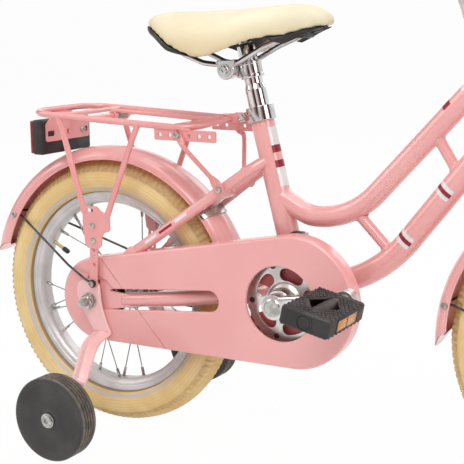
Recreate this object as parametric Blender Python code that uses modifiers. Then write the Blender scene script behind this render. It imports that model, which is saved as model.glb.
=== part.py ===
"""Child's bicycle with 14 inch wheels, stabilisers, rear rack, chaincase and mudguards.

Metres, +X forward, +Y to the rider's left, +Z up. The world origin lies on the ground under the
middle of the bike's length. Points given as (x, y, z) below are measured from the rear axle.
"""

import math

import bmesh
import bpy
from mathutils import Matrix, Vector

# Clearances
GAP = 0.0003                  # between neighbouring surfaces
RUN = 0.0003                  # radial, shaft in bore

# Wheels
WHEELBASE = 0.640
TYRE_RADIUS = 0.174
TYRE_WIDTH = 0.047
TYRE_HEIGHT = 0.0405
RIM_WIDTH = 0.025
RIM_DEPTH = 0.015
RIM_WALL = 0.002
WHEEL_STEPS = 28
SPOKE_RADIUS = 0.0009
SPOKES_PER_SIDE = 10
SPOKE_CROSS = math.radians(26.0)
FLANGE_Y = 0.0255
FLANGE_WALL = 0.0035
REAR_FLANGE_RADIUS = 0.031
REAR_SHELL_RADIUS = 0.020
FRONT_FLANGE_RADIUS = 0.022
FRONT_SHELL_RADIUS = 0.0135
REAR_AXLE_RADIUS = 0.005
FRONT_AXLE_RADIUS = 0.0045

# Frame
BB_X = 0.272
BB_Z = 0.0256
BB_RADIUS = 0.020
BB_WIDTH = 0.068
SEAT_LEAN = math.radians(14.1)
SEAT_TUBE_RADIUS = 0.0143
SEAT_TUBE_LENGTH = 0.2329
SEAT_BORE_DEPTH = 0.120
HEAD_ANGLE = math.radians(70.0)
FORK_OFFSET = 0.025
FORK_ROOM = 0.0745            # head tube foot above the tyre, along the steering axis
HEAD_TUBE_LENGTH = 0.105
HEAD_TUBE_RADIUS = 0.017
HEAD_TUBE_WALL = 0.003
TOP_TUBE_RADIUS = 0.0127
TOP_TUBE_ON_SEAT = 0.123      # along the seat tube
TOP_TUBE_ON_HEAD = 0.0245     # below the head tube's top
TOP_TUBE_DIP_X = 0.022        # ahead of the bottom bracket
TOP_TUBE_DIP_Z = 0.0975       # above the bottom bracket
TOP_TUBE_DIP_RADIUS = 0.104
TOP_TUBE_SEAT_BEND = 0.045
DOWN_TUBE_RADIUS = 0.0143
DOWN_TUBE_ON_HEAD = 0.0225    # above the head tube's foot
DOWN_TUBE_KNEE_X = 0.1105
DOWN_TUBE_KNEE_Z = 0.0426
DOWN_TUBE_BEND = 0.170
BRACE_RADIUS = 0.0065
BRACE_FRONT_TOP = 0.094       # back from the head, along the top tube
BRACE_FRONT_FOOT = 0.083      # back from the head, along the down tube
BRACE_REAR_TOP = 0.232
BRACE_REAR_FOOT = 0.208

# Rear triangle, layers across the bike measured from the middle plane
DROPOUT_INNER = 0.050
DROPOUT_WALL = 0.004
CHAINSTAY_RADIUS = 0.0095
CHAINSTAY_Y = 0.0465
CHAINSTAY_FRONT_Y = 0.020
CHAINSTAY_BRIDGE_RADIUS = 0.006
CHAINSTAY_BRIDGE_BEHIND = 0.012
SEATSTAY_RADIUS = 0.0070
SEATSTAY_TOP = 0.1685         # along the seat tube
SEATSTAY_TOP_Y = 0.018
SEATSTAY_FOOT_X = 0.052
SEATSTAY_FOOT_Z = 0.060
BRIDGE_RADIUS = 0.005
BRIDGE_ABOVE_GUARD = 0.0166

# Rear mudguard
GUARD_WALL = 0.0012
REAR_GUARD_CROWN = 0.028      # above the tyre
REAR_GUARD_EDGE = 0.0021
REAR_GUARD_HALF = 0.0255
REAR_GUARD_FROM = math.radians(167.0)
REAR_GUARD_TO = math.radians(12.0)
FRONT_GUARD_CROWN = 0.019
FRONT_GUARD_EDGE = -0.009
FRONT_GUARD_HALF = 0.0275
FRONT_GUARD_FROM = math.radians(183.0)
FRONT_GUARD_TO = math.radians(50.0)
STAY_WIRE_RADIUS = 0.0015
EYE_X = 0.008
EYE_Z = 0.024
EYE_RADIUS = 0.005
EYE_WALL = 0.003

# Stabilisers
BRACKET_INNER = 0.0585
BRACKET_WALL = 0.004
BRACKET_TOP = 0.028
STABILISER_RADIUS = 0.0516
STABILISER_WIDTH = 0.027
STABILISER_X = 0.0245
STABILISER_LIFT = 0.0059      # wheel above the ground
STABILISER_INNER_Y = 0.153
STABILISER_BOLT_RADIUS = 0.004

# Chaincase and drive
CASE_FACE_Y = 0.058
CASE_WALL = 0.0015
CASE_DEPTH = 0.022
CASE_EDGE = 0.003
CASE_FRONT_X = 0.288
CASE_FRONT_Z = 0.0285
CASE_FRONT_RADIUS = 0.0795
CASE_REAR_X = 0.008
CASE_REAR_Z = 0.002
CASE_REAR_RADIUS = 0.0535
CASE_HOLE_RADIUS = 0.0454
CASE_SLOT_FRONT = 0.083       # slot end behind the bottom bracket
CASE_SLOT_HEIGHT = 0.027
CASE_SLOT_Z = 0.0095
CASE_JOINT_X = 0.0435
CASE_JOINT_TILT = math.radians(36.7)
CHAIN_Y = 0.0415
CHAIN_WIDTH = 0.0065
CHAIN_HEIGHT = 0.0076
CHAIN_PITCH = 0.0127
CHAIN_SEAT = 0.0009            # plates below the chain's inner run
CHAINRING_TEETH = 28
SPROCKET_TEETH = 16
PLATE_WALL = 0.003
CHAINRING_BOSS = 0.017
CRANK_AXLE_RADIUS = 0.008
CRANK_LENGTH = 0.102
CRANK_ANGLE = math.radians(13.3)
CRANK_INNER_Y = 0.060
CRANK_WALL = 0.014
CRANK_BOSS_RADIUS = 0.015
CRANK_EYE_RADIUS = 0.012
CRANK_SPLAY = 0.018
PEDAL_LENGTH = 0.0585
PEDAL_HEIGHT = 0.021
PEDAL_WIDTH = 0.088
PEDAL_FREE = 0.008            # between crank eye and pedal
PEDAL_AXLE_RADIUS = 0.0065
PEDAL_PITCH = math.radians(12.4)

# Rack
RACK_ABOVE_GUARD = 0.0318
RACK_FALL = 0.04              # drop per metre going forward
RACK_HALF = 0.0656
RACK_TUBE_RADIUS = 0.004
RACK_REAR_X = -0.086
RACK_CORNER = 0.035
RACK_BEND_X = 0.158
RACK_BAR_RADIUS = 0.003
SIDE_PLATE_WALL = 0.0025
SIDE_PLATE_FROM = 0.108
SIDE_PLATE_TO = 0.194
SIDE_PLATE_HEIGHT = 0.0135
LEG_PLATE_WALL = 0.0025
STRAP_WALL = 0.002
REFLECTOR_HALF = 0.050
REFLECTOR_HEIGHT = 0.045
REFLECTOR_DEPTH = 0.017
LENS_DEPTH = 0.0037
CLIP_WIRE_RADIUS = 0.0025
CLIP_HALF = 0.013
CLIP_PIVOT_X = 0.009
CLIP_END_X = 0.168
CURL_RADIUS = 0.0055
CURL_WIRE_RADIUS = 0.0008
CURL_PITCH = 0.0032
CURLS = 6
CURL_POINTS = 8

# Seat
COLLAR_RADIUS = 0.0172
COLLAR_HEIGHT = 0.018
POST_RADIUS = 0.0127
POST_NECK_RADIUS = 0.011
POST_INSERTED = 0.086
POST_NECK = 0.027             # neck's start above the seat tube
POST_TOP = 0.0778
CLAMP_HEIGHT = 0.020
CLAMP_WALL = 0.003
CLAMP_RISE = 0.0449           # clamp's middle above the seat tube
CLAMP_PIVOT_X = -0.0222       # saddle pivot behind the post's axis
CLAMP_HALF = 0.009
RAIL_RADIUS = 0.0033
RAIL_Y = 0.020
RAIL_PLATE_RADIUS = 0.0105
PAD_THICKNESS = 0.020
PAD_EDGE = 0.005
BASE_WALL = 0.0025
BASE_RIM = 0.006
SADDLE_STRETCH = 1.0          # saddle length factor from its own stations

# Steering
STEERER_RADIUS = 0.0125
CUP_HEIGHT = 0.010
CUP_RADIUS = 0.0185
BLADE_RADIUS = 0.009
BLADE_Y = 0.043
FORK_DROPOUT_INNER = 0.0465
FORK_DROPOUT_WALL = 0.004
QUILL_RADIUS = 0.011
QUILL_DEPTH = 0.038
STEM_RISE = 0.066
STEM_REACH = 0.035
BAR_RADIUS = 0.011
BAR_SHOULDER_Y = 0.045
BAR_RISE = 0.104
BAR_RISE_Y = 0.108
BAR_RISE_BACK = 0.014
BAR_END_Y = 0.230
BAR_END_BACK = 0.092
BAR_END_RISE = 0.100
GRIP_LENGTH = 0.092
GRIP_RADIUS = 0.0155
GRIP_CAP = 0.002
LEVER_LENGTH = 0.082
LEVER_WALL = 0.006
LEVER_PIVOT = 0.025
CABLE_RADIUS = 0.0025
ARM_WALL = 0.004
ARM_PIVOT = 0.018             # above the mudguard
ARM_FORE = 0.0180             # inner arm's back face ahead of the steering axis
BRAKE_ROOM = 0.002            # pad to rim

# Derived places
AXLE_Z = TYRE_RADIUS
RIM_RADIUS = TYRE_RADIUS - TYRE_HEIGHT
RIM_INNER = RIM_RADIUS - RIM_DEPTH
REAR_CROWN_RADIUS = TYRE_RADIUS + REAR_GUARD_CROWN
REAR_REACH = REAR_CROWN_RADIUS * -math.cos(REAR_GUARD_FROM) - 0.001
FRONT_REACH = WHEELBASE + TYRE_RADIUS
REAR_X = -(FRONT_REACH - REAR_REACH) / 2
BB = Vector((BB_X, 0.0, BB_Z))
SEAT_UP = Vector((-math.sin(SEAT_LEAN), 0.0, math.cos(SEAT_LEAN)))
SEAT_BACK = Vector((-math.cos(SEAT_LEAN), 0.0, -math.sin(SEAT_LEAN)))
STEER_UP = Vector((-math.cos(HEAD_ANGLE), 0.0, math.sin(HEAD_ANGLE)))
STEER_FORE = Vector((math.sin(HEAD_ANGLE), 0.0, math.cos(HEAD_ANGLE)))
FRONT_HUB = Vector((WHEELBASE, 0.0, 0.0))
STEER_FOOT = FRONT_HUB - FORK_OFFSET * STEER_FORE
HEAD_FOOT = TYRE_RADIUS + FORK_ROOM
HEAD_TOP = HEAD_FOOT + HEAD_TUBE_LENGTH
Y = Vector((0.0, 1.0, 0.0))

COLOURS = {
    "pink_paint": ((0.86, 0.42, 0.42, 1.0), 0.32, 0.0),
    "tan_rubber": ((0.80, 0.60, 0.33, 1.0), 0.75, 0.0),
    "black_rubber": ((0.05, 0.05, 0.05, 1.0), 0.75, 0.0),
    "rim_alloy": ((0.80, 0.80, 0.80, 1.0), 0.30, 1.0),
    "steel": ((0.62, 0.62, 0.62, 1.0), 0.30, 1.0),
    "chrome": ((0.85, 0.85, 0.85, 1.0), 0.08, 1.0),
    "crank_alloy": ((0.74, 0.74, 0.74, 1.0), 0.35, 1.0),
    "dark_steel": ((0.16, 0.14, 0.13, 1.0), 0.45, 1.0),
    "black_plastic": ((0.045, 0.045, 0.045, 1.0), 0.50, 0.0),
    "cream_vinyl": ((0.88, 0.78, 0.57, 1.0), 0.50, 0.0),
    "cream_rubber": ((0.85, 0.74, 0.52, 1.0), 0.60, 0.0),
    "red_lens": ((0.50, 0.02, 0.03, 1.0), 0.15, 0.0),
}

for old in list(bpy.data.objects):
    bpy.data.objects.remove(old, do_unlink=True)
bike = bpy.data.collections.new("kids_bike")
bpy.context.scene.collection.children.link(bike)
materials = {}
for slot, (colour, rough, metal) in COLOURS.items():
    material = bpy.data.materials.new(slot)
    material.use_nodes = True
    shader = material.node_tree.nodes["Principled BSDF"]
    shader.inputs["Base Color"].default_value = colour
    shader.inputs["Roughness"].default_value = rough
    shader.inputs["Metallic"].default_value = metal
    material.diffuse_color = colour
    materials[slot] = material


def at(x, y, z):
    """World place of a point measured from the rear axle."""
    return Vector((REAR_X + x, y, AXLE_Z + z))


def world(point):
    return at(point.x, point.y, point.z)


def steer(along, fore, y=0.0):
    """Point on the steering axis's plane: along the axis, ahead of it and across."""
    return STEER_FOOT + along * STEER_UP + fore * STEER_FORE + y * Y


def seat(along, back=0.0, y=0.0):
    """Point on the seat tube's plane, measured up from the bottom bracket."""
    return BB + along * SEAT_UP + back * SEAT_BACK + y * Y


def bored(radius, sides):
    """Corner radius of a bore with flat sides that still clears a shaft of the given radius."""
    return (radius + RUN) / math.cos(math.pi / sides)


# Mesh helpers

def link(name, data):
    body = bpy.data.objects.new(name, data)
    bike.objects.link(body)
    return body


def from_bmesh(name, bm):
    bmesh.ops.recalc_face_normals(bm, faces=bm.faces)
    mesh = bpy.data.meshes.new(name)
    bm.to_mesh(mesh)
    bm.free()
    return link(name, mesh)


def bake(body):
    """The evaluated shape as a plain mesh in world space."""
    bpy.context.view_layer.update()
    graph = bpy.context.evaluated_depsgraph_get()
    mesh = bpy.data.meshes.new_from_object(body.evaluated_get(graph))
    mesh.transform(body.matrix_world)
    name = body.name
    bpy.data.objects.remove(body, do_unlink=True)
    bm = bmesh.new()
    bm.from_mesh(mesh)
    bmesh.ops.remove_doubles(bm, verts=bm.verts, dist=0.000005)
    bmesh.ops.recalc_face_normals(bm, faces=bm.faces)
    bm.to_mesh(mesh)
    bm.free()
    return link(name, mesh)


def combine(body, tool, operation):
    """Boolean of two meshes, then the tool is dropped."""
    step = body.modifiers.new(operation.lower(), "BOOLEAN")
    step.operation = operation
    step.object = tool
    result = bake(body)
    bpy.data.objects.remove(tool, do_unlink=True)
    return result


def union(parts):
    body = parts[0]
    for other in parts[1:]:
        body = combine(body, other, "UNION")
    return body


def cut(body, tools):
    for tool in tools:
        body = combine(body, tool, "DIFFERENCE")
    return body


def tube(points, radius, sides=12, closed=False, keep=False):
    """Bevelled curve through the points, measured from the rear axle."""
    curve = bpy.data.curves.new("tube", "CURVE")
    curve.dimensions = "3D"
    curve.bevel_depth = radius
    curve.bevel_resolution = (sides - 4) // 2
    curve.use_fill_caps = not closed
    spline = curve.splines.new("POLY")
    spline.points.add(len(points) - 1)
    for slot_point, point in zip(spline.points, points):
        place = world(Vector(point))
        slot_point.co = (place.x, place.y, place.z, 1.0)
    spline.use_cyclic_u = closed
    body = link("tube", curve)
    return body if keep else bake(body)


def rod(a, b, radius, sides=16, end_radius=None):
    """Round bar or cone between two points."""
    a = world(Vector(a))
    b = world(Vector(b))
    turn = (b - a).to_track_quat("Z", "Y").to_matrix().to_4x4()
    bm = bmesh.new()
    bmesh.ops.create_cone(
        bm, cap_ends=True, segments=sides, radius1=radius,
        radius2=radius if end_radius is None else end_radius, depth=(b - a).length,
        matrix=Matrix.Translation((a + b) / 2) @ turn)
    return from_bmesh("rod", bm)


def box(low, high):
    low = world(Vector(low))
    high = world(Vector(high))
    size = high - low
    bm = bmesh.new()
    bmesh.ops.create_cube(bm, size=1.0)
    bmesh.ops.scale(bm, vec=size, verts=bm.verts)
    bmesh.ops.translate(bm, vec=(low + high) / 2, verts=bm.verts)
    return from_bmesh("box", bm)


def block(centre, along, across, half_along, half_across, y_from, y_to):
    """Box whose long side lies along a direction in the side view."""
    middle = Vector(centre)
    ring = []
    for i, j in ((-1, -1), (1, -1), (1, 1), (-1, 1)):
        ring.append(middle + i * half_along * along + j * half_across * across)
    return loft([[p + y_from * Y for p in ring], [p + y_to * Y for p in ring]])


def turned(profile, centre, axis, steps, closed=True, start=None):
    """Profile of (radius, along) running down its outer side, screwed about the axis."""
    mesh = bpy.data.meshes.new("turned")
    verts = [(radius, 0.0, along) for radius, along in profile]
    edges = [(i, i + 1) for i in range(len(profile) - 1)]
    if closed:
        edges.append((len(profile) - 1, 0))
    mesh.from_pydata(verts, edges, [])
    body = link("turned", mesh)
    screw = body.modifiers.new("screw", "SCREW")
    screw.axis = "Z"
    screw.steps = steps
    screw.render_steps = steps
    screw.use_merge_vertices = True
    screw.merge_threshold = 0.00001
    axis = Vector(axis).normalized()
    side = Vector(start) if start else axis.orthogonal().normalized()
    side = (side - side.dot(axis) * axis).normalized()
    other = axis.cross(side)
    frame = Matrix((side, other, axis)).transposed().to_4x4()
    body.matrix_world = Matrix.Translation(world(Vector(centre))) @ frame
    return bake(body)


def plate(outline, y_from, y_to, holes=()):
    """Flat plate square to Y from an outline of (x, z), with holes as further outlines."""
    curve = bpy.data.curves.new("plate", "CURVE")
    curve.dimensions = "2D"
    curve.fill_mode = "BOTH"
    curve.extrude = abs(y_to - y_from) / 2
    for ring in [outline, *holes]:
        spline = curve.splines.new("POLY")
        spline.points.add(len(ring) - 1)
        for slot_point, (x, z) in zip(spline.points, ring):
            slot_point.co = (x, z, 0.0, 1.0)
        spline.use_cyclic_u = True
    body = link("plate", curve)
    middle = at(0.0, (y_from + y_to) / 2, 0.0)
    body.matrix_world = Matrix.Translation(middle) @ Matrix.Rotation(math.pi / 2, 4, "X")
    return bake(body)


def loft(rings):
    """Solid through closed rings of points, the first and last of them filled."""
    bm = bmesh.new()
    rows = [[bm.verts.new(world(Vector(p))) for p in ring] for ring in rings]
    count = len(rows[0])
    for row, following in zip(rows, rows[1:]):
        for i in range(count):
            a, b, c, d = row[i], row[(i + 1) % count], following[(i + 1) % count], following[i]
            if (a.co - c.co).length > (b.co - d.co).length:
                a, b, c, d = b, c, d, a
            bm.faces.new((a, b, c))
            bm.faces.new((a, c, d))
    bm.faces.new(rows[0])
    bm.faces.new(rows[-1])
    bmesh.ops.triangulate(bm, faces=[f for f in bm.faces if len(f.verts) > 4])
    return from_bmesh("loft", bm)


def circle(x, z, radius, count=24, start=0.0):
    return [(x + radius * math.cos(start + math.tau * i / count),
             z + radius * math.sin(start + math.tau * i / count)) for i in range(count)]


def hull(discs, grow=0.0, count=24):
    """Outline round a set of (x, z, radius) discs, as a tight band would lie."""
    points = []
    for x, z, radius in discs:
        points += circle(x, z, radius + grow, count)
    points = sorted(set(points))
    sides = []
    for ordered in (points, points[::-1]):
        side = []
        for p in ordered:
            while len(side) > 1:
                a, b = side[-2], side[-1]
                if (b[0] - a[0]) * (p[1] - a[1]) - (b[1] - a[1]) * (p[0] - a[0]) > 0:
                    break
                side.pop()
            side.append(p)
        sides += side[:-1]
    return sides


def band(discs, grow, count=28):
    """Hull outline of two discs with a fixed count of points, so rings of it can be lofted."""
    (xa, za, ra), (xb, zb, rb) = discs
    reach = math.hypot(xb - xa, zb - za)
    tilt = math.atan2(zb - za, xb - xa)
    lean = math.acos((ra - rb) / reach)
    half = count // 2
    ring = []
    for i in range(half):
        angle = tilt + lean + (math.tau - 2 * lean) * i / (half - 1)
        ring.append((xa + (ra + grow) * math.cos(angle), za + (ra + grow) * math.sin(angle)))
    for i in range(half):
        angle = tilt - lean + 2 * lean * i / (half - 1)
        ring.append((xb + (rb + grow) * math.cos(angle), zb + (rb + grow) * math.sin(angle)))
    return ring


def bent(corners, radii, step=math.radians(15.0)):
    """Polyline with its inner corners rounded to the given radii."""
    corners = [Vector(c) for c in corners]
    path = [corners[0]]
    for i in range(1, len(corners) - 1):
        into = (corners[i - 1] - corners[i]).normalized()
        out = (corners[i + 1] - corners[i]).normalized()
        turn = math.pi - into.angle(out)
        radius = radii[i - 1]
        length = radius * math.tan(turn / 2)
        centre = corners[i] + (into + out).normalized() * radius / math.cos(turn / 2)
        start = corners[i] + into * length - centre
        finish = corners[i] + out * length - centre
        count = max(1, math.ceil(turn / step))
        swing = start.rotation_difference(finish)
        spin, angle = swing.axis, swing.angle
        for k in range(count + 1):
            path.append(centre + Matrix.Rotation(angle * k / count, 3, spin) @ start)
    path.append(corners[-1])
    return path


def walk(path, distance):
    """Point at a distance along a path."""
    for a, b in zip(path, path[1:]):
        length = (b - a).length
        if distance <= length:
            return a + (b - a) * distance / length
        distance -= length
    return path[-1]


def mirror(body):
    """Copy of a baked piece on the bike's other side."""
    mesh = body.data.copy()
    mesh.transform(Matrix.Scale(-1.0, 4, Y))
    mesh.flip_normals()
    return link(body.name + "_copy", mesh)


def finish(body, name, slot, pivot=None, holder=None):
    body.name = name
    body.data.name = name
    body.data.materials.clear()
    body.data.materials.append(materials[slot])
    body.data.shade_smooth()
    body.data.set_sharp_from_angle(angle=math.radians(32.0))
    if pivot is not None:
        place = world(Vector(pivot))
        body.data.transform(Matrix.Translation(-place))
        body.location = place
    if holder is not None:
        bpy.context.view_layer.update()
        body.parent = holder
        body.matrix_parent_inverse = holder.matrix_world.inverted()
    return body


def axis_empty(name, place, axis, holder=None):
    """Empty on a joint's axis, its own Z along the axis."""
    empty = bpy.data.objects.new(name, None)
    empty.empty_display_size = 0.03
    bike.objects.link(empty)
    turn = Vector(axis).to_track_quat("Z", "Y").to_matrix().to_4x4()
    matrix = Matrix.Translation(world(Vector(place))) @ turn
    if holder is not None:
        bpy.context.view_layer.update()
        empty.parent = holder
        empty.matrix_parent_inverse = holder.matrix_world.inverted()
    empty.matrix_world = matrix
    bpy.context.view_layer.update()
    return empty


# Joint axes
pivot_steer = axis_empty("axis_steering", steer(HEAD_FOOT, 0.0), STEER_UP)
pivot_front = axis_empty("axis_front_wheel", FRONT_HUB, Y, pivot_steer)
pivot_rear = axis_empty("axis_rear_wheel", (0.0, 0.0, 0.0), Y)
pivot_crank = axis_empty("axis_crank", BB, Y)
pivot_post = axis_empty("axis_seat_post", seat(SEAT_TUBE_LENGTH), SEAT_UP)


# Frame: tubes, welded into one piece, then bored
def dip_path():
    """Top tube: from the seat tube into a low bend and up to the head tube."""
    low = BB + Vector((TOP_TUBE_DIP_X, 0.0, TOP_TUBE_DIP_Z))
    path = []
    ends = ((seat(TOP_TUBE_ON_SEAT), TOP_TUBE_SEAT_BEND),
            (steer(HEAD_TOP - TOP_TUBE_ON_HEAD, 0.0), TOP_TUBE_DIP_RADIUS))
    for (end, radius), way in zip(ends, (-1, 1)):
        centre = low + Vector((0.0, 0.0, radius))
        away = end - centre
        reach = math.hypot(away.x, away.z)
        bearing = math.atan2(away.x * way, -away.z)
        swing = bearing - math.acos(min(1.0, radius / reach))
        arc = []
        count = max(2, math.ceil(swing / math.radians(14.0)))
        for k in range(count + 1):
            angle = swing * k / count
            arc.append(centre + radius * Vector((way * math.sin(angle), 0.0, -math.cos(angle))))
        arc.append(end)
        path += arc[::-1] if way < 0 else arc[1:]
    return path


top_path = dip_path()
knee = BB + Vector((DOWN_TUBE_KNEE_X, 0.0, DOWN_TUBE_KNEE_Z))
down_end = steer(HEAD_FOOT + DOWN_TUBE_ON_HEAD, 0.0)
down_path = bent([BB, knee, down_end], [DOWN_TUBE_BEND], math.radians(9.0))
main = rod(steer(HEAD_FOOT, 0.0), steer(HEAD_TOP, 0.0), HEAD_TUBE_RADIUS, 16)
pieces = [main, tube(down_path, DOWN_TUBE_RADIUS, 12), tube(top_path, TOP_TUBE_RADIUS, 12),
          rod(BB, seat(SEAT_TUBE_LENGTH), SEAT_TUBE_RADIUS, 16),
          rod(BB - BB_WIDTH / 2 * Y, BB + BB_WIDTH / 2 * Y, BB_RADIUS, 18)]
for top_back, foot_back in ((BRACE_FRONT_TOP, BRACE_FRONT_FOOT), (BRACE_REAR_TOP, BRACE_REAR_FOOT)):
    upper = walk(top_path[::-1], top_back)
    lower = walk(down_path[::-1], foot_back)
    pieces.append(rod(upper, lower, BRACE_RADIUS, 8))
main = union(pieces)
head_bore = HEAD_TUBE_RADIUS - HEAD_TUBE_WALL
main = cut(main, [
    rod(steer(HEAD_FOOT - 0.01, 0.0), steer(HEAD_TOP + 0.01, 0.0), head_bore, 16),
    rod(steer(HEAD_FOOT - 0.03, 0.0), steer(HEAD_FOOT, 0.0), CUP_RADIUS + 0.001, 16),
    rod(seat(SEAT_TUBE_LENGTH - SEAT_BORE_DEPTH), seat(SEAT_TUBE_LENGTH + 0.01), bored(POST_RADIUS, 16), 16),
    rod(BB - BB_WIDTH * Y, BB + BB_WIDTH * Y, bored(CRANK_AXLE_RADIUS, 12), 12)])
finish(main, "main_frame", "pink_paint")

# Headset cups, a turned ring each
for name, low, high in (("headset_cup_lower", HEAD_FOOT - CUP_HEIGHT - GAP, HEAD_FOOT - GAP),
                        ("headset_cup_upper", HEAD_TOP + GAP, HEAD_TOP + GAP + CUP_HEIGHT)):
    bore = bored(STEERER_RADIUS, 12)
    ring = [(bore, high - low), (CUP_RADIUS, high - low), (CUP_RADIUS, 0.0), (bore, 0.0)]
    finish(turned(ring, steer(low, 0.0), STEER_UP, 12), name, "steel")


# Rear guard surface, needed by the stays and the rack as well
def guard_point(angle, swing, inset, crown, edge):
    """Point of a mudguard's section: angle round the wheel, swing across from -90 to 90 degrees.

    crown and edge are (x, z, radius) circles, edge also holding the half width.
    """
    (cx, cz, cr), (ex, ez, er, half) = crown, edge
    out = Vector((math.cos(angle), 0.0, math.sin(angle)))
    top = Vector((cx, 0.0, cz)) + cr * out
    low = Vector((ex, 0.0, ez)) + er * out
    depth = math.cos(swing)
    place = low + (top - low) * depth
    place = place - inset * depth * out
    return place + (half - inset) * math.sin(swing) * Y


def gutter(angles, crown, edge, swings):
    rings = []
    for angle in angles:
        outer = [guard_point(angle, s, 0.0, crown, edge) for s in swings]
        inner = [guard_point(angle, s, GUARD_WALL, crown, edge) for s in swings]
        rings.append(outer + inner[::-1])
    return loft(rings)


def spread(first, last, count):
    return [first + (last - first) * i / (count - 1) for i in range(count)]


rear_crown = (0.001, -0.009, REAR_CROWN_RADIUS)
rear_edge = (0.0078, 0.002, TYRE_RADIUS + REAR_GUARD_EDGE, REAR_GUARD_HALF)
front_crown = (WHEELBASE, -0.005, TYRE_RADIUS + FRONT_GUARD_CROWN)
front_edge = (WHEELBASE - 0.008, 0.007, TYRE_RADIUS + FRONT_GUARD_EDGE, FRONT_GUARD_HALF)
SWINGS = [math.radians(a) for a in (-90, -50, 0, 50, 90)]

# Chainstays with the dropouts and a bridge
dropout_outer = DROPOUT_INNER + DROPOUT_WALL
stay_back = (0.045, 0.003)
tab_low = [(0.0, 0.0, 0.016), (0.050, 0.0035, 0.0085)]
tab_eye = [(0.0015, 0.0045, 0.0135), (EYE_X, EYE_Z, 0.0075)]
tab_high = [(0.0045, 0.006, 0.0112), (SEATSTAY_FOOT_X + 0.008, SEATSTAY_FOOT_Z + 0.008, 0.0065)]
sides = []
bridge_x = REAR_CROWN_RADIUS + CHAINSTAY_BRIDGE_BEHIND
for way in (-1, 1):
    path = [(stay_back[0], way * CHAINSTAY_Y, stay_back[1]), (0.120, way * 0.0440, 0.0120),
            (0.178, way * 0.0310, 0.0190), (BB_X, way * CHAINSTAY_FRONT_Y, BB_Z)]
    stay = tube(bent(path, [0.10, 0.12], math.radians(14.0)), CHAINSTAY_RADIUS, 8)
    tabs = [plate(hull(tab, count=10), way * (DROPOUT_INNER + skin), way * (dropout_outer - skin))
            for tab, skin in ((tab_low, 0.0), (tab_eye, 0.00012), (tab_high, 0.00024))]
    sides += [stay, *tabs]
bridge_z = 0.0215
chainstays = union([rod((bridge_x, -0.024, bridge_z), (bridge_x, 0.024, bridge_z),
                        CHAINSTAY_BRIDGE_RADIUS, 8), *sides])
tools = [rod(BB - BB_WIDTH * Y, BB + BB_WIDTH * Y, BB_RADIUS + GAP, 18),
         rod(BB - 0.03 * SEAT_UP, seat(SEAT_TUBE_LENGTH), SEAT_TUBE_RADIUS + GAP, 16),
         rod((0.0, -0.09, 0.0), (0.0, 0.09, 0.0), REAR_AXLE_RADIUS + RUN, 12)]
chainstays = cut(chainstays, tools)

# What lies ahead of the bracket shell after the cut is dropped
front_half = box((BB_X, -0.05, BB_Z - 0.04), (BB_X + 0.05, 0.05, BB_Z + 0.04))
chainstays = cut(chainstays, [front_half])
finish(chainstays, "chainstays", "pink_paint")

# Seatstays with the mudguard bridge
stay_top = seat(SEATSTAY_TOP)
stay_foot = Vector((SEATSTAY_FOOT_X, 0.0, SEATSTAY_FOOT_Z))
stay_middle_y = DROPOUT_INNER + DROPOUT_WALL / 2 - 0.003
bridge_reach = REAR_CROWN_RADIUS + BRIDGE_ABOVE_GUARD


def stay_at(share):
    """Point of the right seatstay's axis, 0 at the seat tube and 1 at the foot."""
    place = stay_top.lerp(stay_foot, share)
    place.y = -(SEATSTAY_TOP_Y + (stay_middle_y - SEATSTAY_TOP_Y) * share)
    return place


share = 0.0
while math.hypot(stay_at(share).x - rear_crown[0], stay_at(share).z - rear_crown[1]) > bridge_reach:
    share += 0.005
bridge = stay_at(share)
sides = []
for way in (-1, 1):
    flip = Vector((1.0, -way, 1.0))
    near = Vector((stay_top.x, way * SEATSTAY_TOP_Y * 0.55, stay_top.z)) + 0.012 * (stay_top - stay_foot).normalized()
    top_point = stay_at(0.10) * flip
    sides.append(tube([near, top_point, stay_at(0.5) * flip, stay_at(1.0) * flip], SEATSTAY_RADIUS, 8))
seatstays = union([rod((bridge.x, bridge.y, bridge.z), (bridge.x, -bridge.y, bridge.z), BRIDGE_RADIUS, 8),
                   *sides])
tools = [rod(BB, seat(SEAT_TUBE_LENGTH), SEAT_TUBE_RADIUS + GAP, 16)]
for way in (-1, 1):
    tools.append(plate(hull(tab_high, GAP, 12), way * (DROPOUT_INNER - GAP), way * (dropout_outer + 0.008)))
seatstays = cut(seatstays, tools)
ahead = block(seat(SEATSTAY_TOP, -0.05), SEAT_UP, SEAT_BACK, 0.06, 0.05, -0.03, 0.03)
seatstays = cut(seatstays, [ahead])
finish(seatstays, "seatstays", "pink_paint")

# Rear axle with spacers against the brackets and nuts outside them
bracket_outer = BRACKET_INNER + BRACKET_WALL
axle_end = bracket_outer + 0.018
steps = [(axle_end, REAR_AXLE_RADIUS), (bracket_outer + 0.0095, 0.0095),
         (bracket_outer + GAP, REAR_AXLE_RADIUS), (BRACKET_INNER - GAP, 0.010),
         (dropout_outer + GAP, REAR_AXLE_RADIUS)]
half_profile = [(0.0, axle_end)]
for (place, radius), (following, _) in zip(steps, steps[1:] + [(0.0, 0.0)]):
    half_profile.append((radius, place))
    half_profile.append((radius, following))
half_profile = half_profile[:-1]
profile = half_profile + [(radius, -place) for radius, place in half_profile[::-1]]
finish(turned(profile, (0.0, 0.0, 0.0), Y, 10, closed=False), "rear_axle", "steel")

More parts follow.
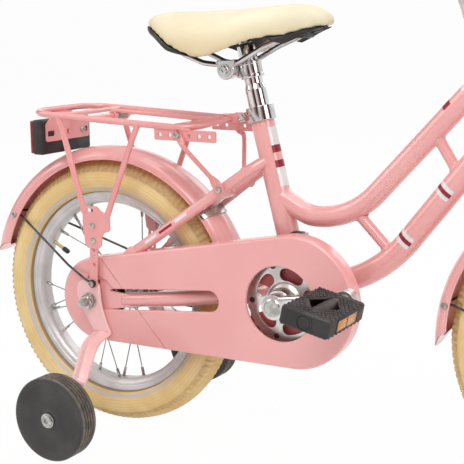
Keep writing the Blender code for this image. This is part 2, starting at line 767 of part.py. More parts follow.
# Coaster brake arm on the left, clipped under the chainstay
arm_y = DROPOUT_INNER - 0.0045
outline = [(-0.0125, -0.0035), (-0.0125, 0.0035), (-0.0080, 0.0103), (0.0, 0.0130), (0.0080, 0.0103),
           (0.0330, -0.0105), (0.1180, -0.0120), (0.1240, -0.0150), (0.1240, -0.0215), (0.1180, -0.0245),
           (0.0300, -0.0230), (-0.0070, -0.0108)]
arm = cut(plate(outline, arm_y - 0.0025, arm_y),
          [rod((0.0, 0.0, 0.0), (0.0, 0.09, 0.0), bored(REAR_AXLE_RADIUS, 10), 10)])
finish(arm, "coaster_arm", "dark_steel")

# Stabiliser brackets: a strip that drops past the axle, folds out and down to the wheel's bolt
wheel_z = -TYRE_RADIUS + STABILISER_LIFT + STABILISER_RADIUS
foot_y = STABILISER_INNER_Y - 0.0045
strip = [(-0.0025, 0.0350, BRACKET_TOP, 0.0), (-0.0015, 0.0370, 0.0, 0.0), (0.0080, 0.0300, -0.022, 0.0),
         (0.0180, 0.0260, -0.040, 0.0), (0.0210, 0.0250, -0.049, 0.35), (0.0440, 0.0230, -0.073, 0.93),
         (0.0440, 0.0220, -0.080, 1.0), (STABILISER_X, 0.0220, wheel_z - 0.011, 1.0)]
middle = BRACKET_INNER + BRACKET_WALL / 2
spots = [Vector((x, -(middle + (foot_y - middle) * out), z)) for x, wide, z, out in strip]
rings = []
for i, (spot, (x, wide, z, out)) in enumerate(zip(spots, strip)):
    before = spots[max(i - 1, 0)]
    after = spots[min(i + 1, len(spots) - 1)]
    run = Vector((0.0, after.y - before.y, after.z - before.z)).normalized()
    face = Vector((0.0, -run.z, run.y)) * BRACKET_WALL / 2
    side = Vector((wide / 2, 0.0, 0.0))
    rings.append([spot - side - face, spot + side - face, spot + side + face, spot - side + face])
bracket = loft(rings)
bracket = cut(bracket, [rod((0.0, -0.09, 0.0), (0.0, -0.045, 0.0), REAR_AXLE_RADIUS + RUN, 16)])
bolt_end = STABILISER_INNER_Y + STABILISER_WIDTH + 0.0008
bolt = rod((STABILISER_X, -foot_y, wheel_z), (STABILISER_X, -bolt_end - 0.001, wheel_z), STABILISER_BOLT_RADIUS, 12)
head = rod((STABILISER_X, -bolt_end, wheel_z), (STABILISER_X, -bolt_end - 0.003, wheel_z), 0.008, 12)
bracket = union([bracket, union([bolt, head])])
bracket_left = mirror(bracket)
finish(bracket, "stabiliser_bracket_right", "pink_paint")
finish(bracket_left, "stabiliser_bracket_left", "pink_paint")

# Stabiliser wheels, turned with four grooves
half = STABILISER_WIDTH / 2
profile = [(STABILISER_BOLT_RADIUS + RUN, half), (STABILISER_RADIUS - 0.004, half)]
groove = (STABILISER_WIDTH - 0.004) / 4
for i in range(4):
    top = half - 0.002 - groove * i
    profile.append((STABILISER_RADIUS, top - groove * 0.2))
    if i < 3:
        profile.append((STABILISER_RADIUS - 0.0022, top - groove * 0.85))
profile += [(STABILISER_RADIUS, -half + 0.003), (STABILISER_RADIUS - 0.004, -half),
            (STABILISER_BOLT_RADIUS + RUN, -half)]
for way, name in ((-1, "stabiliser_wheel_right"), (1, "stabiliser_wheel_left")):
    centre = (STABILISER_X, way * (STABILISER_INNER_Y + half), wheel_z)
    wheel = turned(profile, centre, way * Y, 18, start=(0.0, 0.0, -1.0))
    holder = axis_empty("axis_" + name, centre, Y)
    finish(wheel, name, "black_rubber", centre, holder)

# Mudguards
guard = gutter(spread(REAR_GUARD_FROM, REAR_GUARD_TO, 18), rear_crown, rear_edge, SWINGS)
lean = math.atan2(bridge.z - rear_crown[1], bridge.x - rear_crown[0])
out = Vector((math.cos(lean), 0.0, math.sin(lean)))
across = Vector((-math.sin(lean), 0.0, math.cos(lean)))
centre = Vector((rear_crown[0], 0.0, rear_crown[1]))
low = REAR_CROWN_RADIUS - 0.0006
high = bridge_reach - BRIDGE_RADIUS - GAP - 0.0006
tab = block(centre + (low + high) / 2 * out, out, across, (high - low) / 2, 0.003, -0.009, 0.009)
finish(union([guard, tab]), "rear_mudguard", "pink_paint")

guard = gutter(spread(FRONT_GUARD_FROM, FRONT_GUARD_TO, 15), front_crown, front_edge, SWINGS)
crown_low = TYRE_RADIUS + ARM_PIVOT + FRONT_GUARD_CROWN
fork_crown = crown_low + 0.018
tab_fore = CUP_RADIUS - 0.001 + GAP + 0.001
tab_back = FORK_OFFSET + tab_fore - 0.0017
tab_t = math.sqrt(front_crown[2] ** 2 - tab_back ** 2) - 0.0047 - 0.0007
tab = block(steer((tab_t + fork_crown) / 2, -tab_fore), STEER_UP, STEER_FORE, (fork_crown - tab_t) / 2, 0.001,
            -0.008, 0.008)
front_guard = finish(union([guard, tab]), "front_mudguard", "pink_paint", steer(HEAD_FOOT, 0.0), pivot_steer)


def guard_stay(eye, ways, crown, edge, angle):
    """One wire from the right eye, up and over inside the guard, to the left eye.

    ways lists (share, y) of the points each leg passes between the eye and the guard's edge.
    """
    inset = GUARD_WALL + 4 * GAP + STAY_WIRE_RADIUS
    arch = [guard_point(angle, a, inset, crown, edge) for a in SWINGS]
    out = Vector((math.cos(angle), 0.0, math.sin(angle)))
    foot = arch[-1] - 0.004 * out
    leg = [Vector((eye[0], eye[1], eye[2]))]
    for share, y in ways:
        place = leg[0].lerp(foot, share)
        leg.append(Vector((place.x, y, place.z)))
    leg.append(foot)
    right = [Vector((p.x, -p.y, p.z)) for p in leg]
    return tube(right + arch + leg[::-1], STAY_WIRE_RADIUS, 4)


leg_plate_y = BRACKET_INNER + BRACKET_WALL + GAP + STRAP_WALL + GAP
eye_y = leg_plate_y + EYE_WALL / 2
wire = guard_stay((EYE_X, eye_y, EYE_Z), [(0.07, eye_y), (0.28, 0.0605)], rear_crown, rear_edge,
                  math.radians(149.0))
eyes = [rod((EYE_X, way * leg_plate_y, EYE_Z), (EYE_X, way * (leg_plate_y + EYE_WALL), EYE_Z), EYE_RADIUS, 10)
        for way in (-1, 1)]
finish(union([wire, *eyes]), "rear_mudguard_stay", "dark_steel")

# Rack deck: the tube loop, cross bars, side plates and the reflector's plate
rack_z = REAR_CROWN_RADIUS + RACK_ABOVE_GUARD


def rail(x):
    return rack_z - RACK_FALL * x


collar_mid = SEAT_TUBE_LENGTH - COLLAR_HEIGHT / 2
ear = seat(collar_mid, 0.0220)
tab_y = 0.0058
end_y = 0.0090
loop = [(ear.x - 0.0165, -end_y, ear.z - 0.0012), (RACK_BEND_X, -RACK_HALF, rail(RACK_BEND_X)),
        (RACK_REAR_X, -RACK_HALF, rail(RACK_REAR_X)), (RACK_REAR_X, RACK_HALF, rail(RACK_REAR_X)),
        (RACK_BEND_X, RACK_HALF, rail(RACK_BEND_X)), (ear.x - 0.0165, end_y, ear.z - 0.0012)]
loop_path = bent(loop, [0.018, RACK_CORNER, RACK_CORNER, 0.018], math.radians(22.5))
parts = [tube(loop_path, RACK_TUBE_RADIUS, 6)]
for x in (-0.035, CLIP_PIVOT_X, 0.130):
    sides = 8 if x == CLIP_PIVOT_X else 6
    parts.append(rod((x, -RACK_HALF, rail(x)), (x, RACK_HALF, rail(x)), RACK_BAR_RADIUS, sides))
plate_top = rail(RACK_BEND_X) - 0.0015
plate_z = plate_top - SIDE_PLATE_HEIGHT / 2
outline = [(SIDE_PLATE_FROM, plate_top - SIDE_PLATE_HEIGHT), (SIDE_PLATE_TO, plate_top - SIDE_PLATE_HEIGHT),
           (SIDE_PLATE_TO, plate_top), (SIDE_PLATE_FROM, plate_top)]
for way in (-1, 1):
    middle = way * RACK_HALF
    parts.append(plate(outline, middle - SIDE_PLATE_WALL / 2, middle + SIDE_PLATE_WALL / 2))
    parts.append(plate(hull([(ear.x, ear.z, 0.0052), (ear.x - 0.0165, ear.z - 0.0012, 0.0055)], count=10),
                       way * tab_y, way * (tab_y + 0.0030)))
rear_z = rail(RACK_REAR_X)
mount_x = RACK_REAR_X + RACK_TUBE_RADIUS + 0.0053
mount = box((mount_x, -0.032, rear_z - 0.042), (mount_x + 0.002, 0.032, rear_z - 0.008))
hook = box((RACK_REAR_X + 0.001, -0.012, rear_z - 0.010), (mount_x + 0.002, 0.012, rear_z - 0.002))
parts += [mount, hook]
deck = union(parts)
deck = cut(deck, [rod((ear.x, -0.02, ear.z), (ear.x, 0.02, ear.z), 0.003 + RUN, 8)])
finish(deck, "rack_deck", "pink_paint")

# Rack legs with their lower plates
leg_mid = leg_plate_y + LEG_PLATE_WALL / 2
top_gap = RACK_TUBE_RADIUS + 2 * GAP
leg_plate = [(-0.003, 0.124), (0.019, 0.124), (0.024, 0.119), (0.038, 0.113), (0.038, 0.094), (0.027, 0.090),
             (0.024, 0.074), (0.020, 0.070), (0.004, 0.070), (0.000, 0.074), (-0.003, 0.098)]
slot = [(0.004, 0.1165), (0.015, 0.1165), (0.015, 0.1205), (0.004, 0.1205)]
rear_leg = tube([(-0.037, -RACK_HALF, rail(-0.037)), (0.000, -leg_mid, 0.117)], RACK_TUBE_RADIUS - 0.0004, 8)
front_leg = tube(bent([(0.0835, -RACK_HALF, rail(0.0835)), (0.076, -RACK_HALF, rail(0.0835) - 0.017),
                       (0.033, -leg_mid, 0.112)], [0.015]), RACK_TUBE_RADIUS - 0.0004, 8)
foot = plate(leg_plate, -leg_plate_y, -leg_plate_y - LEG_PLATE_WALL, [slot])
leg = union([foot, rear_leg, front_leg])
leg = cut(leg, [rod((-0.07, -RACK_HALF, rail(-0.07)), (0.12, -RACK_HALF, rail(0.12)), top_gap, 12)])
above = box((-0.07, -RACK_HALF - 0.01, rail(0.0) + 0.001), (0.12, -RACK_HALF + 0.01, rail(0.0) + 0.02))
leg = cut(leg, [above])
leg_left = mirror(leg)
finish(leg, "rack_leg_right", "pink_paint")
finish(leg_left, "rack_leg_left", "pink_paint")

# Lower straps between leg plate and axle bracket
strap_y = BRACKET_INNER + BRACKET_WALL + GAP
for way, name in ((-1, "rack_strap_right"), (1, "rack_strap_left")):
    strap = plate(hull([(0.013, 0.103, 0.006), (EYE_X, EYE_Z, 0.0062)], count=16),
                  way * strap_y, way * (strap_y + STRAP_WALL))
    finish(strap, name, "pink_paint")

# Front struts from the side plates to the seatstays
strut_top_y = RACK_HALF + SIDE_PLATE_WALL / 2 + GAP
strut_share = (stay_top.x - 0.180) / (stay_top.x - stay_foot.x)
strut_foot = stay_at(strut_share)
strut_foot_y = -stay_at(strut_share + 0.06).y + SEATSTAY_RADIUS + GAP
upper = plate(hull([(0.142, plate_z - 0.0015, 0.0045), (0.150, plate_z - 0.010, 0.004)], count=8),
              -strut_top_y, -strut_top_y - 0.0024)
lower = plate(hull([(strut_foot.x, strut_foot.z, 0.0062), (strut_foot.x - 0.008, strut_foot.z + 0.010, 0.004)],
                   count=8), -strut_foot_y, -strut_foot_y - 0.0024)
shank = tube([(0.1475, -strut_top_y - 0.0028, plate_z - 0.0075), (0.1540, -strut_top_y - 0.0028, plate_z - 0.0145),
              (strut_foot.x - 0.0065, -strut_foot_y - 0.0016, strut_foot.z + 0.0085)], 0.0026, 6)
strut = union([upper, lower, shank])
strut_left = mirror(strut)
finish(strut, "rack_strut_right", "pink_paint")
finish(strut_left, "rack_strut_left", "pink_paint")

# Rear reflector
house_x = mount_x - GAP
house = box((house_x - REFLECTOR_DEPTH, -REFLECTOR_HALF, rear_z - 0.0565),
            (house_x, REFLECTOR_HALF, rear_z - 0.0565 + REFLECTOR_HEIGHT))
house.name = "house"
edge_round = house.modifiers.new("round", "BEVEL")
edge_round.width = 0.002
edge_round.segments = 1
finish(bake(house), "rear_reflector_housing", "black_plastic")
lens = box((house_x - REFLECTOR_DEPTH - GAP - LENS_DEPTH, -REFLECTOR_HALF + 0.002, rear_z - 0.0545),
           (house_x - REFLECTOR_DEPTH - GAP, REFLECTOR_HALF - 0.002, rear_z - 0.0585 + REFLECTOR_HEIGHT))
edge_round = lens.modifiers.new("round", "BEVEL")
edge_round.width = 0.001
edge_round.segments = 1
finish(bake(lens), "rear_reflector_lens", "red_lens")

# Rack clip: one wire with an eye at each end on the middle cross bar, and its curled spring
pivot = Vector((CLIP_PIVOT_X, 0.0, rail(CLIP_PIVOT_X)))
pivot_clip = axis_empty("axis_rack_clip", pivot, Y)
eye_outer = RACK_BAR_RADIUS + RUN + 0.0030
wire_z = pivot.z + eye_outer - CLIP_WIRE_RADIUS + 0.0027
rest_z = rail(0.130) + RACK_BAR_RADIUS + GAP + CLIP_WIRE_RADIUS
side = [(CLIP_PIVOT_X, 0.0, wire_z), (0.130, 0.0, rest_z), (0.150, 0.0, rest_z), (CLIP_END_X, 0.0, rest_z + 0.004)]
right = [Vector((x, -CLIP_HALF, z)) for x, y, z in side]
left = [Vector((x, CLIP_HALF, z)) for x, y, z in side[::-1]]
path = bent(right + left, [0.05, 0.03, 0.010, 0.010, 0.03, 0.05], math.radians(30.0))
wire = tube(path, CLIP_WIRE_RADIUS, 6)
eyes = []
for way in (-1, 1):
    bore = bored(RACK_BAR_RADIUS, 8)
    eye = [(bore, 0.0025), (eye_outer, 0.0025), (eye_outer, -0.0025), (bore, -0.0025)]
    eyes.append(turned(eye, (pivot.x, way * CLIP_HALF, pivot.z), Y, 8))
finish(union([wire, *eyes]), "clip_wire", "pink_paint", pivot, pivot_clip)

curl = []
steps = CURLS * CURL_POINTS
width = CURLS * CURL_PITCH
for i in range(steps + 1):
    angle = math.tau * i / CURL_POINTS
    curl.append(Vector((pivot.x + CURL_RADIUS * math.cos(angle), -width / 2 + CURL_PITCH * i / CURL_POINTS,
                        pivot.z - CURL_RADIUS * math.sin(angle))))
lead = curl[0] + Vector((0.0, 0.0, 0.006))
tail = curl[-1] - Vector((0.0, 0.0, 0.006))
coil = [lead, *curl, tail]
least = min((coil[i] - coil[j]).length for i in range(len(coil)) for j in range(i + 7, len(coil)))
print("clip spring, least gap to itself in mm:", round(1000 * (least - 2 * CURL_WIRE_RADIUS), 2))
finish(tube(coil, CURL_WIRE_RADIUS, 6), "clip_spring", "steel", pivot, pivot_clip)

# Chaincase: a tray round two discs, parted by a slanting joint into cover and rear cap
discs = [(CASE_REAR_X, CASE_REAR_Z, CASE_REAR_RADIUS), (CASE_FRONT_X, CASE_FRONT_Z, CASE_FRONT_RADIUS)]
back_y = CASE_FACE_Y - CASE_DEPTH
layers = [(-CASE_EDGE, CASE_FACE_Y), (0.0, CASE_FACE_Y - CASE_EDGE), (0.0, back_y),
          (-CASE_WALL, back_y), (-CASE_WALL, CASE_FACE_Y - CASE_EDGE - 0.0004),
          (-CASE_EDGE - 0.0006, CASE_FACE_Y - CASE_WALL)]


def tray():
    return loft([[Vector((x, -y, z)) for x, z in band(discs, grow)] for grow, y in layers])


joint = Vector((CASE_JOINT_X, 0.0, 0.001))
down = Vector((math.sin(CASE_JOINT_TILT), 0.0, -math.cos(CASE_JOINT_TILT)))
fore = Vector((math.cos(CASE_JOINT_TILT), 0.0, math.sin(CASE_JOINT_TILT)))
behind = block(joint - (0.15 - GAP / 2) * fore, down, fore, 0.2, 0.15, -0.08, -0.02)
beyond = block(joint + (0.25 - GAP / 2) * fore, down, fore, 0.3, 0.25, -0.08, -0.02)
face = (-CASE_FACE_Y - 0.01, -CASE_FACE_Y + 0.004)
slot_end = BB_X - CASE_SLOT_FRONT - CASE_SLOT_HEIGHT / 2
slot_line = hull([(0.0, CASE_SLOT_Z, CASE_SLOT_HEIGHT / 2), (slot_end, CASE_SLOT_Z, CASE_SLOT_HEIGHT / 2)],
                 count=16)
notch = block((SEATSTAY_FOOT_X, 0.0, SEATSTAY_FOOT_Z - 0.001), Vector((1.0, 0.0, 0.0)), Vector((0.0, 0.0, 1.0)),
              0.028, 0.018, -CASE_FACE_Y + CASE_WALL, -0.02)
window = plate(hull([(0.0, 0.0, 0.0175), (0.014, 0.012, 0.0175), (0.004, 0.024, 0.010)], count=16), *face)
cover = cut(tray(), [behind, plate(circle(BB_X, BB_Z, CASE_HOLE_RADIUS, 28), *face),
                     plate(slot_line, *face), notch])
finish(cover, "chaincase_outer", "pink_paint")
notch = block((SEATSTAY_FOOT_X, 0.0, SEATSTAY_FOOT_Z - 0.001), Vector((1.0, 0.0, 0.0)), Vector((0.0, 0.0, 1.0)),
              0.028, 0.018, -CASE_FACE_Y + CASE_WALL, -0.02)
cap = cut(tray(), [beyond, plate(slot_line, *face), notch, window])
finish(cap, "chaincase_rear_cap", "pink_paint")

# Back plate behind the chainring, clamped at the bottom bracket
inner_y = BB_WIDTH / 2 + GAP
notch = plate(hull([(0.190, 0.021, 0.0145), (0.240, 0.025, 0.0145)], count=14), -0.05, -0.02)
back = plate(circle(CASE_FRONT_X, CASE_FRONT_Z, CASE_FRONT_RADIUS - 0.002, 28), -inner_y,
             -inner_y - 0.0013, [circle(BB_X, BB_Z, 0.015, 18)])
finish(cut(back, [notch]), "chaincase_inner", "pink_paint")

# Chain, a closed band on its two pitch circles
ring_radius = CHAIN_PITCH / 2 / math.sin(math.pi / CHAINRING_TEETH)
cog_radius = CHAIN_PITCH / 2 / math.sin(math.pi / SPROCKET_TEETH)
pitch = [(0.0, 0.0, cog_radius), (BB_X, BB_Z, ring_radius)]
CHAIN_POINTS = 28
outer = band(pitch, CHAIN_HEIGHT / 2, CHAIN_POINTS)
inner = band(pitch, -CHAIN_HEIGHT / 2, CHAIN_POINTS)
bm = bmesh.new()
rows = []
for ring, y in ((outer, -CHAIN_Y - CHAIN_WIDTH / 2), (outer, -CHAIN_Y + CHAIN_WIDTH / 2),
                (inner, -CHAIN_Y + CHAIN_WIDTH / 2), (inner, -CHAIN_Y - CHAIN_WIDTH / 2)):
    rows.append([bm.verts.new(at(x, y, z)) for x, z in ring])
for row, following in zip(rows, rows[1:] + rows[:1]):
    for i in range(CHAIN_POINTS):
        j = (i + 1) % CHAIN_POINTS
        bm.faces.new((row[i], row[j], following[j], following[i]))
finish(from_bmesh("chain", bm), "chain", "dark_steel")

# Crank: axle, chainring with oval cut-outs, arms with pedal axles
arm_outer = CRANK_INNER_Y + CRANK_WALL
axle = rod(BB - (arm_outer - 0.004) * Y, BB + (arm_outer - 0.004) * Y, CRANK_AXLE_RADIUS, 16)
finish(axle, "crank_axle", "dark_steel", BB, pivot_crank)
ring_outer = ring_radius - CHAIN_HEIGHT / 2 - CHAIN_SEAT
half = PLATE_WALL / 2
boss_top = CRANK_INNER_Y - GAP - CHAIN_Y
bore = bored(CRANK_AXLE_RADIUS, 20)
profile = [(bore, boss_top), (CHAINRING_BOSS, boss_top), (CHAINRING_BOSS + 0.002, half),
           (ring_outer, half), (ring_outer, -half), (bore, -half)]
chainring = turned(profile, BB - CHAIN_Y * Y, -Y, 20)
ovals = []
for i in range(5):
    angle = CRANK_ANGLE + math.radians(36.0) + math.tau * i / 5
    ends = []
    for turn in (-0.26, 0.26):
        ends.append((BB_X + 0.0325 * math.cos(angle + turn), BB_Z + 0.0325 * math.sin(angle + turn), 0.0065))
    ovals.append(plate(hull(ends, count=6), -CHAIN_Y - 0.01, -CHAIN_Y + 0.01))
finish(cut(chainring, ovals), "chainring", "crank_alloy", BB, pivot_crank)


def crank_arm(way, angle):
    """Arm from the bottom bracket to the pedal, way being the side of the bike."""
    along = Vector((math.cos(angle), 0.0, math.sin(angle)))
    over = Vector((-math.sin(angle), 0.0, math.cos(angle)))
    tip = BB + CRANK_LENGTH * along
    rings = []
    for share, wide, thick in ((0.02, 0.0115, 0.0062), (0.35, 0.0105, 0.0060), (0.75, 0.0095, 0.0058),
                               (0.98, 0.0095, 0.0058)):
        middle = BB + share * CRANK_LENGTH * along + way * (CRANK_INNER_Y + CRANK_WALL / 2
                                                            + CRANK_SPLAY * share) * Y
        ring = []
        for i, j in ((-1, -0.6), (-0.7, -1), (0.7, -1), (1, -0.6), (1, 0.6), (0.7, 1), (-0.7, 1), (-1, 0.6)):
            ring.append(middle + i * wide * over + j * thick * way * Y)
        rings.append(ring)
    beam = loft(rings)
    hub = rod(BB + way * CRANK_INNER_Y * Y, BB + way * arm_outer * Y, CRANK_BOSS_RADIUS, 16)
    eye_in = CRANK_INNER_Y + CRANK_SPLAY
    eye = rod(tip + way * eye_in * Y, tip + way * (eye_in + CRANK_WALL) * Y, CRANK_EYE_RADIUS, 12)
    spindle_end = eye_in + CRANK_WALL + PEDAL_FREE + PEDAL_WIDTH - 0.012
    spindle = rod(tip + way * (eye_in + CRANK_WALL / 2) * Y, tip + way * spindle_end * Y, PEDAL_AXLE_RADIUS, 12)
    arm = union([beam, hub, eye, spindle])
    bore = rod(BB + way * (CRANK_INNER_Y - 0.01) * Y, BB + way * (arm_outer - 0.004 + GAP) * Y,
               CRANK_AXLE_RADIUS + RUN, 16)
    return cut(arm, [bore]), tip, spindle_end


def pedal(way, tip, spindle_end, pitch_angle):
    """Block pedal with two treads, a barrel and an open window on each side of it."""
    near = CRANK_INNER_Y + CRANK_SPLAY + CRANK_WALL + PEDAL_FREE
    far = near + PEDAL_WIDTH
    length, height = PEDAL_LENGTH / 2, PEDAL_HEIGHT / 2
    fore = Vector((math.cos(pitch_angle), 0.0, math.sin(pitch_angle)))
    over = Vector((-math.sin(pitch_angle), 0.0, math.cos(pitch_angle)))
    lip = 0.003
    rings = []
    for y, inset in ((near, lip), (near + lip, 0.0), (far - lip, 0.0), (far, lip)):
        ring = []
        for i, j in ((-1, -0.75), (-0.92, -1), (0.92, -1), (1, -0.75), (1, 0.75), (0.92, 1), (-0.92, 1),
                     (-1, 0.75)):
            ring.append(tip + i * (length - inset) * fore + j * (height - inset) * over + way * y * Y)
        rings.append(ring)
    body = loft(rings)
    tools = [rod(tip + way * (near - 0.01) * Y, tip + way * (spindle_end + GAP) * Y,
                 bored(PEDAL_AXLE_RADIUS, 12), 12)]
    for side in (-1, 1):
        middle = tip + side * (PEDAL_AXLE_RADIUS + 0.0025 + 0.006) * fore
        tools.append(block(middle, fore, over, 0.006, 0.02, *sorted((way * (near + 0.014), way * (far - 0.014)))))
    return cut(body, tools)


for way, side, turn in ((-1, "right", 0.0), (1, "left", math.pi)):
    arm, tip, spindle_end = crank_arm(way, CRANK_ANGLE + turn)
    finish(arm, "crank_arm_" + side, "crank_alloy", BB, pivot_crank)
    pivot_pedal = axis_empty("axis_pedal_" + side, tip, Y, pivot_crank)
    tread = pedal(way, tip, spindle_end, -PEDAL_PITCH if way < 0 else 0.0)
    finish(tread, "pedal_" + side, "black_plastic", tip, pivot_pedal)


# Wheels: tyre, rim, hub with spokes
def tyre(centre):
    section = TYRE_WIDTH / 2
    core = TYRE_RADIUS - section
    seat_r = RIM_RADIUS + GAP
    widest = math.acos(max(-0.98, min(0.98, (seat_r - core) / section)))
    bead = RIM_WIDTH / 2 - RIM_WALL - GAP
    foot = RIM_RADIUS - 0.0065 + GAP
    profile = [(foot, bead), (seat_r, bead)]
    for i in range(5):
        angle = widest - 2 * widest * i / 4
        profile.append((core + section * math.cos(angle), section * math.sin(angle)))
    profile += [(seat_r, -bead), (foot, -bead)]
    return turned(profile, centre, Y, WHEEL_STEPS, start=(0.0, 0.0, -1.0))


def rim(centre):
    half = RIM_WIDTH / 2
    well = RIM_RADIUS - 0.0065
    lean = 0.004
    profile = [(well, half - RIM_WALL), (RIM_RADIUS, half - RIM_WALL), (RIM_RADIUS, half),
               (RIM_INNER, half - lean), (RIM_INNER, -half + lean), (RIM_RADIUS, -half),
               (RIM_RADIUS, -half + RIM_WALL), (well, -half + RIM_WALL)]
    profile = profile[::-1]
    return turned(profile, centre, Y, WHEEL_STEPS, start=(0.0, 0.0, -1.0))


def hub(centre, bore, half, shell, flange, extra):
    """Hub turned from one profile, with two flanges and ten spokes from each."""
    edge = FLANGE_Y + FLANGE_WALL / 2
    inside = FLANGE_Y - FLANGE_WALL / 2
    profile = [(bore, half), (extra, half), (extra, edge), (flange, edge), (flange, inside), (shell, inside),
               (shell, -inside), (flange, -inside), (flange, -edge), (extra, -edge), (extra, -half),
               (bore, -half)]
    body = turned(profile, centre, Y, 10)
    bm = bmesh.new()
    middle = world(Vector(centre))
    for way in (-1, 1):
        for i in range(SPOKES_PER_SIDE):
            angle = math.tau * (i + (0.25 if way > 0 else -0.25)) / SPOKES_PER_SIDE
            lead = SPOKE_CROSS if i % 2 else -SPOKE_CROSS
            y = way * (FLANGE_Y + (0.0013 if i % 2 else -0.0013))
            start = Vector((math.cos(angle) * (flange - 0.0035), y, math.sin(angle) * (flange - 0.0035)))
            reach = RIM_INNER * math.cos(math.pi / WHEEL_STEPS) - 0.0008
            tip = Vector((math.cos(angle + lead) * reach, way * 0.002, math.sin(angle + lead) * reach))
            turn = (tip - start).to_track_quat("Z", "Y").to_matrix().to_4x4()
            bmesh.ops.create_cone(bm, cap_ends=True, segments=3, radius1=SPOKE_RADIUS, radius2=SPOKE_RADIUS,
                                  depth=(tip - start).length,
                                  matrix=Matrix.Translation(middle + (start + tip) / 2) @ turn)
    return combine(body, from_bmesh("spokes", bm), "UNION")


finish(tyre((0.0, 0.0, 0.0)), "rear_tyre", "tan_rubber", (0.0, 0.0, 0.0), pivot_rear)
finish(rim((0.0, 0.0, 0.0)), "rear_rim", "rim_alloy", (0.0, 0.0, 0.0), pivot_rear)
hub_half = 0.0405
sprocket_in = CHAIN_Y - PLATE_WALL / 2
rear_hub = hub((0.0, 0.0, 0.0), bored(REAR_AXLE_RADIUS, 10), sprocket_in - GAP, REAR_SHELL_RADIUS,
               REAR_FLANGE_RADIUS, 0.0165)
finish(rear_hub, "rear_hub", "steel", (0.0, 0.0, 0.0), pivot_rear)
cog_outer = cog_radius - CHAIN_HEIGHT / 2 - CHAIN_SEAT
bore = bored(REAR_AXLE_RADIUS, 16)
profile = [(bore, PLATE_WALL / 2 + 0.001), (0.014, PLATE_WALL / 2 + 0.001), (0.014, PLATE_WALL / 2),
           (cog_outer, PLATE_WALL / 2), (cog_outer, -PLATE_WALL / 2), (bore, -PLATE_WALL / 2)]
finish(turned(profile, (0.0, -CHAIN_Y, 0.0), -Y, 16), "sprocket", "dark_steel", (0.0, 0.0, 0.0), pivot_rear)
finish(tyre(FRONT_HUB), "front_tyre", "tan_rubber", FRONT_HUB, pivot_front)
finish(rim(FRONT_HUB), "front_rim", "rim_alloy", FRONT_HUB, pivot_front)
front_hub = hub(FRONT_HUB, bored(FRONT_AXLE_RADIUS, 10), FORK_DROPOUT_INNER - 0.0016, FRONT_SHELL_RADIUS,
                FRONT_FLANGE_RADIUS, 0.0095)
finish(front_hub, "front_hub", "steel", FRONT_HUB, pivot_front)

# Seat clamp collar with ears and the bolt that also holds the rack's ends
collar_low = SEAT_TUBE_LENGTH - COLLAR_HEIGHT
bore = bored(SEAT_TUBE_RADIUS, 16)
profile = [(bore, COLLAR_HEIGHT), (COLLAR_RADIUS, COLLAR_HEIGHT), (COLLAR_RADIUS, 0.0), (bore, 0.0)]
collar = turned(profile, seat(collar_low), SEAT_UP, 16)
lug = block(seat(collar_mid, COLLAR_RADIUS + 0.0035), SEAT_UP, SEAT_BACK, 0.0058, 0.0052, -tab_y + GAP,
            tab_y - GAP)
bolt = rod((ear.x, -tab_y - 0.0030 - GAP - 0.003, ear.z), (ear.x, tab_y + 0.0030 + GAP + 0.003, ear.z), 0.003, 8)
heads = [rod((ear.x, way * (tab_y + 0.0030 + GAP), ear.z), (ear.x, way * (tab_y + 0.0030 + GAP + 0.003), ear.z),
             0.0048, 6) for way in (-1, 1)]
finish(union([collar, lug, bolt, *heads]), "seat_clamp", "steel")

# Seat post, turned
post_low = SEAT_TUBE_LENGTH - POST_INSERTED
neck = SEAT_TUBE_LENGTH + POST_NECK
post_top = SEAT_TUBE_LENGTH + POST_TOP
profile = [(0.0, post_top), (POST_NECK_RADIUS * 0.55, post_top - 0.0008), (POST_NECK_RADIUS, post_top - 0.004),
           (POST_NECK_RADIUS, neck + 0.005), (POST_RADIUS, neck - 0.003), (POST_RADIUS, post_low),
           (0.0, post_low)]
post = turned(profile, BB, SEAT_UP, 16, closed=False)
finish(post, "seat_post", "chrome", seat(SEAT_TUBE_LENGTH), pivot_post)

# Saddle clamp on the post's neck
clamp_mid = SEAT_TUBE_LENGTH + CLAMP_RISE
neck_place = seat(clamp_mid)
pivot = Vector((neck_place.x + CLAMP_PIVOT_X, 0.0, neck_place.z))
pivot_saddle = axis_empty("axis_saddle", pivot, Y, pivot_post)
clamp_outer = POST_NECK_RADIUS + GAP + CLAMP_WALL
body = rod(seat(clamp_mid - CLAMP_HEIGHT / 2), seat(clamp_mid + CLAMP_HEIGHT / 2), clamp_outer, 16)
knuckle = rod(pivot - CLAMP_HALF * Y, pivot + CLAMP_HALF * Y, 0.0095, 14)
neck_block = block((neck_place + pivot) / 2, Vector((1.0, 0.0, 0.0)), Vector((0.0, 0.0, 1.0)),
                   -CLAMP_PIVOT_X / 2, 0.0068, -CLAMP_HALF + 0.0004, CLAMP_HALF - 0.0004)
clamp = cut(union([body, neck_block, knuckle]), [
    rod(seat(clamp_mid - 0.03), seat(clamp_mid + 0.03), bored(POST_NECK_RADIUS, 16), 16),
    rod(pivot - 0.03 * Y, pivot + 0.03 * Y, bored(0.004, 8), 8)])
finish(clamp, "saddle_clamp", "steel", seat(SEAT_TUBE_LENGTH), pivot_post)

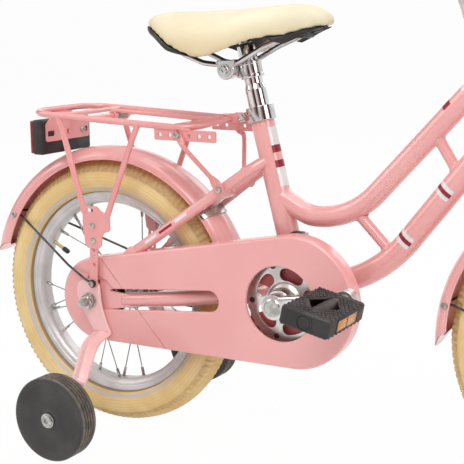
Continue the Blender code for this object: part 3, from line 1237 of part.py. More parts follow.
# Saddle: pad, base shell and rails. Stations: place behind or ahead of the pivot, half width,
# crown height and skirt height above the pivot.
STATIONS = [
    (-0.1240, 0.0040, 0.0555, 0.0480), (-0.1190, 0.0270, 0.0620, 0.0510), (-0.1050, 0.0450, 0.0680, 0.0508),
    (-0.0830, 0.0610, 0.0698, 0.0450), (-0.0560, 0.0710, 0.0690, 0.0312), (-0.0270, 0.0760, 0.0690, 0.0205),
    (-0.0080, 0.0755, 0.0700, 0.0155), (0.0120, 0.0700, 0.0715, 0.0215), (0.0300, 0.0580, 0.0735, 0.0300),
    (0.0500, 0.0410, 0.0760, 0.0380), (0.0760, 0.0285, 0.0790, 0.0410), (0.1050, 0.0225, 0.0785, 0.0490),
    (0.1270, 0.0155, 0.0700, 0.0528), (0.1350, 0.0040, 0.0610, 0.0555)]
AROUND = [math.radians(a) for a in (-90, -66, -38, -12, 12, 38, 66, 90)]


def saddle_point(station, angle, inset, rise, drop=0.0):
    """Point over the pivot: inset from the skirt, rise below the crown."""
    along, half, crown, skirt = station
    share = abs(math.cos(angle)) ** 0.72
    wide = math.copysign(abs(math.sin(angle)) ** 0.86, math.sin(angle)) * max(half - inset, half * 0.35)
    height = max(crown - skirt - rise, 0.0015) * share
    return pivot + Vector((along * SADDLE_STRETCH, wide, skirt + drop + height))


rings = []
for station in STATIONS:
    top = [saddle_point(station, a, 0.0, 0.0) for a in AROUND]
    under = [saddle_point(station, a, PAD_EDGE, PAD_THICKNESS) for a in AROUND]
    rings.append(top + under[::-1])
pad = loft(rings)
finish(pad, "saddle_pad", "cream_vinyl", pivot, pivot_saddle)

rings = []
for station in STATIONS[1:-1]:
    along, half, crown, skirt = station
    top = [saddle_point(station, a, PAD_EDGE + 0.0008, PAD_THICKNESS + 0.0006, -GAP) for a in AROUND]
    under = [saddle_point(station, a, PAD_EDGE + 0.0032, PAD_THICKNESS + 0.0006, -GAP - BASE_WALL)
             for a in AROUND]
    brim = [pivot + Vector((along * SADDLE_STRETCH, s * max(half - w, half * 0.3), skirt - d)) for s, w, d in (
        (1, 0.0012, 2 * GAP), (1, 0.0012, BASE_RIM), (1, 0.0044, BASE_RIM))]
    other = [pivot + Vector((along * SADDLE_STRETCH, -max(half - w, half * 0.3), skirt - d)) for w, d in (
        (0.0044, BASE_RIM), (0.0012, BASE_RIM), (0.0012, 2 * GAP))]
    rings.append(top + brim + under[::-1] + other)
base = loft(rings)
finish(base, "saddle_base", "black_plastic", pivot, pivot_saddle)

# Rails: one bent wire from the base's back, past the clamp plates, to the nose and back
half_rail = [(-0.075, 0.030, 0.0426), (-0.056, 0.0275, 0.0180), (-0.030, 0.0245, 0.0080), (-0.012, RAIL_Y, 0.0060),
             (0.012, RAIL_Y, 0.0070), (0.050, RAIL_Y, 0.0280), (0.083, 0.0150, 0.0408)]
right = [pivot + Vector((x, -y, z)) for x, y, z in half_rail]
nose = pivot + Vector((0.094, 0.0, 0.0423))
left = [Vector((p.x, -p.y, p.z)) for p in right[::-1]]
path = bent([*right, nose, *left], [0.02, 0.03, 0.04, 0.03, 0.03, 0.02, 0.004, 0.02, 0.03, 0.03, 0.04, 0.03, 0.02],
            math.radians(40.0))
wire = tube(path, RAIL_RADIUS, 6)
extra = [rod(pivot + way * (CLAMP_HALF + GAP) * Y, pivot + way * (RAIL_Y + 0.004) * Y, RAIL_PLATE_RADIUS, 12)
         for way in (-1, 1)]
bolt = rod(pivot - (RAIL_Y + 0.008) * Y, pivot + (RAIL_Y + 0.008) * Y, 0.004, 8)
rails = union([wire, *extra, bolt])
finish(rails, "saddle_rails", "steel", pivot, pivot_saddle)

# Fork: steerer, crown and blades, bored for the stem's quill
cup_low = HEAD_FOOT - CUP_HEIGHT - 2 * GAP
crown_t = min(fork_crown, cup_low - 0.012)
steerer_top = HEAD_TOP + CUP_HEIGHT + 2 * GAP
parts = [rod(steer(crown_t - 0.011, 0.0), steer(steerer_top + 0.003, 0.0), STEERER_RADIUS, 16),
         rod(steer(crown_t - 0.012, 0.0), steer(cup_low, 0.0), CUP_RADIUS - 0.001, 16),
         rod(steer(steerer_top, 0.0), steer(steerer_top + 0.005, 0.0), 0.0165, 16)]
blades = []
for way in (-1, 1):
    corners = [steer(crown_t, 0.0, 0.0), steer(crown_t, 0.0, way * 0.026), steer(crown_t - 0.026, 0.0, way * BLADE_Y),
               steer(0.075, 0.001, way * (BLADE_Y + 0.002)), steer(0.016, FORK_OFFSET - 0.006, way * (BLADE_Y + 0.0045))]
    blades.append(tube(bent(corners, [0.018, 0.030, 0.060], math.radians(30.0)), BLADE_RADIUS, 8))
    tip = steer(0.030, FORK_OFFSET - 0.0095)
    inner, outer_y = way * FORK_DROPOUT_INNER, way * (FORK_DROPOUT_INNER + FORK_DROPOUT_WALL)
    blades.append(plate(hull([(FRONT_HUB.x, 0.0, 0.011), (tip.x, tip.z, 0.008)], count=10), inner, outer_y))
fork = union([*parts, *blades])
quill_low = steerer_top - QUILL_DEPTH
fork = cut(fork, [rod(steer(quill_low - GAP, 0.0), steer(steerer_top + 0.02, 0.0), bored(QUILL_RADIUS, 16), 16),
                  rod(FRONT_HUB - 0.09 * Y, FRONT_HUB + 0.09 * Y, FRONT_AXLE_RADIUS + RUN, 12)])
arm_t = crown_t - 0.001
bolt_fore = ARM_FORE + 2 * ARM_WALL + 0.0016
pin = rod(steer(arm_t, 0.004), steer(arm_t, bolt_fore + 0.004), 0.003, 12)
nut = rod(steer(arm_t, bolt_fore), steer(arm_t, bolt_fore + 0.004), 0.0055, 6)
fork = union([fork, union([pin, nut])])
finish(fork, "fork", "pink_paint", steer(HEAD_FOOT, 0.0), pivot_steer)

# Front axle
end = FORK_DROPOUT_INNER + FORK_DROPOUT_WALL
rings = [rod(FRONT_HUB - (end + 0.010) * Y, FRONT_HUB + (end + 0.010) * Y, FRONT_AXLE_RADIUS, 12)]
for way in (-1, 1):
    rings.append(rod(FRONT_HUB + way * (end + 2 * GAP + EYE_WALL) * Y, FRONT_HUB + way * (end + 0.0095) * Y,
                     0.0080, 6))
finish(union(rings), "front_axle", "steel", steer(HEAD_FOOT, 0.0), pivot_steer)

# Front mudguard stay, its eyes on the front axle
eye_y = end + GAP + EYE_WALL / 2
angle = math.radians(168.0)
wire = guard_stay((WHEELBASE, eye_y, 0.0), [(0.22, eye_y)], front_crown, front_edge, angle)
bore = bored(FRONT_AXLE_RADIUS, 10)
profile = [(bore, EYE_WALL / 2), (0.0085, EYE_WALL / 2), (0.0085, -EYE_WALL / 2), (bore, -EYE_WALL / 2)]
eyes = [turned(profile, (WHEELBASE, way * eye_y, 0.0), Y, 10) for way in (-1, 1)]
stay = union([wire, *eyes])
stay = cut(stay, [rod(FRONT_HUB - 0.09 * Y, FRONT_HUB + 0.09 * Y, bore, 10)])
finish(stay, "front_mudguard_stay", "steel", steer(HEAD_FOOT, 0.0), pivot_steer)

# Stem with its quill
stem_t = steerer_top + STEM_RISE
bar_place = steer(stem_t, STEM_REACH)
parts = [rod(steer(quill_low, 0.0), steer(stem_t + 0.010, 0.0), QUILL_RADIUS, 16),
         rod(steer(stem_t - 0.004, 0.0), steer(stem_t, STEM_REACH), 0.0105, 12),
         rod(bar_place - 0.020 * Y, bar_place + 0.020 * Y, BAR_RADIUS + 0.0048, 16)]
stem = cut(union(parts), [rod(bar_place - 0.03 * Y, bar_place + 0.03 * Y, bored(BAR_RADIUS, 16), 16)])
finish(stem, "stem", "steel", steer(HEAD_FOOT, 0.0), pivot_steer)

# Handlebar
corners = []
for way in (-1, 1):
    half = [bar_place + Vector((-BAR_END_BACK, way * BAR_END_Y, BAR_END_RISE)),
            bar_place + Vector((-BAR_RISE_BACK, way * BAR_RISE_Y, BAR_RISE)),
            bar_place + Vector((0.0, way * BAR_SHOULDER_Y, 0.0))]
    corners += half if way < 0 else half[::-1]
bar = tube(bent(corners, [0.045, 0.032, 0.032, 0.045], math.radians(25.0)), BAR_RADIUS, 10)
finish(bar, "handlebar", "chrome", steer(HEAD_FOOT, 0.0), pivot_steer)

bar_end = bar_place + Vector((-BAR_END_BACK, -BAR_END_Y, BAR_END_RISE))
outward = (bar_end - (bar_place + Vector((-BAR_RISE_BACK, -BAR_RISE_Y, BAR_RISE)))).normalized()
grip_bore = bored(BAR_RADIUS, 12)
profile = [(0.0, GRIP_CAP + GAP), (GRIP_RADIUS - 0.002, GRIP_CAP + GAP), (GRIP_RADIUS, GAP),
           (GRIP_RADIUS - 0.001, -GRIP_LENGTH * 0.5), (GRIP_RADIUS, -GRIP_LENGTH + 0.004),
           (GRIP_RADIUS + 0.002, -GRIP_LENGTH), (grip_bore, -GRIP_LENGTH), (grip_bore, GAP), (0.0, GAP)]
grip = turned(profile, bar_end, outward, 12, closed=False)
grip_left = mirror(grip)
finish(grip, "grip_right", "cream_rubber", steer(HEAD_FOOT, 0.0), pivot_steer)
finish(grip_left, "grip_left", "cream_rubber", steer(HEAD_FOOT, 0.0), pivot_steer)

# Brake lever and its clamp on the right side of the bar
lever_fore = (Vector((1.0, 0.0, 0.0)) - outward.x * outward).normalized()
lever_up = outward.cross(lever_fore).normalized()
ring_mid = bar_end - (GRIP_LENGTH + 0.0095) * outward
lever_pivot = ring_mid + LEVER_PIVOT * lever_fore


def lever_frame(point):
    along, ahead, above = point
    return ring_mid + along * outward + ahead * lever_fore + above * lever_up


def prism(outline, low, high):
    """Flat piece in the lever's plane from an outline of (along, ahead)."""
    return loft([[lever_frame((a, b, level)) for a, b in outline] for level in (low, high)])


collar = rod(lever_frame((-0.007, 0.0, 0.0)), lever_frame((0.007, 0.0, 0.0)), BAR_RADIUS + 0.0040, 20)
lug = prism([(-0.007, 0.010), (0.007, 0.010), (0.007, LEVER_PIVOT + 0.006), (-0.007, LEVER_PIVOT + 0.006)],
            -0.006, 0.006)
pin = rod(lever_frame((0.0, LEVER_PIVOT, 0.0)), lever_frame((0.0, LEVER_PIVOT, 0.0135)), 0.0025, 10)
lever_mount = union([collar, lug, pin])
lever_mount = cut(lever_mount, [rod(lever_frame((-0.02, 0.0, 0.0)), lever_frame((0.02, 0.0, 0.0)),
                                    bored(BAR_RADIUS, 16), 16)])
finish(lever_mount, "brake_lever_mount", "black_plastic", steer(HEAD_FOOT, 0.0), pivot_steer)

blade_in = [(-0.006, LEVER_PIVOT - 0.006), (0.012, LEVER_PIVOT - 0.0045), (0.035, LEVER_PIVOT + 0.010),
            (LEVER_LENGTH - 0.004, LEVER_PIVOT + 0.014), (LEVER_LENGTH, LEVER_PIVOT + 0.018)]
blade_out = [(LEVER_LENGTH - 0.004, LEVER_PIVOT + 0.022), (0.035, LEVER_PIVOT + 0.0185),
             (0.010, LEVER_PIVOT + 0.0075), (-0.006, LEVER_PIVOT + 0.006)]
lever = prism(blade_in + blade_out, 0.006 + GAP, 0.006 + GAP + LEVER_WALL)
lever = cut(lever, [rod(lever_frame((0.0, LEVER_PIVOT, 0.0)), lever_frame((0.0, LEVER_PIVOT, 0.03)),
                        0.0025 + RUN, 10)])
pivot_lever = axis_empty("axis_brake_lever", lever_pivot, -lever_up, pivot_steer)
finish(lever, "brake_lever", "crank_alloy", lever_pivot, pivot_lever)

# Brake arms, each from the pivot round the mudguard to its pad beside the rim
arm_pivot = steer(arm_t, 0.0)
reach = arm_t
rim_t = RIM_RADIUS - 0.0065


def brake_arm(way, layer):
    """Arm on one side; layer is its place ahead of the crown."""
    clear = FRONT_GUARD_HALF + 0.0045
    line = [(arm_t, 0.0, 0.0085), (arm_t - 0.008, 0.020, 0.0060), (arm_t - 0.026, clear + 0.004, 0.0050),
            (arm_t - 0.055, clear + 0.006, 0.0045), (rim_t + 0.012, clear + 0.003, 0.0045),
            (rim_t - 0.006, clear - 0.002, 0.0045)]
    rings = []
    spots = [Vector((y, t)) for t, y, wide in line]
    for i, (spot, (t, y, wide)) in enumerate(zip(spots, line)):
        run = (spots[min(i + 1, len(spots) - 1)] - spots[max(i - 1, 0)]).normalized()
        side = Vector((-run.y, run.x)) * wide
        share = max(i - 1, 0) / (len(line) - 2)
        fore = layer + (FORK_OFFSET - 0.002 - layer) * share ** 1.5
        ring = []
        for sign, deep in ((-1, 0.0), (1, 0.0), (1, ARM_WALL), (-1, ARM_WALL)):
            place = spot + sign * side
            ring.append(steer(place.y, fore + deep, way * place.x))
        rings.append(ring)
    beam = loft(rings)
    eye = rod(steer(arm_t, layer), steer(arm_t, layer + ARM_WALL), 0.0095, 16)
    pad_y = RIM_WIDTH / 2 + BRAKE_ROOM
    shoe_fore = FORK_OFFSET
    shoe = loft([[steer(rim_t + dt, shoe_fore + 0.016 * df, way * y) for dt, df in (
        (-0.0035, -1), (-0.0035, 1), (0.0035, 1), (0.0035, -1))] for y in (pad_y, clear)])
    arm = union([beam, eye, shoe])
    return cut(arm, [rod(steer(arm_t, 0.0), steer(arm_t, 0.06), bored(0.003, 12), 12)])


for way, side, layer in ((-1, "right", ARM_FORE), (1, "left", ARM_FORE + ARM_WALL + GAP)):
    pivot_arm = axis_empty("axis_brake_arm_" + side, steer(arm_t, layer), STEER_FORE, pivot_steer)
    finish(brake_arm(way, layer), "brake_arm_" + side, "crank_alloy", steer(arm_t, layer), pivot_arm)

# Brake cable from the lever's clamp to above the brake, held at both ends
start = lever_frame((-0.0073, LEVER_PIVOT - 0.004, 0.0))
stop = steer(crown_t + 0.0015, CUP_RADIUS + CABLE_RADIUS + 0.0002)
cable = [start, start - 0.030 * outward, start - 0.060 * outward + Vector((0.020, 0.0, -0.006)),
         steer(stem_t + 0.050, 0.105, -0.010), steer(stem_t - 0.040, 0.085, 0.012),
         steer(HEAD_TOP - 0.040, 0.060, 0.012), steer(HEAD_FOOT + 0.030, 0.040, 0.004),
         steer(crown_t + 0.030, 0.030, 0.0), steer(crown_t + 0.016, 0.0225, 0.0)]


def smooth(points, parts):
    """Catmull-Rom curve through the points."""
    path = []
    for i in range(len(points) - 1):
        p0 = points[max(i - 1, 0)]
        p1, p2 = points[i], points[i + 1]
        p3 = points[min(i + 2, len(points) - 1)]
        for k in range(parts):
            t = k / parts
            path.append(0.5 * ((2 * p1) + (p2 - p0) * t + (2 * p0 - 5 * p1 + 4 * p2 - p3) * t * t
                               + (3 * p1 - p0 - 3 * p2 + p3) * t * t * t))
    path.append(points[-1])
    return path


finish(tube(smooth(cable, 2), CABLE_RADIUS, 6), "brake_cable", "black_rubber", steer(HEAD_FOOT, 0.0), pivot_steer)
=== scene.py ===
import math

import bmesh
import bpy
import numpy as np
from mathutils.geometry import tessellate_polygon
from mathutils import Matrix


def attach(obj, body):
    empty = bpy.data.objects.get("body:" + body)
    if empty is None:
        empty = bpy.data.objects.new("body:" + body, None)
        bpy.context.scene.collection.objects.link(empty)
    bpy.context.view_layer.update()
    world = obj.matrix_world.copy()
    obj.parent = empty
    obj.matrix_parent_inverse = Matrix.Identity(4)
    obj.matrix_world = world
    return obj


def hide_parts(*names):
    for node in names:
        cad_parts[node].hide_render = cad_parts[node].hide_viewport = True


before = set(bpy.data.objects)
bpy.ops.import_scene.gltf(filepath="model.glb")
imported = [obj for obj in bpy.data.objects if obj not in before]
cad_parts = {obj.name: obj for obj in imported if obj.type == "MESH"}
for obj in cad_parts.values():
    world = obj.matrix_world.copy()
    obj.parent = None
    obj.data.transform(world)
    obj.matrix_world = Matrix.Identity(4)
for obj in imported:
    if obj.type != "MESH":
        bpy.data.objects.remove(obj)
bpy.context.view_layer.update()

rearHub = np.array([-0.3090886, 0.0, 0.174])  # rear axle's middle; every place below is measured from it
tau = 2 * math.pi
yAxis = np.array([0.0, 1.0, 0.0])
xAxis = np.array([1.0, 0.0, 0.0])
zAxis = np.array([0.0, 0.0, 1.0])


# mesh helpers
def unit(v):
    # vectors divided by their lengths
    v = np.asarray(v, float)
    return v / np.maximum(np.linalg.norm(v, axis=-1, keepdims=True), 1e-12)


def mixed(a, b, share):
    # a weighted mean: (1 - share) of the first and share of the second
    return np.asarray(a, float) * (1 - share) + np.asarray(b, float) * share


def gridFaces(rows, cols, closeRows=False, closeCols=False):
    # quads between neighbouring rows and columns of a grid of points, wrapped where it is closed
    i = np.arange(rows if closeRows else rows - 1)[:, None]
    j = np.arange(cols if closeCols else cols - 1)[None, :]
    i2, j2 = (i + 1) % rows, (j + 1) % cols
    return np.stack([i * cols + j, i * cols + j2, i2 * cols + j2, i2 * cols + j], -1).reshape(-1, 4)


def shell(grid, closeRows=False, closeCols=True, caps=(True, True), poles=(None, None)):
    # a grid of points as a skin; an open end is closed by a fan to its pole or its own middle
    rows, cols = grid.shape[:2]
    verts = [grid.reshape(-1, 3)]
    faces = [gridFaces(rows, cols, closeRows, closeCols)]
    count = rows * cols
    if not closeRows:
        for end, row, pole in zip(caps, (0, rows - 1), poles):
            if end:
                middle = grid[row].mean(0) if pole is None else np.asarray(pole, float)
                ring = row * cols + np.arange(cols)
                faces.append(np.stack([ring, np.roll(ring, -1), np.full(cols, count)], 1)
                             if row else np.stack([np.roll(ring, -1), ring, np.full(cols, count)], 1))
                verts.append(middle[None])
                count += 1
    return np.vstack(verts), faces


def volumeOf(verts, faces):
    # signed volume: a sixth of the sum of triple products over each face's fan
    verts = verts - verts.mean(0)
    return sum(np.einsum("ij,ij->", verts[f[:, 0]], np.cross(verts[f[:, k]], verts[f[:, k + 1]]))
               for f in faces for k in range(1, f.shape[1] - 1)) / 6


def addPiece(name, shells, material, body, stands=(), sharp=36.0):
    # one mesh of closed skins; a skin with a negative volume is turned over so it faces outwards
    allVerts, loops, sizes, offset = [], [], [], 0
    for verts, faces in shells:
        turn = volumeOf(verts, faces) < 0
        for f in faces:
            f = f[:, ::-1] if turn else f
            loops.append((f + offset).ravel())
            sizes.append(np.full(len(f), f.shape[1]))
        allVerts.append(verts)
        offset += len(verts)
    verts, loops, sizes = np.vstack(allVerts) + rearHub, np.concatenate(loops), np.concatenate(sizes)
    mesh = bpy.data.meshes.new(name)
    mesh.vertices.add(len(verts))
    mesh.vertices.foreach_set("co", verts.astype(np.float32).ravel())
    mesh.loops.add(len(loops))
    mesh.loops.foreach_set("vertex_index", loops.astype(np.int32))
    mesh.polygons.add(len(sizes))
    mesh.polygons.foreach_set("loop_start", np.concatenate([[0], np.cumsum(sizes)[:-1]]).astype(np.int32))
    mesh.update(calc_edges=True)
    mesh.validate()
    mesh.shade_smooth()
    mesh.set_sharp_from_angle(angle=math.radians(sharp))
    mesh.materials.append(material)
    piece = bpy.data.objects.new(name, mesh)
    bpy.context.scene.collection.objects.link(piece)
    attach(piece, body)
    if stands:
        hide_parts(*stands)
    return piece


def filleted(corners, radii, per=8, closed=False):
    # straight runs whose corners are arcs: each centre is on the corner's bisector, at radius over
    # the cosine of half the turn
    corners = np.array(corners, float)
    radii = [radii] * len(corners) if np.isscalar(radii) else list(radii)
    if closed:
        trios = zip(np.roll(corners, 1, 0), corners, np.roll(corners, -1, 0), radii)
    else:
        trios = zip(corners, corners[1:], corners[2:], radii)
    path = [] if closed else [corners[:1]]
    for before, corner, after, radius in trios:
        into, out = unit(before - corner), unit(after - corner)
        turn = math.pi - math.acos(float(np.clip(into @ out, -1, 1)))
        if turn < 1e-3 or radius <= 0:
            path.append(corner[None])
            continue
        middle = corner + unit(into + out) * radius / math.cos(turn / 2)
        start = unit(corner + into * radius * math.tan(turn / 2) - middle)
        end = unit(corner + out * radius * math.tan(turn / 2) - middle)
        side = unit(end - start * (start @ end))
        angles = np.linspace(0, turn, per + 1)[:, None]
        path.append(middle + radius * (np.cos(angles) * start + np.sin(angles) * side))
    return np.vstack(path if closed else path + [corners[-1:]])


def curveThrough(points, per=12):
    # Catmull-Rom: a point between two others is a cubic blend of them and their two neighbours
    p = np.array(points, float)
    p = np.vstack([2 * p[:1] - p[1:2], p, 2 * p[-1:] - p[-2:-1]])
    a, b, c, d = (p[k:len(p) - 3 + k, None, :] for k in range(4))
    t = (np.arange(per) / per)[None, :, None]
    run = 0.5 * (2 * b + (c - a) * t + (2 * a - 5 * b + 4 * c - d) * t ** 2 + (3 * b - a - 3 * c + d) * t ** 3)
    return np.vstack([run.reshape(-1, p.shape[1]), p[-2:-1]])


def walked(path, marks):
    # the points of a path at these distances from its start, measured along it
    lengths = np.concatenate([[0], np.cumsum(np.linalg.norm(np.diff(path, axis=0), axis=1))])
    marks = marks(lengths[-1]) if callable(marks) else marks
    return np.stack([np.interp(marks, lengths, path[:, k]) for k in range(path.shape[1])], -1)


def spaced(path, count):
    # points at equal steps along the path's own length
    return walked(path, lambda whole: np.linspace(0, whole, count))


def carried(path, profile, reference, closed=False, size=None):
    # a profile carried along a path: its first number runs along tangent x reference, its second
    # square to that and to the tangent
    path = np.asarray(path, float)
    runs = unit((np.roll(path, -1, 0) - path) if closed else np.diff(path, axis=0))
    if closed:
        ahead = unit(runs + np.roll(runs, 1, 0))
    else:
        ahead = unit(np.vstack([runs[:1], runs[1:] + runs[:-1], runs[-1:]]))
    side = unit(np.cross(ahead, reference))
    over = np.cross(side, ahead)
    size = np.ones(len(path)) if size is None else np.asarray(size, float)
    profile = np.broadcast_to(profile, (len(path),) + np.shape(profile)[-2:])
    return path[:, None] + size[:, None, None] * (profile[..., :1] * side[:, None] + profile[..., 1:] * over[:, None])


def around(radius, angles):
    # radius times each angle's cosine and sine
    return radius * np.stack([np.cos(angles), np.sin(angles)], -1)


def circle(sides, radius=1.0):
    # a ring of points at equal angles
    return around(radius, tau * np.arange(sides) / sides)


def squashed(radius, sides, across, over):
    # a circle for each step of a path, its two widths times their own factors there
    return circle(sides, radius)[None] * np.stack([across, over], 1)[:, None, :]


def cornered(value, power):
    # a sine or cosine raised to a power below one with its sign kept, which gives a circle corners
    return np.sign(value) * np.abs(value) ** power


def tube(path, radius, reference=yAxis, sides=24, closed=False, dome=0.0):
    # a circle carried along a path; dome rounds the two ends over by that much
    path, size = np.asarray(path, float), None
    if dome and not closed:
        a = np.linspace(0, math.pi / 2, 5)[:-1]
        first, last = unit(path[0] - path[1]), unit(path[-1] - path[-2])
        head = path[0] + np.cos(a)[:, None] * dome * first
        tail = path[-1] + np.cos(a[::-1])[:, None] * dome * last
        size = np.concatenate([np.maximum(np.sin(a), 0.05), np.ones(len(path)), np.maximum(np.sin(a[::-1]), 0.05)])
        path = np.vstack([head, path, tail])
    return shell(carried(path, circle(sides, radius), reference, closed, size), closeRows=closed)


def bar(a, b, radius, sides=24, edge=0.0005, endRadius=None):
    # a round bar between two points with rounded end edges
    a, b = np.array(a, float), np.array(b, float)
    length = np.linalg.norm(b - a)
    endRadius = radius if endRadius is None else endRadius
    profile = [(0, 0), (radius, 0), (endRadius, length), (0, length)]
    return turned(filleted(profile, [edge, edge], 3), a, b - a, sides)


def turned(profile, middle, axis, steps=48, ring=False, start=None):
    # a profile of (radius, along) spun round an axis; radius 0 at an end is closed to its pole
    profile, axis, middle = np.array(profile, float), unit(axis), np.asarray(middle, float)
    start = start if start is not None else (zAxis if abs(axis[2]) < 0.9 else xAxis)
    side = unit(start - axis * (axis @ start))
    other = np.cross(axis, side)
    poles = [None, None]
    if not ring:
        for k, end in ((0, 0), (1, -1)):
            poles[k] = middle + axis * profile[end, 1]
        profile = profile[(1 if profile[0, 0] < 1e-6 else 0):(-1 if profile[-1, 0] < 1e-6 else None)]
    angles = tau * np.arange(steps) / steps
    spoke = np.cos(angles)[:, None] * side + np.sin(angles)[:, None] * other
    grid = middle + profile[:, 1, None, None] * axis + profile[:, 0, None, None] * spoke
    return shell(grid, closeRows=ring, poles=poles)


def rounded(left, right, low, high, edge, per=4):
    # a rectangle whose four corners are arcs
    return filleted([(left, low), (right, low), (right, high), (left, high)], edge, per, True)


def collar(bore, radius, low, high, middle, axis, edge=0.0005, per=3, steps=48):
    # a rounded rectangle between two radii and two levels, spun round an axis
    return turned(rounded(bore, radius, low, high, edge, per), middle, axis, steps, ring=True)


def hull(discs, count=40):
    # the outline of a tight band round discs: at each angle the farthest reach of any disc's rim
    angles = tau * np.arange(count * 4) / (count * 4)
    discs = np.array(discs, float)
    way = np.stack([np.cos(angles), np.sin(angles)], 1)
    pick = (way @ discs[:, :2].T + discs[:, 2]).argmax(1)
    points = discs[pick, :2] + discs[pick, 2:] * way
    keep = np.linalg.norm(points - np.roll(points, 1, 0), axis=1) > 1e-5
    return points[keep]


def ringAt(x, z, radius, count=32):
    # a circle moved to its place
    return circle(count, radius) + [x, z]


def outlineNormals(ring):
    # each point's outward way: the mean of its two sides' directions, turned by a right angle
    run = unit(np.roll(ring, -1, 0) - ring)
    ahead = unit(run + np.roll(run, 1, 0))
    return np.stack([ahead[:, 1], -ahead[:, 0]], 1)


def filledBetween(flats, starts):
    # triangles that fill an outline less its holes, as numbers of the points from each ring's start;
    # those without area go, and the rest turn counterclockwise
    loops = [[(float(p[0]), float(p[1]), 0.0) for p in flat] for flat in flats]
    triangles = np.array(tessellate_polygon(loops), int).reshape(-1, 3)
    points = np.vstack(flats)
    first, second, third = (points[triangles[:, k]] for k in range(3))
    spin = np.cross(second - first, third - first)
    triangles, spin = triangles[np.abs(spin) > 1e-16], spin[np.abs(spin) > 1e-16]
    triangles[spin < 0] = triangles[spin < 0][:, ::-1]
    return np.concatenate([np.arange(len(flat)) + start for flat, start in zip(flats, starts)])[triangles]


def turnedAs(ring, positive):
    # the ring's order of points set so that its area is positive, or negative for a hole
    area = 0.5 * np.sum(ring[:, 0] * np.roll(ring[:, 1], -1) - np.roll(ring[:, 0], -1) * ring[:, 1])
    return ring if (area > 0) == positive else ring[::-1]


def plate(outline, holes=(), low=0.0, high=0.001, edge=0.0004, frameOf=None):
    # a flat plate with rounded edges: each outline is pulled in along its normals towards both
    # faces, and the faces are filled by triangles between the outlines
    rings = [turnedAs(np.array(outline, float), True)] + [turnedAs(np.array(h, float), False) for h in holes]
    inset = edge * np.array([2.2, 1.0, 0.29, 0.0, 0.0, 0.29, 1.0, 2.2])
    level = np.array([low, low, low + edge * 0.29, low + edge, high - edge, high - edge * 0.29, high, high])
    verts, faces, offset, flats, starts = [], [], 0, [], []
    for ring in rings:
        normals = outlineNormals(ring)
        flat = ring[None] - inset[:, None, None] * normals[None]
        grid = np.concatenate([flat, np.broadcast_to(level[:, None, None], flat.shape[:2] + (1,))], -1)
        verts.append(grid.reshape(-1, 3))
        faces.append(gridFaces(8, len(ring), False, True)[:, ::-1] + offset)
        flats.append(flat[0])
        starts.append((offset, offset + 7 * len(ring)))
        offset += 8 * len(ring)
    faces += [filledBetween(flats, [high for low, high in starts]),
              filledBetween(flats, [low for low, high in starts])[:, ::-1]]
    verts = np.vstack(verts)
    if frameOf is None:
        return verts[:, [0, 2, 1]], faces
    origin, along, over, out = (np.asarray(v, float) for v in frameOf)
    return origin + verts[:, :1] * along + verts[:, 1:2] * over + verts[:, 2:] * out, faces


def slab(outline, holes, way, near, far, edge):
    # a plate between two distances out to one side of the bike
    return plate(outline, holes, *sorted((way * near, way * far)), edge)


def mirrored(piece):
    # the same skins on the bike's other side
    return [(verts * [1, -1, 1], faces) for verts, faces in piece]


def roundBox(low, high, edge, per=3):
    # a box with rounded edges: a rounded rectangle whose section is pulled in towards both ends
    low, high = np.array(low, float), np.array(high, float)
    a = np.linspace(0, math.pi / 2, per + 1)
    corner = np.array([[high[1], high[2]], [low[1], high[2]], [low[1], low[2]], [high[1], low[2]]])
    sides = turnedAs(filleted(corner, edge, per, closed=True), True)
    inset = np.concatenate([edge * (1 - np.sin(a)), edge * (1 - np.cos(a))])
    along = np.concatenate([low[0] + edge * (1 - np.cos(a)), high[0] - edge * (1 - np.sin(a))])
    rings = sides[None] - inset[:, None, None] * outlineNormals(sides)[None]
    grid = np.concatenate([np.broadcast_to(along[:, None, None], rings.shape[:2] + (1,)), rings], -1)
    return shell(grid)


def repeated(piece, origins, alongs, overs):
    # one small skin set down many times, each with its own origin and two axes
    verts, faces = piece
    origins, alongs = np.atleast_2d(origins), unit(np.atleast_2d(alongs))
    overs = np.atleast_2d(overs)
    overs = unit(overs - alongs * np.sum(overs * alongs, 1, keepdims=True))
    across = np.cross(alongs, overs)
    placed = (origins[:, None] + verts[None, :, :1] * alongs[:, None] + verts[None, :, 1:2] * overs[:, None]
              + verts[None, :, 2:] * across[:, None])
    count, size = len(origins), len(verts)
    shift = (np.arange(count) * size)[:, None, None]
    return placed.reshape(-1, 3), [(f[None] + shift).reshape(-1, f.shape[1]) for f in faces]


def boltHead(radius, high, sides=6, recess=0.45):
    # a bolt head standing on the origin along the first axis, its crown rounded and its socket sunk
    a = tau * np.arange(sides * 4) / (sides * 4)
    across = 1.0 if sides > 8 else math.cos(math.pi / sides)
    half = math.pi / sides
    reach = np.ones(len(a)) if sides > 8 else across / np.cos((a + half) % (tau / sides) - half)
    steps = [(-0.0006, 1.0), (high * 0.72, 1.0), (high * 0.93, 0.93), (high, 0.80), (high, recess),
             (high * 0.55, recess * 0.9)]
    rows = []
    for up, share in steps:
        wide = radius * share * np.where(share > 0.85, reach, 1.0)
        rows.append(np.stack([np.full(len(a), up), wide * np.cos(a), wide * np.sin(a)], 1))
    return shell(np.stack(rows))


def bolts(places, axis, radius, high, sides=6, recess=0.45):
    # one bolt head at each place, standing along its axis; over 8 sides it is round
    places = np.atleast_2d(np.array(places, float))
    axis = np.broadcast_to(np.asarray(axis, float), places.shape)
    over = np.where(np.abs(axis[:, 2:]) < 0.9, zAxis[None], xAxis[None])
    return repeated(boltHead(radius, high, sides, recess), places, axis, over)


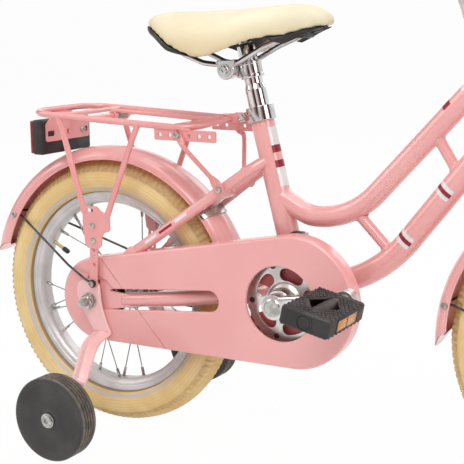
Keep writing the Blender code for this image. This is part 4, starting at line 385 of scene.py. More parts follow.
def weld(branch, away, radius, main, mainAxis, mainRadius, size=0.003):
    # a concave fillet round the curve where a branch tube leaves a main tube: each generator of the
    # branch is followed to the main cylinder, and a curve bends from one skin to the other there
    away, mainAxis = unit(away), unit(mainAxis)
    branch, main = np.asarray(branch, float), np.asarray(main, float)
    side = unit(np.cross(away, mainAxis + [0.013, 0.007, 0.011]))
    over = np.cross(away, side)
    a = tau * np.arange(72) / 72
    out = np.cos(a)[:, None] * side + np.sin(a)[:, None] * over
    foot = branch + radius * out

    def square(v):
        # a vector less its part along the main tube's axis
        return v - np.sum(v * mainAxis, -1, keepdims=True) * mainAxis
    w, d = square(foot - main), square(away)
    half, rest, lead = w @ d, np.sum(w * w, 1) - mainRadius ** 2, d @ d
    t = (-half + np.sqrt(np.maximum(half * half - lead * rest, 0))) / lead
    join = foot + t[:, None] * away
    beads = size * (1 + 0.05 * np.sin(24 * a))[:, None]
    upper = join + beads * away
    lower = join + beads * out
    off = square(lower - main)
    lower = lower - off + mainRadius * unit(off)
    s = np.linspace(0, 1, 7)[:, None, None]
    rim = (1 - s) ** 2 * upper + 2 * s * (1 - s) * (join + 0.12 * beads * (away + out)) + s ** 2 * lower
    inner = (join - beads * 0.6 * (out + away))[None]
    grid = np.concatenate([rim + 0.00004 * (out + away), inner], 0)
    return shell(grid, closeRows=True)


# places shared by several pieces, in metres from the rear axle
lean, rake = math.radians(14.1), math.radians(70.0)
bracketPlace = np.array([0.272, 0.0, 0.0256])
seatUp = np.array([-math.sin(lean), 0.0, math.cos(lean)])
seatBack = np.array([-math.cos(lean), 0.0, -math.sin(lean)])
steerUp = np.array([-math.cos(rake), 0.0, math.sin(rake)])
steerFore = np.array([math.sin(rake), 0.0, math.cos(rake)])
frontHub = np.array([0.640, 0.0, 0.0])
steerFoot = frontHub - 0.025 * steerFore
trainerSpot = np.array([0.0245, 0.0, -0.1165])


def seat(along, back=0.0, y=0.0):
    # a place given along the seat tube from the bracket, behind it and sideways
    return bracketPlace + along * seatUp + back * seatBack + y * yAxis


def steer(along, fore=0.0, y=0.0):
    # a place given along the steering axis from its foot, ahead of it and sideways
    return steerFoot + along * steerUp + fore * steerFore + y * yAxis


print("scene: frame loaded, helpers ready")


# finishes
def newGroup(name, inputs, outputs):
    # an empty node group with its sockets, and its input and output nodes
    group = bpy.data.node_groups.new(name, "ShaderNodeTree")
    for label, kind, value in inputs:
        socket = group.interface.new_socket(name=label, in_out="INPUT", socket_type="NodeSocket" + kind)
        if value is not None:
            socket.default_value = value
    for label, kind in outputs:
        group.interface.new_socket(name=label, in_out="OUTPUT", socket_type="NodeSocket" + kind)
    return group, group.nodes.new("NodeGroupInput"), group.nodes.new("NodeGroupOutput")


def node(tree, kind, values=(), **settings):
    # a node with its settings; each input takes a link from another node's output, or a plain value
    made = tree.nodes.new(kind)
    for key, value in settings.items():
        setattr(made, key, value)
    for key, value in dict(values).items():
        if hasattr(value, "links"):
            tree.links.new(value, made.inputs[key])
        else:
            made.inputs[key].default_value = value
    return made


def noise(tree, vector, scale, detail=3.0, rough=0.5):
    # a noise's grey value at a scale in waves per metre
    return node(tree, "ShaderNodeTexNoise", {"Vector": vector, "Scale": scale, "Detail": detail,
                                             "Roughness": rough}).outputs["Fac"]


def ranged(tree, value, fromLow, fromHigh, toLow, toHigh, smooth=False):
    # a value moved from one range to another and kept inside it, straight or as a smooth step
    return node(tree, "ShaderNodeMapRange", enumerate((value, fromLow, fromHigh, toLow, toHigh)),
                interpolation_type="SMOOTHSTEP" if smooth else "LINEAR").outputs[0]


def sums(tree, operation, a, b=0.0, c=0.0):
    # one step of arithmetic on up to three values
    return node(tree, "ShaderNodeMath", enumerate((a, b, c)), operation=operation).outputs[0]


def blended(tree, share, a, b):
    # a colour that goes from the first to the second as share goes from 0 to 1
    return node(tree, "ShaderNodeMix", {0: share, 6: a, 7: b}, data_type="RGBA").outputs[2]


def makeUneven():
    # a finish's slow unevenness: two colours and two roughnesses mixed by soft noise, and a fine
    # noise for height
    group, take, give = newGroup("unevenFinish", [
        ("Vector", "Vector", None), ("Patch", "Float", 12.0), ("Grain", "Float", 600.0),
        ("Light", "Color", (1, 1, 1, 1)), ("Dark", "Color", (0, 0, 0, 1)),
        ("Smooth", "Float", 0.2), ("Rough", "Float", 0.4)],
        [("Color", "Color"), ("Roughness", "Float"), ("Height", "Float")])
    o = take.outputs
    slow = ranged(group, noise(group, o["Vector"], o["Patch"], 2.0, 0.55), 0.36, 0.64, 0.0, 1.0, True)
    fine = noise(group, o["Vector"], o["Grain"], 2.0, 0.5)
    speck = ranged(group, fine, 0.3, 0.7, -0.15, 0.15)
    group.links.new(blended(group, sums(group, "ADD", slow, speck), o["Light"], o["Dark"]), give.inputs["Color"])
    group.links.new(ranged(group, sums(group, "MULTIPLY", slow, fine), 0.0, 0.6, o["Smooth"], o["Rough"]),
                    give.inputs["Roughness"])
    group.links.new(fine, give.inputs["Height"])
    return group


def makeHub():
    # distance from an axle and angle round it, from Object coordinates moved to that axle
    group, take, give = newGroup("roundAxle", [("Vector", "Vector", None)],
                                 [("Radius", "Float"), ("Turn", "Float"), ("Side", "Float")])
    parts = node(group, "ShaderNodeSeparateXYZ", {"Vector": take.outputs["Vector"]}).outputs
    squares = sums(group, "ADD", sums(group, "MULTIPLY", parts[0], parts[0]),
                   sums(group, "MULTIPLY", parts[2], parts[2]))
    group.links.new(sums(group, "SQRT", squares), give.inputs["Radius"])
    group.links.new(sums(group, "ARCTAN2", parts[2], parts[0]), give.inputs["Turn"])
    group.links.new(sums(group, "ABSOLUTE", parts[1]), give.inputs["Side"])
    return group


def makeHide():
    # pressed vinyl: small cells with soft walls, broken by noise
    group, take, give = newGroup("vinylGrain", [("Vector", "Vector", None), ("Scale", "Float", 700.0)],
                                 [("Height", "Float"), ("Pore", "Float")])
    warp = node(group, "ShaderNodeTexNoise", {"Vector": take.outputs["Vector"], "Scale": 260.0, "Detail": 2.0})
    moved = node(group, "ShaderNodeVectorMath", {0: take.outputs["Vector"]}, operation="MULTIPLY_ADD")
    group.links.new(warp.outputs["Color"], moved.inputs[0])
    moved.inputs[1].default_value = (0.0022, 0.0022, 0.0022)
    group.links.new(take.outputs["Vector"], moved.inputs[2])
    cell = node(group, "ShaderNodeTexVoronoi", {"Vector": moved.outputs[0], "Scale": take.outputs["Scale"]},
                feature="DISTANCE_TO_EDGE")
    wall = ranged(group, cell.outputs["Distance"], 0.0, 0.16, 0.0, 1.0, True)
    soft = noise(group, take.outputs["Vector"], 1500.0, 2.0)
    group.links.new(sums(group, "MULTIPLY_ADD", soft, 0.25, wall), give.inputs["Height"])
    group.links.new(wall, give.inputs["Pore"])
    return group


unevenGroup, hubGroup, hideGroup = makeUneven(), makeHub(), makeHide()


def startFinish(name, middle=None):
    # a new material, its tree, its Object coordinates, less middle where one is given, and its shader
    material = bpy.data.materials.new(name)
    material.use_nodes = True
    tree = material.node_tree
    vector = node(tree, "ShaderNodeTexCoord").outputs["Object"]
    if middle is not None:
        place = node(tree, "ShaderNodeMapping", {"Vector": vector}, vector_type="POINT")
        place.inputs["Location"].default_value = tuple(-np.asarray(middle, float))
        vector = place.outputs[0]
    return material, tree, vector, tree.nodes["Principled BSDF"]


def roundAxle(tree, vector):
    # the group's radius, turn and side for these coordinates
    return node(tree, "ShaderNodeGroup", {"Vector": vector}, node_tree=hubGroup).outputs


def uneven(tree, vector, patch, grain, light, dark, smooth, rough):
    # the uneven group with one finish's patch and grain scales, colours and roughnesses
    return node(tree, "ShaderNodeGroup", {"Vector": vector, "Patch": patch, "Grain": grain, "Light": (*light, 1),
                                          "Dark": (*dark, 1), "Smooth": smooth, "Rough": rough},
                node_tree=unevenGroup).outputs


def surfaced(tree, shader, colour, roughness, height, depth, strength=1.0, **inputs):
    # colour and roughness go straight to the shader, and height through a bump of that depth
    tree.links.new(colour, shader.inputs["Base Color"])
    tree.links.new(roughness, shader.inputs["Roughness"])
    bump = node(tree, "ShaderNodeBump", {"Height": height, "Distance": depth, "Strength": strength})
    tree.links.new(bump.outputs[0], shader.inputs["Normal"])
    for label, value in inputs.items():
        shader.inputs[label.replace("_", " ")].default_value = value


def finish(name, light, dark, smooth, rough, patch, grain, depth, metal=0.0, coat=0.0, specular=0.5):
    # a plain finish: colours, roughness and fine height all come from the uneven group
    material, tree, vector, shader = startFinish(name)
    out = uneven(tree, vector, patch, grain, light, dark, smooth, rough)
    surfaced(tree, shader, out["Color"], out["Roughness"], out["Height"], depth, Metallic=metal, Coat_Weight=coat,
             Coat_Roughness=0.06, Specular_IOR_Level=specular)
    return material


framePaint = finish("framePaint", (0.885, 0.425, 0.408), (0.850, 0.388, 0.370), 0.26, 0.36, 9, 500, 0.000006, coat=0.9)
casePaint = finish("casePaint", (0.880, 0.420, 0.405), (0.850, 0.385, 0.370), 0.28, 0.38, 7, 420, 0.000008, coat=0.7)
guardPaint = finish("guardPaint", (0.885, 0.425, 0.410), (0.850, 0.385, 0.370), 0.26, 0.36, 8, 460, 0.000006, coat=0.8)
rackPaint = finish("rackPaint", (0.845, 0.345, 0.330), (0.805, 0.305, 0.290), 0.26, 0.36, 10, 480, 0.000006, coat=0.8)
# painted light: the stabiliser brackets get a paler copy of the frame's pink, standing in for the brighter light on
# them in front of the chaincase
litBracketPaint = finish("litBracketPaint", (0.930, 0.565, 0.550), (0.905, 0.520, 0.505), 0.26, 0.36, 10, 480, 0.000006,
                      coat=0.8)
# painted shade: the chaincase's back plate gets a deep crimson that stands in for the shade and pink bounce inside the
# case
backPlateShade = finish("backPlateShade", (0.560, 0.115, 0.110), (0.500, 0.090, 0.088), 0.34, 0.46, 10, 480, 0.000006)
zincSteel = finish("zincSteel", (0.58, 0.57, 0.54), (0.40, 0.385, 0.36), 0.18, 0.34, 120, 1400, 0.00001, 1.0)
chrome = finish("chrome", (0.74, 0.73, 0.73), (0.66, 0.65, 0.65), 0.04, 0.09, 60, 900, 0.000002, 1.0)
railSteel = finish("railSteel", (0.68, 0.68, 0.67), (0.58, 0.57, 0.56), 0.10, 0.22, 60, 900, 0.000004, 1.0)
castAlloy = finish("castAlloy", (0.74, 0.73, 0.71), (0.60, 0.58, 0.56), 0.26, 0.44, 60, 900, 0.00003, 1.0)
darkSteel = finish("darkSteel", (0.11, 0.10, 0.095), (0.06, 0.055, 0.05), 0.30, 0.52, 80, 900, 0.00002, 0.85)
spokeSteel = finish("spokeSteel", (0.34, 0.32, 0.31), (0.24, 0.22, 0.21), 0.26, 0.40, 60, 1200, 0.00001, 1.0)
blackPlastic = finish("blackPlastic", (0.034, 0.030, 0.029), (0.022, 0.019, 0.018), 0.42, 0.62, 40, 1400, 0.00006)
basePlastic = finish("basePlastic", (0.026, 0.025, 0.024), (0.016, 0.015, 0.014), 0.36, 0.55, 30, 1300, 0.00005)
creamRubber = finish("creamRubber", (0.82, 0.71, 0.50), (0.76, 0.64, 0.43), 0.50, 0.66, 30, 1300, 0.00005)
crimsonBand = finish("crimsonBand", (0.33, 0.014, 0.030), (0.29, 0.011, 0.025), 0.34, 0.44, 20, 500, 0.000004,
                     coat=0.25, specular=0.3)
whiteBand = finish("whiteBand", (0.84, 0.80, 0.79), (0.78, 0.74, 0.73), 0.30, 0.40, 20, 500, 0.000004, coat=0.8)
brass = finish("brass", (0.62, 0.50, 0.26), (0.50, 0.39, 0.18), 0.20, 0.36, 80, 1200, 0.00001, 1.0)
print("scene: plain finishes ready")


# finishes with a pattern of their own
def makeTyreFinish(name, middle):
    # cream rubber with a grey band by the bead and fine moulded rings; the tread's valleys are browned as painted shade
    material, tree, vector, shader = startFinish(name, middle)
    axle = roundAxle(tree, vector)
    out = uneven(tree, vector, 22.0, 1400.0, (0.86, 0.650, 0.315), (0.79, 0.560, 0.240), 0.55, 0.78)
    sunk = ranged(tree, axle["Radius"], 0.1700, 0.1722, 0.0, 1.0, True)
    shoulder = ranged(tree, axle["Side"], 0.0120, 0.0200, 0.0, 1.0, True)
    tread = sums(tree, "MULTIPLY", ranged(tree, axle["Radius"], 0.158, 0.163, 0.0, 1.0, True), shoulder)
    speckle = noise(tree, vector, 160.0, 3.0, 0.7)
    # painted shade: the tread's valleys on the shoulders turn browner, broken by noise
    valleyShade = sums(tree, "MULTIPLY", sums(tree, "MULTIPLY", tread, sums(tree, "SUBTRACT", 1.0, sunk)),
                 ranged(tree, speckle, 0.35, 0.65, 0.25, 0.85))
    drift = sums(tree, "MULTIPLY", noise(tree, vector, 32.0, 3.0, 0.6), 8.0)
    streaks = sums(tree, "SINE", sums(tree, "MULTIPLY_ADD", axle["Radius"], 1500.0, drift))
    colour = blended(tree, ranged(tree, streaks, -0.3, 1.0, 0.0, 0.30), out["Color"], (0.68, 0.46, 0.20, 1))
    colour = blended(tree, valleyShade, colour, (0.50, 0.32, 0.15, 1))
    strip = sums(tree, "MULTIPLY", ranged(tree, axle["Radius"], 0.1370, 0.1375, 0.0, 1.0, True),
                 ranged(tree, axle["Radius"], 0.1404, 0.1410, 1.0, 0.0, True))
    strip = sums(tree, "MULTIPLY", strip, ranged(tree, noise(tree, vector, 70.0, 4.0, 0.7), 0.30, 0.50, 0.35, 0.95))
    colour = blended(tree, strip, colour, (0.58, 0.56, 0.60, 1))
    # painted shade: a thin dark line where the tyre meets the rim
    shade = ranged(tree, axle["Radius"], 0.1338, 0.1352, 0.85, 0.0, True)
    colour = blended(tree, shade, colour, (0.30, 0.22, 0.15, 1))
    rings = sums(tree, "SINE", sums(tree, "MULTIPLY", axle["Radius"], 5200.0))
    surfaced(tree, shader, colour, out["Roughness"], sums(tree, "MULTIPLY_ADD", rings, 0.35, out["Height"]), 0.00006)
    return material


def makeRimFinish(name, middle):
    # satin alloy turned on a lathe: roughness and height follow fine rings, with slow clouds
    material, tree, vector, shader = startFinish(name, middle)
    axle = roundAxle(tree, vector)
    out = uneven(tree, vector, 30.0, 900.0, (0.72, 0.70, 0.69), (0.64, 0.62, 0.61), 0.40, 0.52)
    rings = sums(tree, "SINE", sums(tree, "MULTIPLY", axle["Radius"], 9000.0))
    surfaced(tree, shader, out["Color"], out["Roughness"], sums(tree, "MULTIPLY_ADD", rings, 0.4, out["Height"]),
             0.000004, Metallic=0.55)
    return material


def makeSaddleFinish():
    # cream vinyl: pressed grain, paler on the crown; painted shade darkens and warms the lower sides and the grain's
    # grooves
    material, tree, vector, shader = startFinish("saddleVinyl")
    hide = node(tree, "ShaderNodeGroup", {"Vector": vector, "Scale": 620.0}, node_tree=hideGroup).outputs
    out = uneven(tree, vector, 16.0, 900.0, (0.86, 0.79, 0.59), (0.82, 0.735, 0.52), 0.44, 0.56)
    height = node(tree, "ShaderNodeSeparateXYZ", {"Vector": vector}).outputs[2]
    # painted shade: the vinyl turns darker and warmer from the crown down the sides
    lowerShade = ranged(tree, height, 0.540, 0.490, 0.0, 0.85, True)
    colour = blended(tree, lowerShade, out["Color"], (0.76, 0.61, 0.36, 1))
    # painted shade: the grooves between the grain's cells are darkened a little
    colour = blended(tree, ranged(tree, hide["Pore"], 0.0, 1.0, 0.10, 0.0), colour, (0.60, 0.48, 0.28, 1))
    surfaced(tree, shader, colour, out["Roughness"], hide["Height"], 0.00004, 0.7, Specular_IOR_Level=0.42)
    return material


def makeTrainerFinish(name, middle):
    # charcoal rubber, browner on the outer ribs, broken by noise
    material, tree, vector, shader = startFinish(name, middle)
    axle = roundAxle(tree, vector)
    out = uneven(tree, vector, 24.0, 1500.0, (0.050, 0.047, 0.045), (0.042, 0.040, 0.038), 0.52, 0.74)
    outerRibBrown = sums(tree, "MULTIPLY", ranged(tree, axle["Radius"], 0.0500, 0.0514, 0.0, 1.0, True),
                ranged(tree, noise(tree, vector, 90.0, 4.0, 0.65), 0.38, 0.62, 0.25, 0.9))
    surfaced(tree, shader, blended(tree, outerRibBrown, out["Color"], (0.20, 0.165, 0.13, 1)), out["Roughness"],
             sums(tree, "ADD", out["Height"], noise(tree, vector, 300.0, 3.0)), 0.00005)
    return material


def makeLensFinish(name, deep, pale, cells):
    # moulded reflector: rows of small pyramids under a clear face
    material, tree, vector, shader = startFinish(name)
    parts = node(tree, "ShaderNodeSeparateXYZ", {"Vector": vector}).outputs
    waves = [sums(tree, "PINGPONG", sums(tree, "MULTIPLY", parts[k], cells), 0.5) for k in (1, 2)]
    peak = sums(tree, "ADD", waves[0], waves[1])
    out = uneven(tree, vector, 40.0, 500.0, pale, deep, 0.10, 0.22)
    surfaced(tree, shader, blended(tree, ranged(tree, peak, 0.1, 0.9, 0.0, 0.8), out["Color"], (*deep, 1)),
             out["Roughness"], peak, 0.0004, Coat_Weight=0.5, Coat_Roughness=0.06)
    return material


rearTyreFinish = makeTyreFinish("rearTyreFinish", rearHub)
frontTyreFinish = makeTyreFinish("frontTyreFinish", rearHub + frontHub)
rearRimFinish = makeRimFinish("rearRimFinish", rearHub)
frontRimFinish = makeRimFinish("frontRimFinish", rearHub + frontHub)
saddleVinyl = makeSaddleFinish()
trainerRubber = makeTrainerFinish("trainerRubber", rearHub + trainerSpot)
redLens = makeLensFinish("redLens", (0.20, 0.004, 0.008), (0.46, 0.012, 0.018), 330.0)
amberLens = makeLensFinish("amberLens", (0.62, 0.19, 0.02), (0.93, 0.42, 0.06), 420.0)
print("scene: patterned finishes ready")


def fixings(name, shells, body="frame", sharp=34):
    # small zinc parts that stand for no solid
    addPiece(name, shells, zincSteel, body, (), sharp)


# camera at the photograph's place
view = {"turn": 26.37, "lift": 9.52, "lens": 87.96, "shift": (-0.1878, -0.0710),
        "place": rearHub + [0.886, -1.191, 0.367]}
lens = bpy.data.cameras.new("photoCamera")
lens.sensor_width, lens.lens = 36.0, view["lens"]
lens.shift_x, lens.shift_y = view["shift"]
lens.clip_start, lens.clip_end = 0.05, 60.0
camera = bpy.data.objects.new("photoCamera", lens)
camera.location = view["place"]
camera.rotation_euler = (math.radians(90 - view["lift"]), 0.0, math.radians(view["turn"]))
bpy.context.scene.collection.objects.link(camera)
bpy.context.scene.camera = camera
bpy.context.scene.view_settings.view_transform = "Standard"

# lamps: soft panels round a white room
lights = {"key": ((0.9, -2.2, 2.6), 1.8, 49.0), "left": ((-2.4, -1.2, 1.7), 1.5, 18.0),
          "back": ((0.2, 2.4, 2.2), 2.0, 18.0), "front": ((2.8, -0.6, 1.3), 1.2, 14.0),
          "top": ((0.0, 0.0, 3.2), 2.2, 32.0)}
for lightName, (spot, width, power) in lights.items():
    lamp = bpy.data.lights.new(lightName, "AREA")
    lamp.shape, lamp.size, lamp.energy = "SQUARE", width, power
    holder = bpy.data.objects.new(lightName, lamp)
    holder.location = spot
    away = unit(np.array([0.0, 0.0, 0.25]) - np.array(spot))
    holder.rotation_euler = (math.acos(-away[2]), 0.0, math.atan2(away[1], away[0]) - math.pi / 2)
    bpy.context.scene.collection.objects.link(holder)

room = bpy.data.worlds.new("room")
room.use_nodes = True
bpy.context.scene.world = room
roomTree = room.node_tree
roomTree.nodes.clear()
# the camera sees white; mirror-like rays meet tall dark and pink flags between white walls
path = node(roomTree, "ShaderNodeLightPath")
ways = node(roomTree, "ShaderNodeTexCoord").outputs["Generated"]
toward = node(roomTree, "ShaderNodeSeparateXYZ", {"Vector": ways}).outputs
heading = sums(roomTree, "ARCTAN2", toward[1], toward[0])
level = ranged(roomTree, toward[2], 0.55, 0.85, 1.0, 0.0, True)
flags = 7.0  # dark and rosy flags round the room
dark = ranged(roomTree, sums(roomTree, "SINE", sums(roomTree, "MULTIPLY", heading, flags)), 0.25, 0.55, 0.0, 1.0, True)
dark = sums(roomTree, "MULTIPLY", dark, level)
rosy = sums(roomTree, "SINE", sums(roomTree, "MULTIPLY_ADD", heading, flags, 1.9))
rosy = ranged(roomTree, rosy, 0.62, 0.80, 0.0, 1.0, True)
rosy = sums(roomTree, "MULTIPLY", sums(roomTree, "MULTIPLY", rosy, level), path.outputs["Is Glossy Ray"])
seen = sums(roomTree, "MAXIMUM", path.outputs["Is Camera Ray"], path.outputs["Is Transmission Ray"])
mirror = sums(roomTree, "MULTIPLY", path.outputs["Is Glossy Ray"], ranged(roomTree, dark, 0, 1, 0.80, 0.04))
plain = sums(roomTree, "MULTIPLY", sums(roomTree, "SUBTRACT", 1.0, path.outputs["Is Glossy Ray"]), 0.32)
strength = sums(roomTree, "MAXIMUM", seen, sums(roomTree, "ADD", mirror, plain))
tint = blended(roomTree, rosy, (1.0, 1.0, 1.0, 1.0), (0.72, 0.26, 0.26, 1.0))
sky = node(roomTree, "ShaderNodeBackground", {"Color": tint, "Strength": strength})
roomTree.links.new(sky.outputs[0], node(roomTree, "ShaderNodeOutputWorld").inputs["Surface"])

# floor: one sheet that curves up far behind, seen nearly white but keeping a soft shadow
floorFinish = bpy.data.materials.new("floorFinish")
floorFinish.use_nodes = True
floorTree = floorFinish.node_tree
floorShader = floorTree.nodes["Principled BSDF"]
floorShader.inputs["Base Color"].default_value = (0.90, 0.90, 0.90, 1)
floorShader.inputs["Roughness"].default_value = 0.9
floorPath = node(floorTree, "ShaderNodeLightPath")
glow = node(floorTree, "ShaderNodeEmission", {"Color": (1, 1, 1, 1), "Strength": 1.0})
share = ranged(floorTree, sums(floorTree, "MAXIMUM", floorPath.outputs["Is Camera Ray"],
                               floorPath.outputs["Is Glossy Ray"]), 0, 1, 0, 0.97)
floorMix = node(floorTree, "ShaderNodeMixShader", {0: share, 1: floorShader.outputs[0], 2: glow.outputs[0]})
floorTree.links.new(floorMix.outputs[0], floorTree.nodes["Material Output"].inputs["Surface"])
across, lengthwise = np.meshgrid(np.linspace(-9, 9, 12), np.linspace(-7, 9, 40))
rise = np.clip(lengthwise - 5.0, 0, None) ** 2 * 0.35
grid = np.stack([across, lengthwise, rise], -1).reshape(-1, 3)
floorMesh = bpy.data.meshes.new("floor")
floorMesh.from_pydata(grid.tolist(), [], gridFaces(40, 12).tolist())
floorMesh.shade_smooth()
floorMesh.materials.append(floorFinish)
floorSheet = bpy.data.objects.new("floor", floorMesh)
bpy.context.scene.collection.objects.link(floorSheet)
print("scene: camera, lamps and floor ready")


# frame tubes with fillets at every joint
frameSizes = {"seatTube": 0.0143, "downTube": 0.0143, "topTube": 0.0127, "headTube": 0.017, "brace": 0.0065,
              "shell": 0.020, "shellHalf": 0.034, "seatTop": 0.2329, "headFoot": 0.2485, "weld": 0.0034,
              "braceWeld": 0.0028}


def dipPath():
    # two runs tangent to a circle that sits in the low bend, one towards each end
    low, radius = bracketPlace + [0.022, 0, 0.0975], 0.104
    parts = []
    for end, size, way in ((seat(0.123), 0.045, -1), (steer(0.329), radius, 1)):
        middle = low + size * zAxis
        away = end - middle
        swing = math.atan2(away[0] * way, -away[2]) - math.acos(min(1.0, size / math.hypot(away[0], away[2])))
        a = np.linspace(0, swing, 22)[:, None]
        arc = middle + size * (way * np.sin(a) * xAxis - np.cos(a) * zAxis)
        parts.append(np.vstack([arc, end[None]]))
    return np.vstack([parts[0][::-1], parts[1][1:]])


topPath = dipPath()
downPath = filleted([bracketPlace, bracketPlace + [0.1105, 0, 0.0426], steer(0.271)], [0.170], 30)


def hollowTube(foot, top, outer, inner, depth, edge=0.0006, steps=64):
    # an outer wall, a rounded rim and a bore that goes down to depth
    length = np.linalg.norm(np.subtract(top, foot))
    profile = filleted([(0, 0), (outer, 0), (outer, length), (inner, length), (inner, length - depth),
                        (0, length - depth)], [0.0003, edge, edge, 0.0003], 4)
    return turned(profile, foot, np.subtract(top, foot), steps)


seatTube, downTube, topTube, headTube, brace = list(frameSizes.values())[:5]
frameShells = [tube(topPath, topTube, sides=48), tube(downPath, downTube, sides=48),
               hollowTube(bracketPlace, seat(frameSizes["seatTop"]), seatTube, 0.0130, 0.120)]
headProfile = filleted([(0.014, 0.0), (0.0178, 0.0), (0.0178, 0.006), (0.017, 0.0075), (0.017, 0.0975),
                        (0.0178, 0.099), (0.0178, 0.105), (0.014, 0.105)], 0.0005, 3, closed=True)
frameShells += [turned(headProfile, steer(frameSizes["headFoot"]), steerUp, 64, ring=True),
                collar(0.0084, frameSizes["shell"], -frameSizes["shellHalf"], frameSizes["shellHalf"], bracketPlace,
                       yAxis, 0.0006, 3, 64)]
for topBack, footBack in ((0.094, 0.083), (0.232, 0.208)):
    upper, lower = walked(topPath[::-1], topBack), walked(downPath[::-1], footBack)
    frameShells.append(tube([upper, lower], brace, sides=32))
    along = unit(lower - upper)
    for spot, way, path, back, radius in ((upper, along, topPath, topBack, topTube),
                                          (lower, -along, downPath, footBack, downTube)):
        mainWay = unit(walked(path[::-1], back + 0.004) - spot)
        frameShells.append(weld(spot, way, brace, spot, mainWay, radius, frameSizes["braceWeld"]))
# where a tube ends on another: the place, the way along the branch, its radius, and the other's axis and radius
for spot, way, radius, mainWay, mainRadius in (
        (topPath[0], topPath[1] - topPath[0], topTube, seatUp, seatTube),
        (topPath[-1], topPath[-2] - topPath[-1], topTube, steerUp, headTube),
        (downPath[-1], downPath[-2] - downPath[-1], downTube, steerUp, headTube),
        (bracketPlace, downPath[1] - downPath[0], downTube, yAxis, frameSizes["shell"]),
        (bracketPlace, seatUp, seatTube, yAxis, frameSizes["shell"])):
    frameShells.append(weld(spot, way, radius, spot, mainWay, mainRadius, frameSizes["weld"]))
addPiece("mainFrame", frameShells, framePaint, "frame", ["main_frame"], 50)

# headset cups: two steps and a groove
for cupName, nodeName, foot, way in (("headsetCupLow", "headset_cup_lower", steer(0.2482), -1),
                                     ("headsetCupHigh", "headset_cup_upper", steer(0.3538), 1)):
    cup = filleted([(0.0128, 0), (0.0183, 0), (0.0185, 0.0035), (0.0176, 0.0042), (0.0176, 0.0050), (0.0185, 0.0056),
                    (0.0172, 0.0098), (0.0128, 0.0100)], 0.0004, 3, closed=True)
    addPiece(cupName, [turned(cup, foot, way * steerUp, 56, ring=True)], zincSteel, "frame", [nodeName])

# chainstays, dropouts and bridge
staySizes = {"radius": 0.0095, "bends": (0.10, 0.12), "dropout": (0.050, 0.054), "seatstay": 0.0070}
stayShells = []
for way in (-1, 1):
    run = filleted([(0.045, way * 0.0465, 0.003), (0.120, way * 0.0440, 0.0120), (0.178, way * 0.0310, 0.0190),
                    (0.2560, way * 0.0216, 0.0248)], staySizes["bends"], 10)
    stayShells.append(tube(run, staySizes["radius"], zAxis, 36, dome=0.004))
    stayShells.append(weld(run[-1], run[-2] - run[-1], staySizes["radius"], bracketPlace, yAxis, 0.0203, 0.0022))


def starUnion(shapes, centre, count=360):
    # outline round several outlines that share a point: in each direction from it, the farthest
    # crossing with any of their sides
    a = tau * np.arange(count) / count
    way = np.stack([np.cos(a), np.sin(a)], 1)
    reach = np.zeros(count)
    for shape in shapes:
        p = np.asarray(shape, float) - centre
        q = np.roll(p, -1, 0)
        side = q - p
        cross = way[:, :1] * side[None, :, 1] - way[:, 1:] * side[None, :, 0]
        cross = np.where(np.abs(cross) < 1e-12, 1e-12, cross)
        t = (p[None, :, 0] * side[None, :, 1] - p[None, :, 1] * side[None, :, 0]) / cross
        s = (p[None, :, 0] * way[:, 1:] - p[None, :, 1] * way[:, :1]) / cross
        t = np.where((s >= -1e-6) & (s <= 1 + 1e-6) & (t > 0), t, 0)
        reach = np.maximum(reach, t.max(1))
    return centre + reach[:, None] * way


tabs = [hull(pair, 40) for pair in ([(0, 0, 0.016), (0.050, 0.0035, 0.0085)],
                                    [(0.0015, 0.0045, 0.0135), (0.008, 0.024, 0.0075)],
                                    [(0.0045, 0.006, 0.0112), (0.060, 0.068, 0.0065)])]
dropRing = starUnion(tabs, np.array([0.006, 0.006]), 420)
drop = [plate(dropRing, [ringAt(0, 0, 0.0053), ringAt(0.008, 0.024, 0.0026, 20)], *staySizes["dropout"], 0.0006)]
stayShells += mirrored(drop) + drop
stayShells.append(bar((0.214, -0.030, 0.0215), (0.214, 0.030, 0.0215), 0.006))
addPiece("chainStays", stayShells, framePaint, "frame", ["chainstays"], 50)

# seatstays: flattened where they meet the dropouts, with the guard's bridge
stayTop, stayFoot = seat(0.1685), np.array([0.052, 0.0, 0.060])


def stayAt(share, way=-1):
    # the seatstay's middle line: straight from top to foot, spreading from 18 to 49 mm at the sides
    place = mixed(stayTop, stayFoot, share)
    place[1] = way * (0.018 + 0.031 * share)
    return place


seatstayShells = []
for way in (-1, 1):
    near = np.array([stayTop[0], way * 0.0099, stayTop[2]]) - 0.0045 * unit(stayTop - stayFoot)
    run = filleted([near, stayAt(0.10, way), stayAt(0.5, way), stayAt(1.0, way)], [0.03, 0.05], 8)
    seatstayShells.append(tube(run, staySizes["seatstay"], yAxis, 32, dome=0.005))
bridgeAt = stayAt(0.39)
seatstayShells.append(bar(bridgeAt, bridgeAt * [1, -1, 1], 0.005))
for way in (-1, 1):
    side = unit(stayAt(0.5, way) - stayAt(0.1, way))
    seatstayShells.append(weld(bridgeAt * [1, -way, 1], -way * yAxis, 0.005, stayAt(0.39, way), side,
                               staySizes["seatstay"], 0.0018))
addPiece("seatStays", seatstayShells, framePaint, "frame", ["seatstays"], 50)
print("scene: frame ready")


def wrapped(along, radius, start, end, fromAngle, toAngle, sideAxis, lift=0.00012, thick=0.0002, steps=26):
    # a thin sleeve part way round a tube: rows along it, columns round it, closed by its inner skin;
    # start and end may slope round the tube
    t = np.linspace(0, 1, 6)[:, None]
    a = np.linspace(math.radians(fromAngle), math.radians(toAngle), steps)[None]
    base, way = along
    way = unit(way)
    side = unit(sideAxis - way * (np.asarray(sideAxis) @ way))
    over = np.cross(way, side)
    place = start + (end - start) * t + 0 * a
    inner, outer = (base + place[..., None] * way + r * (np.cos(a)[..., None] * side + np.sin(a)[..., None] * over)
                    for r in (radius + lift - thick, radius + lift))
    return shell(np.concatenate([outer, inner[:, ::-1]], 1))


